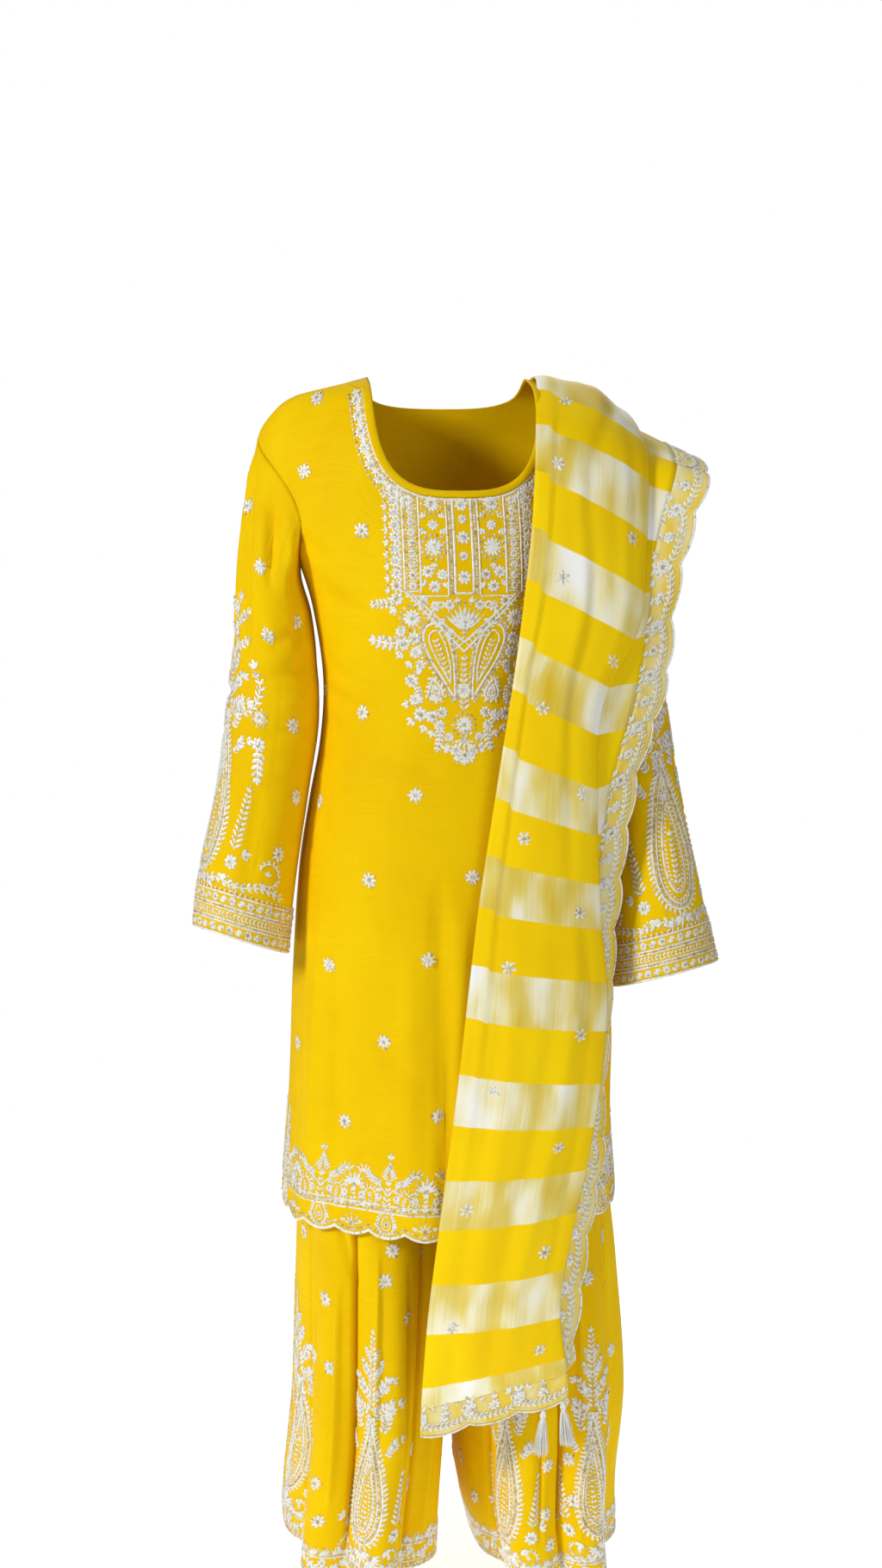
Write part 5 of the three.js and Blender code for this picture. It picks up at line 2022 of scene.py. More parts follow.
@dataclass
class Ground:
    """A piece of cloth read through its design plane, in which x runs to the right and y runs up.

    Attributes:
        surface: gives the points at arrays of x and y.
        low: lowest x and y of the plane.
        high: highest x and y of the plane.
        pitch: spacing at which the surface is read.
        edge: places along the cloth's upper edge, where it isn't the top of the plane.
        least: share of a cell's size below which it holds no cloth.
    """

    surface: Surface
    low: Pair
    high: Pair
    pitch: float = 2.5
    edge: Array | None = None
    least: float = 0.02

    def __post_init__(self) -> None:
        """Reads the surface and its normals once, on a grid."""
        columns = np.arange(self.low[0], self.high[0] + self.pitch, self.pitch)
        rows = np.arange(self.low[1], self.high[1] + self.pitch, self.pitch)
        x, y = np.meshgrid(columns, rows)
        self.points = self.surface(x, y)
        run = np.cross(np.gradient(self.points, axis=1), np.gradient(self.points, axis=0))
        self.real = np.linalg.norm(run, axis=-1) > self.least * self.pitch**2
        self.normals = unit(run)

    def cell(self, x: Array, y: Array) -> tuple[Array, Array, Array, Array]:
        """Row and column of the grid cells that hold design places, and the places within them.

        Args:
            x: distances to the right.
            y: distances up.

        Returns:
            Row, column, and the shares down and across the cell.
        """
        rows, cols = self.points.shape[:2]
        u = np.clip((x - self.low[0]) / self.pitch, 0, cols - 1.001)
        v = np.clip((y - self.low[1]) / self.pitch, 0, rows - 1.001)
        return v.astype(int), u.astype(int), v - v.astype(int), u - u.astype(int)

    def holds(self, place: Array) -> Array:
        """Whether there is cloth at design places.

        Args:
            place: the places, as complex numbers.

        Returns:
            True where there is cloth.
        """
        i, j, _, _ = self.cell(place.real, place.imag)
        inside = (place.real >= self.low[0]) & (place.real <= self.high[0])
        inside &= (place.imag >= self.low[1]) & (place.imag <= self.high[1] + self.pitch)
        if self.edge is not None:
            inside &= place.imag <= np.interp(place.real, self.edge.real, self.edge.imag)
        return inside & self.real[i, j] & self.real[i + 1, j + 1] & self.real[i, j + 1] & self.real[i + 1, j]

    def at(self, x: Array, y: Array, lift: Array) -> Array:
        """Points at design places, lifted off the cloth.

        Args:
            x: distances to the right.
            y: distances up.
            lift: heights over the cloth.

        Returns:
            The points.
        """
        i, j, b, a = self.cell(x, y)
        read = []
        for table in (self.points, self.normals):
            below = lerp(table[i, j], table[i, j + 1], a[..., None])
            above = lerp(table[i + 1, j], table[i + 1, j + 1], a[..., None])
            read.append(lerp(below, above, b[..., None]))
        return read[0] + unit(read[1]) * lift[..., None]


def measured(point: Surface, angles: Array, middle: float) -> Surface:
    """A surface in which x is the true distance round the cloth from a middle angle.

    Args:
        point: gives the points at angles and one height.
        angles: the angles that the cloth covers, from left to right.
        middle: the angle at which x is 0.

    Returns:
        The surface, for the rows of a grid of design places.
    """
    def surface(x: Array, y: Array) -> Array:
        """Points at a grid of design places.

        Args:
            x: distances to the right.
            y: distances up.

        Returns:
            The points.
        """
        number = np.arange(len(angles))
        start = np.interp(0, (angles - middle) * np.sign(angles[-1] - angles[0]), number)
        rows = []
        for across, level in zip(x, y[:, 0]):
            run = np.linalg.norm(np.diff(point(angles, level), axis=0, prepend=np.nan), axis=-1)
            run = np.nan_to_num(run).cumsum()
            rows.append(point(np.interp(across, run - np.interp(start, number, run), angles), level))
        return np.stack(rows)
    return surface


def polar(length: float | Array, degrees: float | Array) -> complex | Array:
    """A step of a length in a direction, as a complex number."""
    return length * np.exp(1j * np.radians(degrees))


def even(path: Array, step: float) -> tuple[Array, Array]:
    """Places evenly spaced along a line, and the line's direction there.

    Args:
        path: the line's corners, as complex numbers.
        step: the spacing wanted.

    Returns:
        The places, and the directions as complex numbers of length 1.
    """
    run = np.concatenate([[0], np.abs(np.diff(path)).cumsum()])
    at = np.linspace(0, run[-1], max(2, int(round(run[-1] / step)) + 1))
    places = np.interp(at, run, path.real) + 1j * np.interp(at, run, path.imag)
    ahead = np.gradient(places)
    return places, ahead / np.maximum(np.abs(ahead), 1e-9)


def beside(path: Array, distance: float) -> Array:
    """The line moved to its left by a distance."""
    ahead = np.gradient(path)
    return path + 1j * distance * ahead / np.maximum(np.abs(ahead), 1e-9)


def smooth_line(corners: Sequence[complex]) -> Array:
    """A rounded line through a few corners.

    Args:
        corners: the corners, as complex numbers.

    Returns:
        The line's places.
    """
    points = np.array(corners, complex)
    grown = np.concatenate([[2 * points[0] - points[1]], points, [2 * points[-1] - points[-2]]])
    line = []
    for i in range(len(points) - 1):
        before, a, b, after = grown[i:i + 4]
        t = np.arange(0, 1, LINE_STEP / max(LINE_STEP, abs(b - a)))
        line.append(cubic(a, b - a, (b - before) / 2, (after - a) / 2, t))
    return np.concatenate(line + [points[-1:]])


def drop_line(width: float, height: float, point: float = 1.5, bend: float = 0.0) -> Array:
    """The outline of a drop, from its tip above round its foot at the origin and back to the tip.

    Args:
        width: greatest width.
        height: height from foot to tip.
        point: how slender the tip is.
        bend: how far the tip leans to the right.

    Returns:
        The outline, as complex numbers.
    """
    turn = np.linspace(0, 2 * math.pi, 73)
    y = height * (1 + np.cos(turn)) / 2
    x = -width / 2 * np.sin(turn) * np.sin(turn / 2) ** point * 1.25 + bend * (y / height) ** 3
    return x + 1j * y


class Stitches:
    """Raised embroidery on one ground, gathered motif by motif and made into one mesh."""

    # how far a leaf's length strays, and how clear of the cloth every edge stands
    LEAF_STRAY = (0.92, 1.08)
    CLEAR = 0.28
    # how full a stitch is made, how high for its width, how high at most, and where a cord breaks off
    LEAF_FULL, LEAF_STEEP, LEAF_RISE = 1.08, 0.42, 1.1
    CORD_FULL, CORD_STEEP, CORD_RISE, CORD_GAP = 1.25, 0.5, 0.9, 12
    BEAD_FULL, BEAD_RISE = 1.3, 1.3
    # a leaf or petal as a fan of six triangles: places along and across it, and their heights
    LEAF = np.array([(0, 0), (0.3, 0.42), (0.68, 0.44), (1, 0), (0.68, -0.44), (0.3, -0.42), (0.5, 0)])
    LEAF_HEIGHT = np.array([0.5, 0, 0, 0.1, 0, 0, 1.0])
    RIM = 6
    FAN = np.array([(k, (k + 1) % 6, 6) for k in range(6)])

    def __init__(self, ground: Ground, seed: int) -> None:
        """Starts with no stitches.

        Args:
            ground: the cloth to stitch on.
            seed: picks the small unevenness of handwork.
        """
        self.ground = ground
        self.draw = np.random.default_rng(seed)
        self.leaves: list[tuple[complex, complex, float]] = []
        self.beads: list[tuple[complex, float]] = []
        self.cords: list[tuple[Array, float]] = []
        self.place, self.turn, self.flip = 0j, 1 + 0j, False

    def moved(self, place: complex | Array) -> complex | Array:
        """A place of the current motif as a place of the design plane."""
        return self.place + self.turn * (np.conj(place) if self.flip else place)

    def motif(self, draw: Callable[..., None], place: complex, turn: float = 0.0, size: float = 1.0,
              flip: bool = False, **sizes: float) -> None:
        """Draws a motif moved, turned and scaled within the current one.

        Args:
            draw: the method that draws it.
            place: where its origin goes.
            turn: how far it turns, counter-clockwise.
            size: its scale.
            flip: whether it is mirrored left to right.
            sizes: passed on to the method.
        """
        kept = self.place, self.turn, self.flip
        self.place = self.moved(place)
        way = polar(size, turn)
        self.turn = self.turn * (np.conj(way) if self.flip else way)
        if flip:
            self.turn, self.flip = -self.turn, not self.flip
        draw(**sizes)
        self.place, self.turn, self.flip = kept

    def both(self, draw: Callable[..., None], place: complex, turn: float = 0.0, size: float = 1.0,
             **sizes: float) -> None:
        """Draws a motif and its mirror image across the upright through the current origin."""
        self.motif(draw, place, turn, size, **sizes)
        self.motif(draw, -np.conj(place), -turn, size, flip=True, **sizes)

    def leaf(self, place: complex, degrees: float, length: float, width: float) -> None:
        """One satin-stitched leaf or petal from its foot.

        Args:
            place: its foot.
            degrees: the way that it points.
            length: its length.
            width: its width.
        """
        foot = self.moved(place)
        tip = self.moved(place + polar(length * self.draw.uniform(*self.LEAF_STRAY), degrees))
        self.leaves.append((foot, tip - foot, self.LEAF_FULL * width * abs(self.turn)))

    def bead(self, place: complex, radius: float) -> None:
        """One knot or bead."""
        self.beads.append((self.moved(place), self.BEAD_FULL * radius * abs(self.turn)))

    def cord(self, path: Array, width: float = 1.7, step: float = 3.0) -> None:
        """A couched cord along a line."""
        self.cords.append((self.moved(even(path, step)[0]), self.CORD_FULL * width * abs(self.turn)))

    def bead_line(self, path: Array, step: float = 3.2, radius: float = 1.1) -> None:
        """Beads along a line."""
        for place in even(path, step)[0]:
            self.bead(place, radius)

    def leaf_line(self, path: Array, step: float = 4.5, length: float = 5.0, width: float = 2.2,
                  splay: float = 48, sides: Sequence[int] = (1, -1)) -> None:
        """Leaves along a line, on one or both sides of it.

        Args:
            path: the line, as complex numbers.
            step: spacing of the leaves.
            length: length of a leaf.
            width: width of a leaf.
            splay: how far the leaves turn from the line.
            sides: 1 for the left side, -1 for the right.
        """
        places, ways = even(path, step)
        for place, way in zip(places[:-1], ways[:-1]):
            heading = math.degrees(math.atan2(way.imag, way.real))
            for side in sides:
                self.leaf(place, heading + side * splay, length, width)

    def flower(self, petals: int = 8, radius: float = 5.0, core: float = 1.5) -> None:
        """A round flower with a knot in its middle.

        Args:
            petals: how many petals.
            radius: its radius.
            core: radius of the knot.
        """
        spin = self.draw.uniform(0, 360)
        width = min(3.4, 2 * math.pi * radius / petals * 0.62)
        for k in range(petals):
            way = spin + 360 * k / petals
            self.leaf(polar(core * 0.8, way), way, radius - core * 0.8, width)
        self.bead(0, core)

    def buti(self) -> None:
        """A scattered sprig: eight petals with knots between some of them."""
        self.flower(8, 8.6, 1.7)
        for way in self.draw.uniform(0, 360) + np.array([0, 85, 170, 262]):
            self.bead(polar(8.0, way), 1.1)

    def star(self) -> None:
        """A six-petalled flower with fine tips."""
        self.flower(6, 8.4, 1.6)
        for k in range(6):
            self.bead(polar(5.2, 60 * k + 30), 0.8)

    def rosette(self, radius: float = 10.0) -> None:
        """A large round flower: petals in two rows within a ring of beads.

        Args:
            radius: its radius.
        """
        self.flower(12, radius * 0.82, 2.2)
        self.flower(7, radius * 0.4, 1.6)
        for k in range(14):
            self.bead(polar(radius, 360 * k / 14), 1.1)

    def bud(self, length: float = 7.0) -> None:
        """Three leaves that open upwards."""
        for splay, part in ((-42, 0.8), (42, 0.8), (0, 1)):
            self.leaf(0, 90 + splay, length * part, length * 0.38)

    def sprig(self, length: float = 18.0) -> None:
        """A leafy twig that grows upwards to a bud.

        Args:
            length: its length.
        """
        stem = smooth_line([0, polar(length * 0.5, 84), polar(length, 90)])
        self.cord(stem, 1.3)
        self.leaf_line(stem, length / 3.6, length * 0.36, 3.0, 54)
        self.motif(self.bud, stem[-1])

    def spike(self, length: float = 40.0, spread: float = 8.0) -> None:
        """A tall spike of paired leaves that narrows upwards.

        Args:
            length: its length.
            spread: length of its lowest leaves.
        """
        count = max(3, int(length / 5.6))
        for k in range(count):
            size = spread * (1 - 0.5 * k / count)
            for side in (-1, 1):
                self.leaf(1j * length * k / count, 90 + 50 * side, size, 3.0)
            self.bead(1j * length * k / count, 1.1)
        self.motif(self.bud, 1j * length)

    def palmette(self, radius: float = 14.0, petals: int = 7, open_to: float = 72) -> None:
        """A fan of long petals that opens upwards from a knot.

        Args:
            radius: its radius.
            petals: how many petals.
            open_to: how far it opens to each side, in degrees.
        """
        for k in range(petals):
            splay = open_to * (2 * k / (petals - 1) - 1)
            size = radius * (1 - 0.28 * abs(splay) / 90)
            self.leaf(polar(2, 90 + splay), 90 + splay, size, min(3.6, radius * 0.24))
            self.bead(polar(size + 3.4, 90 + splay), 1.0)
        self.bead(0, 2)
        self.leaf_line(np.array([-5j, -1j]), 3, 4, 2, 130)

    def loop(self, radius: float = 4.0) -> None:
        """A curl of cord."""
        turn = np.linspace(-90, 300, 22)
        self.cord(1j * radius + polar(np.linspace(radius, radius * 0.35, 22), turn), 1.3, 1.8)

    def scroll(self, radius: float = 12.0) -> None:
        """A curled leafy stem round a flower.

        Args:
            radius: its radius.
        """
        turn = np.linspace(-110, 190, 40)
        path = 1j * radius + polar(np.linspace(radius, radius * 0.8, 40), turn)
        self.cord(path, 1.3)
        self.leaf_line(path, 4.2, 4.2, 2.2, 60, (-1,))
        self.motif(self.bud, 0.8j * radius, 20, 0.9)

    def curl_paisley(self, size: float = 18.0) -> None:
        """A small filled paisley with its tip bent over and a row of teeth outside.

        Args:
            size: its height.
        """
        path = drop_line(size * 0.75, size, 1.3, size * 0.35)
        self.cord(path, 1.6, 2)
        self.cord(drop_line(size * 0.42, size * 0.6, 1.3, size * 0.2) + 0.1j * size, 1.6, 2)
        self.leaf_line(path[::-1], 3.8, 4.2, 2.1, 66, (1,))
        self.leaf_line(np.array([0.14j * size, 0.6j * size]), 3.2, 3.2, 2)

    def toothed_oval(self, width: float = 20.0, height: float = 28.0) -> None:
        """An oval with teeth round it and a leafy stem within.

        Args:
            width: its width.
            height: its height.
        """
        turn = np.linspace(-90, 270, 37)
        path = width / 2 * np.cos(np.radians(turn)) + 1j * height / 2 * np.sin(np.radians(turn))
        self.cord(path * 0.72, 1.4, 2.2)
        self.leaf_line(path * 0.78, 3.5, 4.2, 2.0, 80, (-1,))
        self.leaf_line(np.array([-0.2j * height, 0.22j * height]), 3.2, 3.6, 2.0)

    def toothed_drop(self, width: float = 20.0, height: float = 26.0) -> None:
        """A drop with teeth round it and a flower within.

        Args:
            width: its width.
            height: its height.
        """
        path = drop_line(width, height, 0.9)
        self.cord(path, 1.4, 2)
        self.leaf_line(path, 3.4, 4, 1.9, 74, (-1,))
        inner = drop_line(width * 0.55, height * 0.6, 0.9) + 0.13j * height
        self.cord(inner, 1.1, 2)
        self.motif(self.flower, 0.36j * height, petals=6, radius=3.4, core=1.1)

    def tall_paisley(self, width: float, height: float) -> None:
        """A tall drop: fringe, two nested braids, and a leafy spike at its heart.

        Args:
            width: its width.
            height: its height.
        """
        outer = drop_line(width, height, 1.6)
        self.cord(outer, 1.9)
        self.leaf_line(outer, 5.4, 8.0, 3.0, 62, (-1,))
        self.bead_line(beside(outer, 3.2), 4.4, 1.3)
        self.cord(beside(outer, 5.8), 1.5)
        self.leaf_line(beside(outer, 7.2), 5.0, 4.8, 2.3, 58, (1,))
        inner = drop_line(width * 0.46, height * 0.64, 1.4) + 0.1j * height
        self.cord(inner, 1.8)
        self.leaf_line(beside(inner, 1.6), 4.6, 4.4, 2.2, 60, (1,))
        self.motif(self.spike, 0.16j * height, length=height * 0.3, spread=width * 0.12)

    def tree(self, width: float, height: float, top: float) -> None:
        """A tall paisley with a leafy spire over it, spikes and flowers beside it, and fans at its foot.

        Args:
            width: the paisley's width.
            height: the paisley's height.
            top: length of the spire.
        """
        self.tall_paisley(width, height)
        self.motif(self.spike, 1j * (height + 6), length=top, spread=11)
        for x, y, turn, size in (
            (5, 4, -64, 1.15), (4, 20, -42, 1.25), (3, 42, -34, 0.95), (2, 60, -30, 0.7),
            (16, -18, -22, 1.1), (22, -44, -30, 0.9),
        ):
            self.both(self.sprig, complex(x, height + y), turn, size)
        for x, y, size in ((24, 6, 1.6), (17, 30, 1.4), (10, 50, 1.1), (30, -34, 1.3), (17, -2, 1.1)):
            self.both(self.flower, complex(x, height + y), 0, size)
        for x, y, turn, size in ((33, 10, -70, 1.7), (25, 36, -55, 1.4), (38, -30, -75, 1.4)):
            self.both(self.bud, complex(x, height + y), turn, size)
        side = width / 2
        self.both(self.spike, complex(side + 15, 0.16 * height), -5, 1, length=height * 0.36, spread=10)
        self.both(self.flower, complex(side + 14, 0.07 * height), 0, 1.7)
        self.both(self.bud, complex(side + 25, 0.13 * height), -75, 1.6)
        self.both(self.bud, complex(side + 4, -0.02 * height), -150, 1.5)
        self.both(self.scroll, complex(side + 2, -20), -50, 0.85)
        self.both(self.palmette, complex(12, -13), -140, 0.9)
        self.motif(self.palmette, -6j, 180, 1.0)

    def crown(self) -> None:
        """The tall motif of the hem, from the foot of a scallop: drop, ovals, fans and a leafy cone."""
        self.motif(self.toothed_drop, 5j, width=19, height=29)
        self.motif(self.spike, 37j, length=24, spread=7.5)
        self.both(self.toothed_oval, 21 + 45j, -12, 1, width=20, height=29)
        self.both(self.arm, 0)
        self.motif(self.cone, 66j)
        self.motif(self.bud, 91j, length=8)
        self.bead(88j, 1.1)

    def arm(self) -> None:
        """A side branch of the crown that ends in a fan of leaves."""
        branch = smooth_line([2 + 52j, 9 + 58j, 14 + 68j])
        self.cord(branch, 1.3)
        fan = smooth_line([9 + 60j, 22 + 66j, 31 + 76j, 37 + 73j])
        self.cord(fan, 1.4)
        self.leaf_line(fan, 3.0, 7.5, 2.1, 58, (1,))
        self.leaf_line(fan, 3.4, 4.5, 2.0, 55, (-1,))

    def cone(self) -> None:
        """A cone of long leaves."""
        for k in range(6):
            size = 12.5 * (1 - 0.13 * k)
            for side in (-1, 1):
                self.leaf(3.2j * k, 90 + side * (58 - 4 * k), size, 2.3)
        self.leaf(15j, 90, 8, 3)

    def spray(self) -> None:
        """The small motif of the hem, between two crowns."""
        self.motif(self.palmette, 56j, radius=15)
        self.motif(self.spike, 34j, length=16, spread=6)
        self.both(self.loop, 6 + 38j, -40, 0.9)
        self.both(self.bud, 10 + 34j, -50, 1)
        self.motif(self.palmette, 10j, radius=9, petals=5)

    def mesh(self) -> tuple[Array, Array, slice]:
        """Points and triangles of all the stitches, on the cloth, and which of the points are knots.

        Returns:
            The points, the triangles, and which points are knots.
        """
        points, faces, start, knots = [], [], 0, slice(0, 0)
        if self.leaves:
            foot, way, width = (np.array(part) for part in zip(*self.leaves))
            kept = self.ground.holds(foot) & self.ground.holds(foot + way)
            foot, way, width = foot[kept], way[kept], width[kept]
            start = self.fans(points, faces, start, foot, way, width, self.LEAF, self.LEAF_HEIGHT)
        if self.beads:
            place, radius = (np.array(part) for part in zip(*self.beads))
            kept = self.ground.holds(place)
            place, radius = place[kept], radius[kept]
            ring = np.exp(1j * np.arange(self.RIM) * math.pi / 3)
            dome = np.array([(way.real, way.imag) for way in ring] + [(0, 0)])
            height = np.array([0] * self.RIM + [self.BEAD_RISE])
            knots = slice(start, start + len(dome) * len(place))
            start = self.fans(points, faces, start, place, radius + 0j, radius, dome, height)
        for path, width in self.cords:
            path = path[self.ground.holds(path)]
            if len(path) < 2 or np.abs(np.diff(path)).max() > self.CORD_GAP:
                continue
            side = beside(path, width / 2) - path
            rows = np.stack([path + side, path, path - side], axis=1)
            lift = np.broadcast_to(np.array([0, min(self.CORD_RISE, self.CORD_STEEP * width), 0]), rows.shape)
            points.append(self.raised(rows, lift))
            i = start + 3 * np.arange(len(path) - 1)[:, None]
            for a, b in ((0, 1), (1, 2)):
                faces.append(np.concatenate([i + a, i + a + 3, i + b + 3], axis=1))
                faces.append(np.concatenate([i + a, i + b + 3, i + b], axis=1))
            start += rows.size
        return np.concatenate(points), np.concatenate(faces), knots

    def raised(self, places: Array, lift: Array) -> Array:
        """Design places on the cloth, with every edge just above it."""
        return self.ground.at(places.real, places.imag, lift + self.CLEAR).reshape(-1, 3)

    def fans(self, points: list, faces: list, start: int, foot: Array, way: Array, width: Array,
             shape: Array, height: Array) -> int:
        """Adds a raised fan of six triangles for each stitch.

        Args:
            points: list to add the points to.
            faces: list to add the triangles to.
            start: number of the first new point.
            foot: where each stitch starts.
            way: its length and direction.
            width: its width.
            shape: the fan's points along and across a stitch.
            height: their heights, from 0 to 1.

        Returns:
            The number of the next point.
        """
        heading = way / np.maximum(np.abs(way), 1e-9)
        along = way[:, None] * shape[None, :, 0]
        across = 1j * heading[:, None] * width[:, None] * shape[None, :, 1]
        places = foot[:, None] + along + across
        rise = np.minimum(self.LEAF_RISE, self.LEAF_STEEP * width)[:, None] * height[None, :]
        points.append(self.raised(places, rise))
        first = start + len(shape) * np.arange(len(foot))
        faces.append((first[:, None, None] + self.FAN[None]).reshape(-1, 3))
        return start + len(shape) * len(foot)

    def build(self, name: str, thread: Material) -> Piece:
        """Makes the embroidery as one piece.

        Args:
            name: the piece's name.
            thread: its material.

        Returns:
            The piece.
        """
        points, faces, knots = self.mesh()
        made = make_object(name, points, faces)
        share = np.zeros(len(points), dtype=np.float32)
        share[knots] = 1
        made.data.attributes.new("knot", "FLOAT", "POINT").data.foreach_set("value", share)
        dress(made, thread, Slot.TRIM)
        return made


class Motif(Enum):
    """The motifs that are placed one by one."""

    FLOWER = "flower"
    ROSETTE = "rosette"
    BUD = "bud"
    SPRIG = "sprig"
    LOOP = "loop"
    PAISLEY = "curl_paisley"


FLOWER, ROSETTE, BUD, SPRIG, LOOP, PAISLEY = Motif


class Mark(NamedTuple):
    """A motif on a design plane: which one, where, how far turned, and how large."""

    motif: Motif
    x: float
    y: float
    turn: float = 0
    size: float = 1


BIB = rows_of(
    Mark,
    # inner panel beside the strip
    (ROSETTE, 31, -136, 0, 1.1), (ROSETTE, 31, -181, 0, 1.28), (FLOWER, 31, -158, 0, 1.2),
    (BUD, 22, -151, 20, 1), (BUD, 40, -151, -20, 1), (BUD, 22, -162, 150, 1.1), (BUD, 40, -162, -150, 1.1),
    (FLOWER, 38, -206, 0, 1.4), (FLOWER, 23, -209, 0, 1.3), (BUD, 31, -197, 180, 1),
    (FLOWER, 31, -221, 0, 1.4), (BUD, 41, -220, -40, 1.1), (BUD, 21, -222, 40, 1.1),
    # within the point
    (FLOWER, 44, -236, 0, 1.3), (LOOP, 27, -246, 20, 1.4), (FLOWER, 31, -241, 0, 1.1),
    (BUD, 36, -246, 130, 1.1), (FLOWER, 16, -240, 0, 1.2), (BUD, 26, -255, 140, 1.2), (BUD, 8, -238, 0, 1),
    (BUD, 17, -266, 140, 1.1),
    # outside the point
    (ROSETTE, 55, -254, 0, 1.28), (FLOWER, 71, -234, 0, 1.5), (SPRIG, 76, -237, -98, 1.1),
    (BUD, 72, -244, -125, 1.4), (FLOWER, 67, -268, 0, 1.3), (SPRIG, 68, -280, -86, 1.5),
    (FLOWER, 64, -281, 0, 1.6), (BUD, 66, -290, -140, 1.4), (FLOWER, 53, -275, 0, 1.5),
    (FLOWER, 51, -290, 0, 1.5), (BUD, 56, -300, -140, 1.3), (FLOWER, 46, -303, 0, 1.2),
    # beside the small paisley and under it
    (PAISLEY, 31, -340, 12, 1.25), (FLOWER, 55, -320, 0, 1.6), (BUD, 47, -313, -20, 1.2),
    (SPRIG, 49, -326, 170, 0.8), (FLOWER, 51, -340, 0, 1.5), (BUD, 58, -344, -100, 1.3),
    (FLOWER, 46, -355, 0, 1.6), (BUD, 53, -361, -125, 1.4), (FLOWER, 34, -357, 0, 1.5),
    (BUD, 41, -367, -150, 1.3), (FLOWER, 23, -353, 0, 1.3), (FLOWER, 26, -367, 0, 1.4),
    (SPRIG, 25, -371, -170, 1), (BUD, 33, -372, -160, 1.3), (FLOWER, 16, -379, 0, 1.1),
    (FLOWER, 9, -393, 0, 1.4), (BUD, 15, -391, -80, 1.5), (BUD, 6, -399, -160, 1.3),
)
STRIP_FLOWERS = (-137, -152, -171, -190, -212)
KURTA_BUTIS = (
    (-144, -24), (-161, -102), (-104, -164), (-138, -338), (-104, -356), (-148, -457), (-52, -440),
    (-101, -532), (7, -527), (-143, -629), (-41, -615), (-175, -729), (-89, -706), (-131, -799), (-31, -785),
)
LEFT_LEG_BUTIS = (
    (79, -943), (150, -1004), (63, -1020), (166, -1080), (147, -1079), (168, -1180), (161, -1212),
    (161, -1254), (53, -1179), (59, -1217), (39, -1290), (88, -975), (172, -950), (40, -960), (30, -1090),
)
RIGHT_LEG_BUTIS = (
    (179, -1022), (188, -1104), (9, -1238), (18, -1272), (91, -1197), (118, -1195), (122, -1242),
    (88, -1253), (94, -1290), (170, -960), (140, -990), (100, -1010), (60, -960), (30, -1010),
)
STAR_PLACES = (
    (27, 127), (26, 258), (37, 394), (37, 529), (35, 670), (33, 811), (36, 946), (23, 1063),
    (127, 82), (118, 200), (115, 328), (125, 463), (108, 598), (92, 735), (104, 880), (112, 1010),
)
BACK_STAR_PLACES = tuple((30 + 62 * (k % 2), 1150 + 68 * k) for k in range(19))


def scattered(work: Stitches, motif: Callable[..., None], low: Pair, high: Pair, pitch: float) -> None:
    """Scatters a motif in half-drop rows over part of a design plane.

    Args:
        work: the embroidery to add to.
        motif: the method that draws it.
        low: lowest x and y.
        high: highest x and y.
        pitch: distance between motifs.
    """
    for row, y in enumerate(np.arange(high[1], low[1], -pitch)):
        for x in np.arange(low[0] + (row % 2) * pitch / 2, high[0] + 1, pitch):
            away = work.draw.uniform(-STRAY, STRAY, 2)
            work.motif(motif, complex(x + away[0], y + away[1]), work.draw.uniform(0, 360))


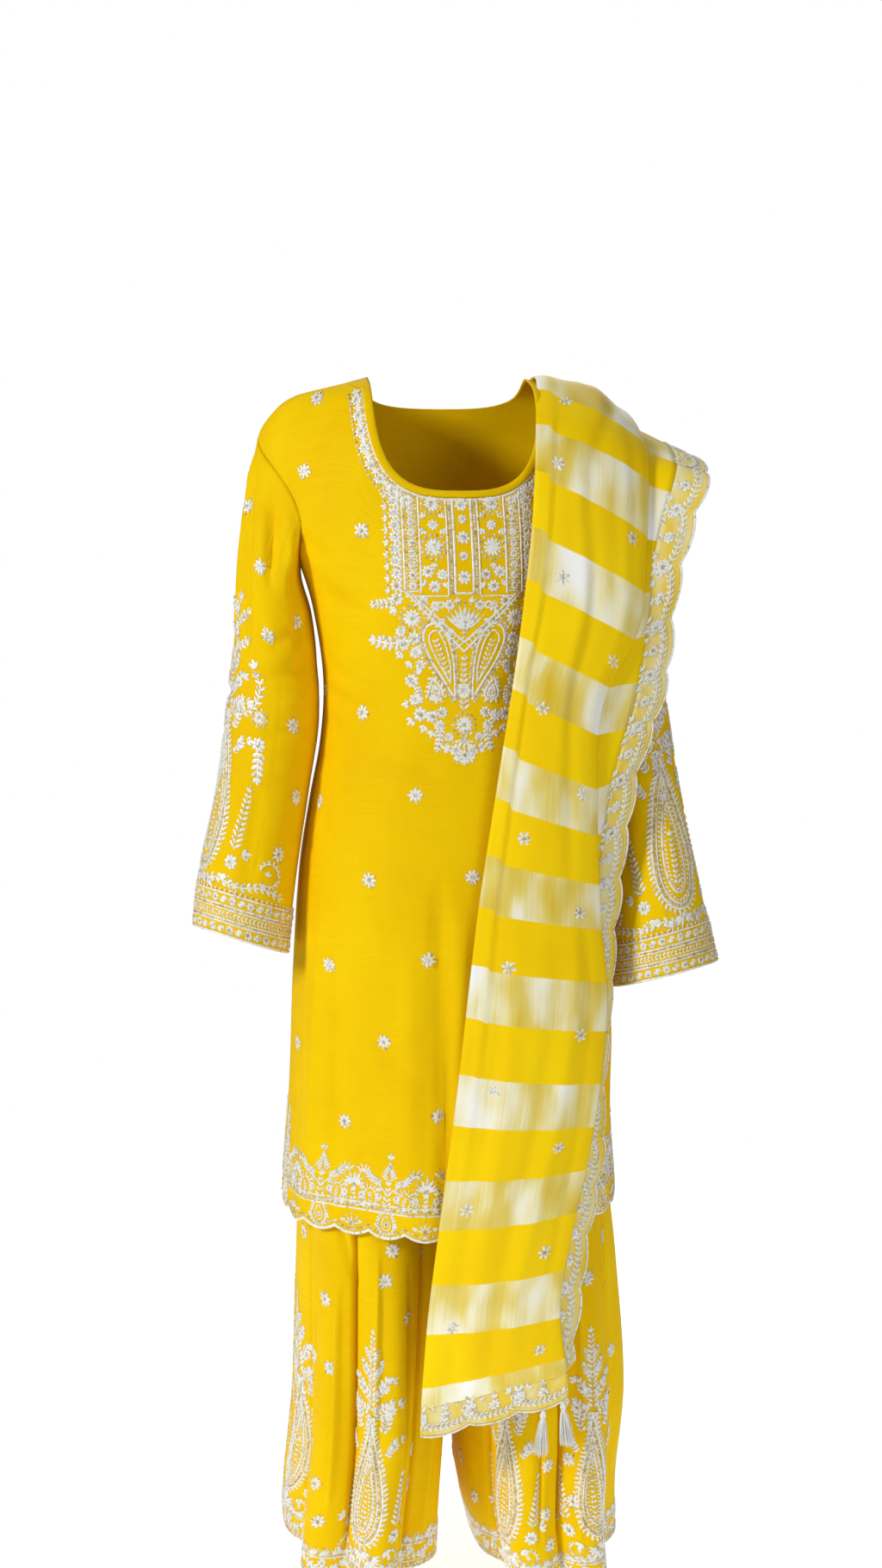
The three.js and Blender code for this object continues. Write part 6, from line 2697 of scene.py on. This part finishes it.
@dataclass
class KurtaEmbroidery:
    """Embroidery of one body panel: neck strip, bib in front, scattered butis and the crowned hem.

    Attributes:
        panel: the body panel.
        reach: share of the neckline that it follows.
        stations: places along the neckline.
        low: lowest x and y of the design plane.
        high: highest x and y of the design plane.
    """

    panel: BodyPanel
    reach: float = 0.985
    stations: int = 160
    low: Pair = (-330, -932)
    high: Pair = (330, 6)

    def ground(self) -> Ground:
        """The panel's design plane: distance from its middle line, and height.

        Returns:
            The ground.
        """
        def point(turn: Array, y: float) -> Array:
            """Points of the panel."""
            return self.panel.form.point(self.panel.middle + turn, y)

        return Ground(measured(point, PANEL_TURNS, 0), self.low, self.high, edge=self.neck_edge() - 3j)

    def design(self, turn: Array, z: Array) -> Array:
        """Design places at angles from the panel's middle and heights.

        Args:
            turn: angles from the panel's middle.
            z: heights.

        Returns:
            The design places, as complex numbers.
        """
        run = np.linspace(0, 1, 41)[:, None] * np.atleast_1d(turn)[None, :]
        points = self.panel.form.point(self.panel.middle + run, np.broadcast_to(np.atleast_1d(z), run.shape))
        length = np.linalg.norm(np.diff(points, axis=0), axis=-1).sum(axis=0)
        return np.sign(turn) * length + 1j * np.asarray(z)

    def across(self, x: float, z: float) -> complex:
        """The design place that stands at x and z on the worn kurta."""
        turn = math.degrees(math.asin(max(-1, min(1, x / float(KURTA.read("half", z))))))
        return complex(self.design(np.array([turn]), np.array([z]))[0])

    def neck_edge(self) -> Array:
        """The neck edge on the design plane."""
        return self.design(*self.panel.neckline(np.linspace(-self.reach, self.reach, self.stations)))

    def neck_line(self, outward: float) -> Array:
        """A line round the neck edge, moved out over the cloth."""
        return beside(self.neck_edge(), -outward)

    def neck_strip(self, work: Stitches) -> None:
        """Flowers and leaves between two lines round the neck edge.

        Args:
            work: the embroidery to add to.
        """
        work.cord(self.neck_line(9), 2.0)
        middle = self.neck_line(17)
        ends = (slice(None),)
        if self.panel.face is Face.FRONT:
            ends = (middle.real < -56, middle.real > 56)
        for end in ends:
            for k, (place, way) in enumerate(zip(*even(middle[end], 8.6))):
                heading = math.degrees(math.atan2(way.imag, way.real))
                if k % 2:
                    work.motif(work.flower, place - 0.5j * way, 0, 1.35)
                else:
                    work.motif(work.bud, place - 1j * way, heading, 1.1)
                    work.motif(work.bud, place + 2j * way, heading + 180, 1.0)
                for across in (-8, 6.5):
                    work.bead(place + across * 1j * way, 1.2)
                    work.bead(place + 4.3 * way + across * 1j * way, 1.1)

    def bib(self, work: Stitches) -> None:
        """The bib under the neck: strip, panels, columns, point, loops and a hanging cluster.

        Args:
            work: the embroidery to add to.
        """
        edge = self.neck_line(9)

        def top(x: float) -> float:
            """Height of the neck cord at x."""
            front = edge[np.abs(edge.imag) > 60]
            return float(np.interp(x, front.real, front.imag))

        for side in (-1, 1):
            def upright(x: float, foot: float) -> Array:
                """An upright line from the neck cord down."""
                return np.array([side * x + 1j * (top(side * x) - 1), side * x + 1j * foot])

            for x, foot, width in ((9.6, -228, 2.0), (16.6, -230, 1.4), (45.5, -228, 1.6), (62.5, -226, 1.8)):
                work.cord(upright(x, foot), width)
            for x, foot, step, radius in (
                (13.2, -228, 3.6, 1.4), (48.5, -226, 4.4, 1.1), (59.5, -226, 4.4, 1.1),
            ):
                work.bead_line(upright(x, foot), step, radius)
            for y in np.arange(top(side * 54) - 8, -226, -11.0):
                work.motif(work.flower, side * 54 + 1j * y)
                work.cord(np.array([side * 49 + 1j * (y - 5.6), side * 59 + 1j * (y - 5.6)]), 1.0)
            for y in np.arange(top(side * 71) - 8, -230, -12.4):
                work.motif(work.flower, side * 71 + 1j * y, 0, 1.4)
                work.motif(work.bud, side * 78 + 1j * (y - 6), -side * 80, 1.0)
                work.motif(work.bud, side * 68 + 1j * (y - 6.4), side * 80, 0.7)
                work.bead(side * 81 + 1j * y, 1.3)
            for outside in (0, 7):
                high = side * (62.5 - outside) - (226 + 0.4 * outside) * 1j
                work.cord(np.array([high, -1j * (289 - 1.4 * outside)]), 1.7)
            line = np.array([side * 58 - 228j, -284j])
            work.leaf_line(line, 5.2, 3.4, 2.0, 70)
            work.cord(np.array([side * 16.6 - 231j, side * 54 - 231j]), 1.4)
            work.leaf_line(np.array([side * 62 - 232j, side * 6 - 290j]), 6, 5, 2.4, 60, (-side,))
        for k, y in enumerate(STRIP_FLOWERS):
            work.motif(work.flower, 1j * y, 0, 1.05 if k % 2 else 1.5)
        work.cord(np.array([-10 - 228j, 10 - 228j]), 1.8)
        work.motif(work.palmette, -268j, radius=27, petals=9, open_to=50)
        work.motif(work.palmette, -262j, radius=13, petals=5, open_to=36)
        for mark in BIB:
            draw = getattr(work, mark.motif.value)
            work.both(draw, complex(mark.x, mark.y), mark.turn, mark.size)
        work.both(self.loops(work), 0)
        work.motif(work.spike, -350j, length=52, spread=8)
        work.motif(work.flower, -330j, 0, 1.7)
        work.motif(work.rosette, -366j, 0, 1.2)
        work.motif(work.palmette, -381j, 180, 1, radius=12, petals=5)
        work.motif(work.flower, -398j, 0, 1.2)
        work.motif(work.bud, -402j, 180, 1.2)

    def loops(self, work: Stitches) -> Callable[[], None]:
        """The tall loop beside the bib's middle line, as a motif.

        Args:
            work: the embroidery to add to.

        Returns:
            The method that draws it.
        """
        def draw() -> None:
            """Nested lines with leaves between them."""
            outer = smooth_line([9 - 340j, 20 - 321j, 34 - 299j, 43 - 277j, 40 - 263j, 29 - 260j,
                                 18 - 273j, 11 - 299j, 9 - 340j])
            work.cord(outer, 1.9)
            work.bead_line(beside(outer, -3.0), 3.8, 1.2)
            inner = smooth_line([14 - 322j, 27 - 300j, 37 - 278j, 35 - 269j, 29 - 267j, 21 - 279j, 15 - 301j,
                                 14 - 322j])
            work.cord(inner, 1.5)
            work.leaf_line(smooth_line([17 - 312j, 23 - 296j, 31 - 274j]), 4.8, 4.6, 2.4)
            work.leaf_line(smooth_line([26 - 316j, 42 - 292j, 48 - 272j]), 6.4, 5.4, 2.6, 60, (-1,))
        return draw

    def hem(self, work: Stitches) -> None:
        """Crowns and sprays on the scallops, joined by a beaded band, and cords along the edge.

        Args:
            work: the embroidery to add to.
        """
        lobes = int(self.panel.lobes)
        u = np.linspace(-0.99, 0.99, 24 * lobes)
        flat = self.panel.hem_edge(u)
        turn = flat[:, 0] / self.panel.degree_width(flat[:, 1])
        edge = self.design(turn, flat[:, 1]) + 1.6j
        work.cord(edge, 2.4, 2.2)
        work.bead_line(edge + 5.4j, 4.6, 1.3)
        for y in (23, 31):
            work.cord(edge.real + 1j * (KURTA_HEM_Z + y), 1.5)
        work.bead_line(edge.real + 1j * (KURTA_HEM_Z + 27), 4.4, 1.5)
        reach = float(edge.real[-1])
        for k in range(lobes):
            x = float(np.interp((2 * k + 1) / lobes - 1, u, edge.real))
            motif = work.spray if k % 2 else work.crown
            work.motif(motif, complex(x, KURTA_HEM_Z - 5), 0, 0.97)
            for part in (-0.5, 0.5):
                place = complex(float(np.interp((2 * k + 1 + part) / lobes - 1, u, edge.real)), KURTA_HEM_Z)
                work.motif(work.flower, place + 40j, 0, 0.9)
                work.motif(work.bud, place + 46j, 0, 0.9)
                work.motif(work.bud, place + 11j, 180, 0.8)
                work.bead(place + 35j, 1.2)
        for side in (-1, 1):
            line = smooth_line([side * (reach - 6) + 1j * (KURTA_HEM_Z + y) for y in (28, 60, 96)])
            work.cord(line, 1.6)
            work.leaf_line(line - side * 4, 5, 6, 2.4)
            work.motif(work.sprig, complex(side * (reach - 10), KURTA_HEM_Z + 92), side * 8, 0.8)

    def build(self, thread: Material) -> Piece:
        """Makes the panel's embroidery.

        Args:
            thread: the thread's material.

        Returns:
            The piece.
        """
        work = Stitches(self.ground(), KURTA_SEED + (self.panel.face is Face.BACK))
        self.neck_strip(work)
        self.hem(work)
        if self.panel.face is Face.FRONT:
            self.bib(work)
            for x, z in KURTA_BUTIS:
                work.motif(work.buti, self.across(x, z))
                if x < -60 and z > -800:
                    work.motif(work.buti, self.across(-x - 4, z + 22))
        else:
            scattered(work, work.buti, (-150, -800), (150, -80), 92)
        return work.build(f"stitched_kurta_{self.panel.face.word}", thread)


@dataclass
class SleeveEmbroidery:
    """Embroidery of one sleeve: a tall paisley over the cuff, with stems round it, and the cuff's rows.

    Attributes:
        sleeve: the sleeve.
        middle: angle round the sleeve that the paisley faces.
        half: half the width of the design plane.
    """

    sleeve: Sleeve
    middle: float
    half: float = 175

    def ground(self, low: float, high: float, lift: float) -> Ground:
        """The sleeve's design plane: distance round from the paisley's line, and height over the cuff.

        Args:
            low: lowest height over the cuff.
            high: highest height over the cuff.
            lift: how far outside the sleeve.

        Returns:
            The ground.
        """
        side = self.sleeve.side.value

        def point(angle: Array, y: float) -> Array:
            """Points of the sleeve.

            Args:
                angle: angles round the sleeve.
                y: height over the cuff.

            Returns:
                The points.
            """
            points = self.sleeve.form.point(angle, self.sleeve.cuff_height(angle) + y, lift)
            points[..., 0] *= side
            return points

        angles = self.middle + side * np.linspace(-180, 180, 361)
        return Ground(measured(point, angles, self.middle), (-self.half, low), (self.half, high))

    def stems(self, work: Stitches) -> None:
        """A flowering stem over the paisley, a vine along the cuff, and butis.

        Args:
            work: the embroidery to add to.
        """
        stem = smooth_line([2 + 286j, 9 + 306j, 2 + 330j, 6 + 352j])
        work.cord(stem, 1.6)
        for x, y, turn in ((8, 300, -60), (8, 312, 50), (4, 326, -50), (4, 338, 44)):
            work.motif(work.sprig, complex(x, y), turn, 1.1)
        work.motif(work.bud, 6 + 352j, -5, 1.8)
        for side in (-1, 1):
            branch = smooth_line([side * 30 + 232j, side * 44 + 244j, side * 48 + 262j, side * 40 + 280j])
            work.cord(branch, 1.6)
            work.leaf_line(branch, 7, 8, 3)
            work.motif(work.rosette, complex(side * 50, 232), 0, 0.95)
            work.motif(work.bud, complex(side * 40, 282), side * 20, 1.7)
            work.motif(work.sprig, complex(side * 54, 196), 180 + side * 8, 1.4)
            work.motif(work.flower, complex(side * 52, 204), 0, 1.7)
            bends = ((6, 54), (30, 58), (56, 54), (84, 60), (110, 55))
            vine = smooth_line([complex(side * x, y) for x, y in bends])
            work.cord(vine, 1.5)
            work.leaf_line(vine, 7.5, 7.5, 3)
            work.motif(work.scroll, complex(side * 84, 64), -side * 20, 1.1)
            for x, y in ((96, 96), (108, 160), (90, 232), (56, 318), (44, 388)):
                work.motif(work.buti, complex(side * x, y + 4 * side))
        for x, y in ((-92, 366), (98, 350), (4, 452)):
            work.motif(work.buti, complex(x, y))

    def rows(self, work: Stitches) -> None:
        """The cuff's rows: flowers and leaves, chevrons and beads, flowers and leaves, between cords.

        Args:
            work: the embroidery to add to.
        """
        around = np.linspace(-174, 174, 160)
        for y, width in ((1.5, 1.8), (14.5, 1.4), (18, 1.2), (28.5, 1.2), (32, 1.4), (44.5, 1.6)):
            work.cord(around + 1j * y, width)
        work.leaf_line(around + 23.2j, 4.4, 5.0, 2.0, 42)
        work.bead_line(around + 16.2j, 3.6, 0.9)
        work.bead_line(around + 30.2j, 3.6, 0.9)
        for middle in (8, 38.2):
            for k, x in enumerate(np.arange(-168, 172, 10.5)):
                if k % 2:
                    work.motif(work.flower, complex(x, middle))
                    continue
                work.motif(work.bud, complex(x - 2, middle - 3.5), -20, 0.9)
                work.motif(work.bud, complex(x + 2, middle + 3.5), 160, 0.9)
        work.leaf_line(around + 45.5j, 6, 4, 2, 80, (1,))

    def build(self, thread: Material) -> list[Piece]:
        """Makes the sleeve's embroidery and the cuff's.

        Args:
            thread: the thread's material.

        Returns:
            The two pieces.
        """
        word = self.sleeve.side.word
        above = Stitches(self.ground(CUFF_BAND, 530, 0.0), SLEEVE_SEED)
        above.motif(above.tree, 66j, width=60, height=168, top=50)
        self.stems(above)
        cuff = Stitches(self.ground(0, CUFF_BAND + 6, BAND_LIFT), CUFF_SEED)
        self.rows(cuff)
        return [above.build(f"stitched_sleeve_{word}", thread), cuff.build(f"stitched_cuff_{word}", thread)]


@dataclass
class LegEmbroidery:
    """Embroidery of one leg panel: scattered butis, tall paisleys and the border along the hem.

    Attributes:
        leg: the leg.
        face: front or back panel.
        paisleys: angles that the tall paisleys face.
        butis: places of butis, as if on the +X side, or none to scatter them.
        low: lowest x and y of the design plane.
        high: highest x and y of the design plane.
    """

    leg: Leg
    face: Face
    paisleys: tuple[float, ...]
    butis: tuple[Pair, ...] = ()
    low: Pair = (-330, 0)
    high: Pair = (330, 460)

    def ground(self) -> Ground:
        """The panel's design plane: distance round from the leg's middle line, and height over the hem."""
        side = self.leg.side.value * -self.face.value
        return Ground(measured(self.point, side * PANEL_TURNS, 0), self.low, self.high)

    def point(self, turn: Array, y: float) -> Array:
        """Points of the panel at angles from its middle and a height over the hem."""
        return self.leg.skin(self.face, turn, self.leg.hem + y, SEAM)

    def place(self, angle: float, y: float) -> complex:
        """The design place at an angle from the panel's middle, as if on the +X side.

        Args:
            angle: the angle.
            y: height over the hem.

        Returns:
            The place, as a complex number.
        """
        line = self.point(np.linspace(0, angle, 61), y)
        length = np.linalg.norm(np.diff(line, axis=0), axis=-1).sum()
        return complex(self.leg.side.value * -self.face.value * math.copysign(length, angle), y)

    def border(self, work: Stitches) -> None:
        """The border along the hem: cords, beads, a vine with flowers, and a row of small fans.

        Args:
            work: the embroidery to add to.
        """
        around = np.linspace(-330, 330, 280)
        for y, width in ((1.5, 2.0), (9.5, 1.5), (29, 1.6)):
            work.cord(around + 1j * y, width)
        work.bead_line(around + 5.4j, 4.4, 1.5)
        wave = around + 1j * (19 + 4 * np.sin(around / 8.6))
        work.cord(wave, 1.3)
        work.leaf_line(wave, 6, 6, 2.5)
        for k, x in enumerate(np.arange(-328, 329, 13.5)):
            work.motif(work.flower, complex(x, 19 + (4 if k % 2 else -4)), 0, 1.1)
            work.motif(work.palmette, complex(x, 31), 0, 0.6)

    def build(self, thread: Material) -> Piece:
        """Makes the panel's embroidery.

        Args:
            thread: the thread's material.

        Returns:
            The piece.
        """
        seed = LEG_SEED + (self.face is Face.BACK) + 2 * (self.leg.side is Side.RIGHT)
        work = Stitches(self.ground(), seed)
        self.border(work)
        for angle in self.paisleys:
            work.motif(work.tree, self.place(angle, 58), width=50, height=146, top=84)
        if not self.butis:
            scattered(work, work.buti, (-260, 210), (260, 440), 74)
            scattered(work, work.buti, (-260, 60), (260, 215), 66)
        for x, z in self.butis:
            outer, inner = (float(self.leg.form.table.read(name, z)) for name in ("outer", "inner"))
            sine = (2 * x - outer - inner) / (outer - inner)
            angle = math.degrees(math.asin(max(-1, min(1, sine))))
            work.motif(work.buti, self.place(angle, z - self.leg.hem))
        return work.build(f"stitched_sharara_{self.face.word}_{self.leg.side.word}", thread)


@dataclass
class DupattaEmbroidery:
    """Embroidery of the dupatta: stars on its top layer and vines along its organza borders."""

    form: DupattaForm

    def stars(self, name: str, start: float, end: float, places: Sequence[Pair],
              thread: Material) -> Piece:
        """Stars on the top layer of one stretch.

        Args:
            name: the stretch's name.
            start: its first row.
            end: its last row.
            places: distances across from the inner edge, and along from the front end.
            thread: the material.

        Returns:
            The piece.
        """
        form = self.form

        def surface(x: Array, y: Array) -> Array:
            """Points of the top layer.

            Args:
                x: distances to the right.
                y: distances up.

            Returns:
                The points.
            """
            s = form.row(y)
            share = np.clip(x / form.widths(s)[0], 0, 1)
            return form.point(x, s, form.top_lift(share, s) + VEIL_WALL / 2)

        low, high = float(form.down(start)), float(form.down(end))
        work = Stitches(Ground(surface, (0, low), (165, high)), STAR_SEED)
        for x, y in places:
            if low + 9 < y < high - 9:
                work.motif(work.star, complex(x, y))
        return work.build(f"stitched_stars_{name}", thread)

    def scallop(self, work: Stitches, rim: Array) -> None:
        """One scallop of a border: edge cord, leafy vine, and a flower with curls at its cusp.

        Args:
            work: the embroidery to add to.
            rim: line of the edge, from cusp to cusp.
        """
        work.cord(rim - 1.2j, 1.8, 2.5)
        a, b = rim[0], rim[-1]
        middle = (a + b) / 2
        bends = ((a, 15), (lerp(a, middle, 0.4), 9), (middle, 7), (lerp(middle, b, 0.6), 9), (b, 15))
        vine = smooth_line([place - 1j * depth for place, depth in bends])
        work.cord(vine, 1.3)
        work.leaf_line(vine, 6.0, 7.4, 2.8, 50)
        work.motif(work.flower, middle - 19j, 0, 1.4)
        work.motif(work.bud, middle - 26j, 180, 1.0)
        work.motif(work.flower, a - 20j, 0, 1.6)
        work.motif(work.bud, a - 27j, 180, 1.5)
        for side in (-1, 1):
            work.motif(work.loop, a + side * 7 - 19j, 180 - side * 40, 1.2)
            work.motif(work.bud, a + side * 10 - 28j, 180 + side * 40, 1.1)

    def side_border(self, name: str, start: float, end: float, thread: Material) -> Piece:
        """The vine along the scalloped side of one stretch.

        Args:
            name: the stretch's name.
            start: its first row.
            end: its last row.
            thread: the thread's material.

        Returns:
            The piece.
        """
        form = self.form

        def surface(x: Array, y: Array) -> Array:
            """Points of the border and of the layer that it is sewn to.

            Args:
                x: distances to the right.
                y: distances up.

            Returns:
                The points.
            """
            s = form.row(x, "edge")
            w = form.widths(s)[1] - BORDER + y
            return form.point(w, s, BORDER_LIFT + border_wave(np.clip(y / BORDER, 0, 1), x))

        low, high = float(form.down(start, "edge")), float(form.down(end, "edge"))
        ground = Ground(surface, (low, -6), (high, BORDER))
        ground.normals *= -1
        work = Stitches(ground, SIDE_SEED)
        for k in range(math.floor(low / SCALLOP), math.ceil(high / SCALLOP)):
            x = np.linspace(k * SCALLOP, (k + 1) * SCALLOP, 25)
            x = x[(x > low + 0.5) & (x < high - 0.5)]
            if len(x) > 8:
                self.scallop(work, x + 1j * (BORDER - scallop_dip(x / SCALLOP)))
        return work.build(f"stitched_border_{name}", thread)

    def end_border(self, border: EndBorder, thread: Material) -> Piece:
        """The vine across one end.

        Args:
            border: the border.
            thread: the thread's material.

        Returns:
            The piece.
        """
        form = self.form
        tip = 0.0 if border.front else float(LAST_ROW)
        width = float(form.widths(np.array(tip))[0])
        lobes = round(width / SCALLOP)

        def surface(x: Array, y: Array) -> Array:
            """Points of the end border.

            Args:
                x: distances to the right.
                y: distances up.

            Returns:
                The points.
            """
            share = np.clip(x / width, 0, 1)
            s = lerp(border.seam_row(form), tip, np.clip(y / BORDER, -0.1, 1))
            top = form.widths(s)[0]
            return form.point(share * top, s, form.top_lift(share, s) + TRIM_WALL / 2)

        ground = Ground(surface, (0, -3), (width, BORDER), 2.0)
        ground.normals *= -1 if border.front else 1
        work = Stitches(ground, END_SEED)
        for k in range(lobes):
            share = np.linspace(k / lobes, (k + 1) / lobes, 25)
            self.scallop(work, share * width + 1j * (BORDER - scallop_dip(share * lobes)))
        return work.build(f"stitched_{border.name}", thread)


# ---------------------------------------------------------------- tassels


class Level(NamedTuple):
    """A level of a tassel: how far down, how far out as a share of its radius, and the threads' thickness."""

    down: float
    reach: float
    thick: float


TASSEL_LEVELS = rows_of(
    Level,
    (0, 0.12, 0.35), (3, 0.30, 0.55), (7, 0.42, 0.6), (10, 0.26, 0.5), (16, 0.52, 0.45), (28, 0.74, 0.42),
    (40, 0.90, 0.38), (TASSEL_LENGTH, 1.0, 0.15),
)


@dataclass
class Tassel:
    """A silk tassel under the dupatta's front end: a loop, a bound head and a skirt of threads.

    Attributes:
        number: its number.
        share: how far across the end it hangs.
        lean: how far it leans, in degrees.
        threads: how many threads it has.
        sway: how far a thread's end strays.
        shortest: length of the shortest thread as a share of the longest.
    """

    number: int
    share: float
    lean: float
    threads: int = 110
    sway: float = 0.5
    shortest: float = 0.94

    def hanger(self, form: DupattaForm) -> Array:
        """Where the tassel hangs from.

        Args:
            form: the dupatta's form.

        Returns:
            The point.
        """
        seam = float(form.row(BORDER))
        lobes = round(float(form.widths(np.array(0.0))[0]) / SCALLOP)
        dip = SCALLOP_DEPTH / BORDER * (1 - abs(math.sin(math.pi * self.share * lobes)))
        s = np.array(seam * dip)
        top = form.widths(s)[0]
        return form.point(self.share * top, s, form.top_lift(np.array(self.share), s))

    def build(self, form: DupattaForm, thread: Material) -> Piece:
        """Makes the tassel and gives it its finish.

        Args:
            form: the dupatta's form.
            thread: the thread's material.

        Returns:
            The tassel.
        """
        draw = np.random.default_rng(TASSEL_SEED + self.number)
        down, reach, thick = np.array(TASSEL_LEVELS).T
        share = np.sqrt(draw.uniform(0, 1, self.threads))
        way = draw.uniform(0, 2 * math.pi, self.threads)
        sway = draw.normal(0, self.sway, (self.threads, 2))
        out, free = reach * TASSEL_RADIUS, (down / TASSEL_LENGTH) ** 2
        centre = np.stack([
            out * (share * np.cos(way))[:, None] + sway[:, :1] * free,
            out * (share * np.sin(way))[:, None] + sway[:, 1:] * free,
            -down * draw.uniform(self.shortest, 1.0, self.threads)[:, None],
        ], axis=-1)
        ring = np.radians(np.array([0, 120, 240]))
        round_it = np.stack([np.cos(ring), np.sin(ring), 0 * ring], axis=-1)
        tubes = centre[:, :, None, :] + thick[None, :, None, None] * round_it[None, None]
        turn = math.radians(self.lean)
        x = tubes[..., 0] * math.cos(turn) + tubes[..., 2] * math.sin(turn)
        z = tubes[..., 2] * math.cos(turn) - tubes[..., 0] * math.sin(turn)
        points = np.stack([x, tubes[..., 1], z], axis=-1) + self.hanger(form)
        index = np.arange(points[..., 0].size).reshape(points.shape[:3])
        after = np.roll(index, -1, axis=2)
        quads = np.stack([index[:, :-1], after[:, :-1], after[:, 1:], index[:, 1:]], axis=-1).reshape(-1, 4)
        made = make_object(f"silk_tassel_{self.number}", points.reshape(-1, 3), quads)
        dress(made, thread, Slot.TASSEL, [f"tassel_{self.number}"])
        return made


# ---------------------------------------------------------------- stage


def make_stage() -> None:
    """A pale floor, soft studio light and the camera."""
    scene = bpy.context.scene
    scene.view_settings.view_transform = "Standard"
    bpy.ops.mesh.primitive_circle_add(vertices=96, radius=1.7, fill_type="NGON", location=(0, 0, FLOOR_Z))
    floor = bpy.context.object
    floor.name = "floor"
    floor.data.materials.append(PaleFloor().material())
    floor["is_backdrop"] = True
    world = bpy.data.worlds.new("studio")
    world.use_nodes = True
    tree = world.node_tree
    background = tree.nodes["Background"]
    background.inputs["Color"].default_value = (1, 1, 1, 1)
    ray = tree.nodes.new("ShaderNodeLightPath")
    seen = tree.nodes.new("ShaderNodeMapRange")
    tree.links.new(ray.outputs["Is Camera Ray"], seen.inputs["Value"])
    seen.inputs["To Min"].default_value = STUDIO_LIGHT
    seen.inputs["To Max"].default_value = 1.0
    tree.links.new(seen.outputs[0], background.inputs["Strength"])
    scene.world = world
    for name, place, size, power in (
        ("key", (-2.9, -1.7, 1.3), 0.7, 92),
        ("fill", (1.7, -2.7, 0.7), 1.6, 24),
        ("back", (0.6, 2.8, 1.4), 2.4, 26),
    ):
        light = bpy.data.lights.new(name, "AREA")
        light.size = size
        light.energy = power
        lamp = bpy.data.objects.new(name, light)
        lamp.location = place
        lamp.rotation_euler = (LIGHTS_AIM - Vector(place)).to_track_quat("-Z", "Y").to_euler()
        scene.collection.objects.link(lamp)
    camera = bpy.data.cameras.new("camera")
    camera.lens = 41.2
    camera.shift_x = -0.0044
    eye = bpy.data.objects.new("camera", camera)
    eye.location = (-0.2783, -1.9805, -0.142)
    eye.rotation_euler = (math.radians(81.3), 0, math.radians(-8))
    scene.collection.objects.link(eye)
    scene.camera = eye


def main() -> None:
    """Builds the suit piece by piece and sets the stage."""
    make_stage()
    silk, veil, organza = RawSilk().material(), BandedSilk().material(), Organza().material()
    thread, tassel_thread = MetalThread().material(), TasselThread().material()
    front = BodyPanel(Face.FRONT, NECK_DROP, 13, 0.7, 30, (0.54, 0.93), 0.41)
    back = BodyPanel(Face.BACK, BACK_NECK_DROP, 12, 0.625, 24, (0.50, 0.93), 0.42)
    pieces = [front.build(silk), back.build(silk)]
    pieces.append(NeckBinding((front, back)).build(silk))
    pieces += [KurtaEmbroidery(panel).build(thread) for panel in (front, back)]
    for side, table, cuff, tilt, rise, middle in (
        (Side.LEFT, LEFT_SLEEVE, -610, 17, 9, 71),
        (Side.RIGHT, RIGHT_SLEEVE, -652, 13, 12, 20),
    ):
        sleeve = Sleeve(side, table, cuff, tilt, rise, (front, back))
        pieces += sleeve.build(silk, silk)
        pieces += SleeveEmbroidery(sleeve, middle).build(thread)
    pieces.append(Waistband().build(silk))
    left = Leg(Side.LEFT, LegForm(LEFT_LEG, LEFT_FOLDS, LEFT_LEG_CREASES, LEFT_LEG_WAVES), -1326, 12)
    right = Leg(Side.RIGHT, LegForm(RIGHT_LEG, RIGHT_FOLDS, RIGHT_LEG_CREASES, RIGHT_LEG_WAVES), -1344, 0)
    for leg, paisleys, butis in (
        (left, ((8, 80), (5, 80)), LEFT_LEG_BUTIS),
        (right, ((-36, 32), (-20, 50)), RIGHT_LEG_BUTIS),
    ):
        pieces += leg.build(silk)
        pieces.append(LegEmbroidery(leg, Face.FRONT, paisleys[0], butis).build(thread))
        pieces.append(LegEmbroidery(leg, Face.BACK, paisleys[1]).build(thread))
    form = DupattaForm()
    first, last = float(form.row(BORDER + SEAM)), form.from_end(BORDER + SEAM)
    stitched = DupattaEmbroidery(form)
    for stretch in (
        Stretch("front", first, FRONT_JOIN, (0.31, 1.08), (0.038, 1.1), ("kurta_front",)),
        Stretch("shoulder", FRONT_JOIN, BACK_JOIN, (0.33, 0.21), (0.038, 0.2), ("kurta_front", "kurta_back")),
        Stretch("back", BACK_JOIN, last, (0.25, 1.09), (0.038, 1.1), ("kurta_back",)),
    ):
        pieces.append(stretch.build(form, veil))
        pieces.append(stretch.build_border(form, organza))
        places = STAR_PLACES if stretch.name == "front" else BACK_STAR_PLACES
        pieces.append(stitched.stars(stretch.name, stretch.start, stretch.end, places, thread))
        pieces.append(stitched.side_border(stretch.name, stretch.start, stretch.end, thread))
    for border in (EndBorder("end_front", True), EndBorder("end_back", False)):
        pieces.append(border.build(form, organza))
        pieces.append(stitched.end_border(border, thread))
    for number, share, lean in ((1, 0.84, 3), (2, 0.97, -7)):
        pieces.append(Tassel(number, share, lean).build(form, tassel_thread))
    for made in pieces:
        log.info("%s: %d faces, %.4f m2", made.name, len(made.data.polygons), area_of(made))


if __name__ == "__main__":
    logging.basicConfig(level=logging.INFO, format="%(message)s")
    main()
    boxes = {"cad": CAD_BOX, "visual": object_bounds()}
    {name: [list(corner) for corner in box] for name, box in boxes.items()}
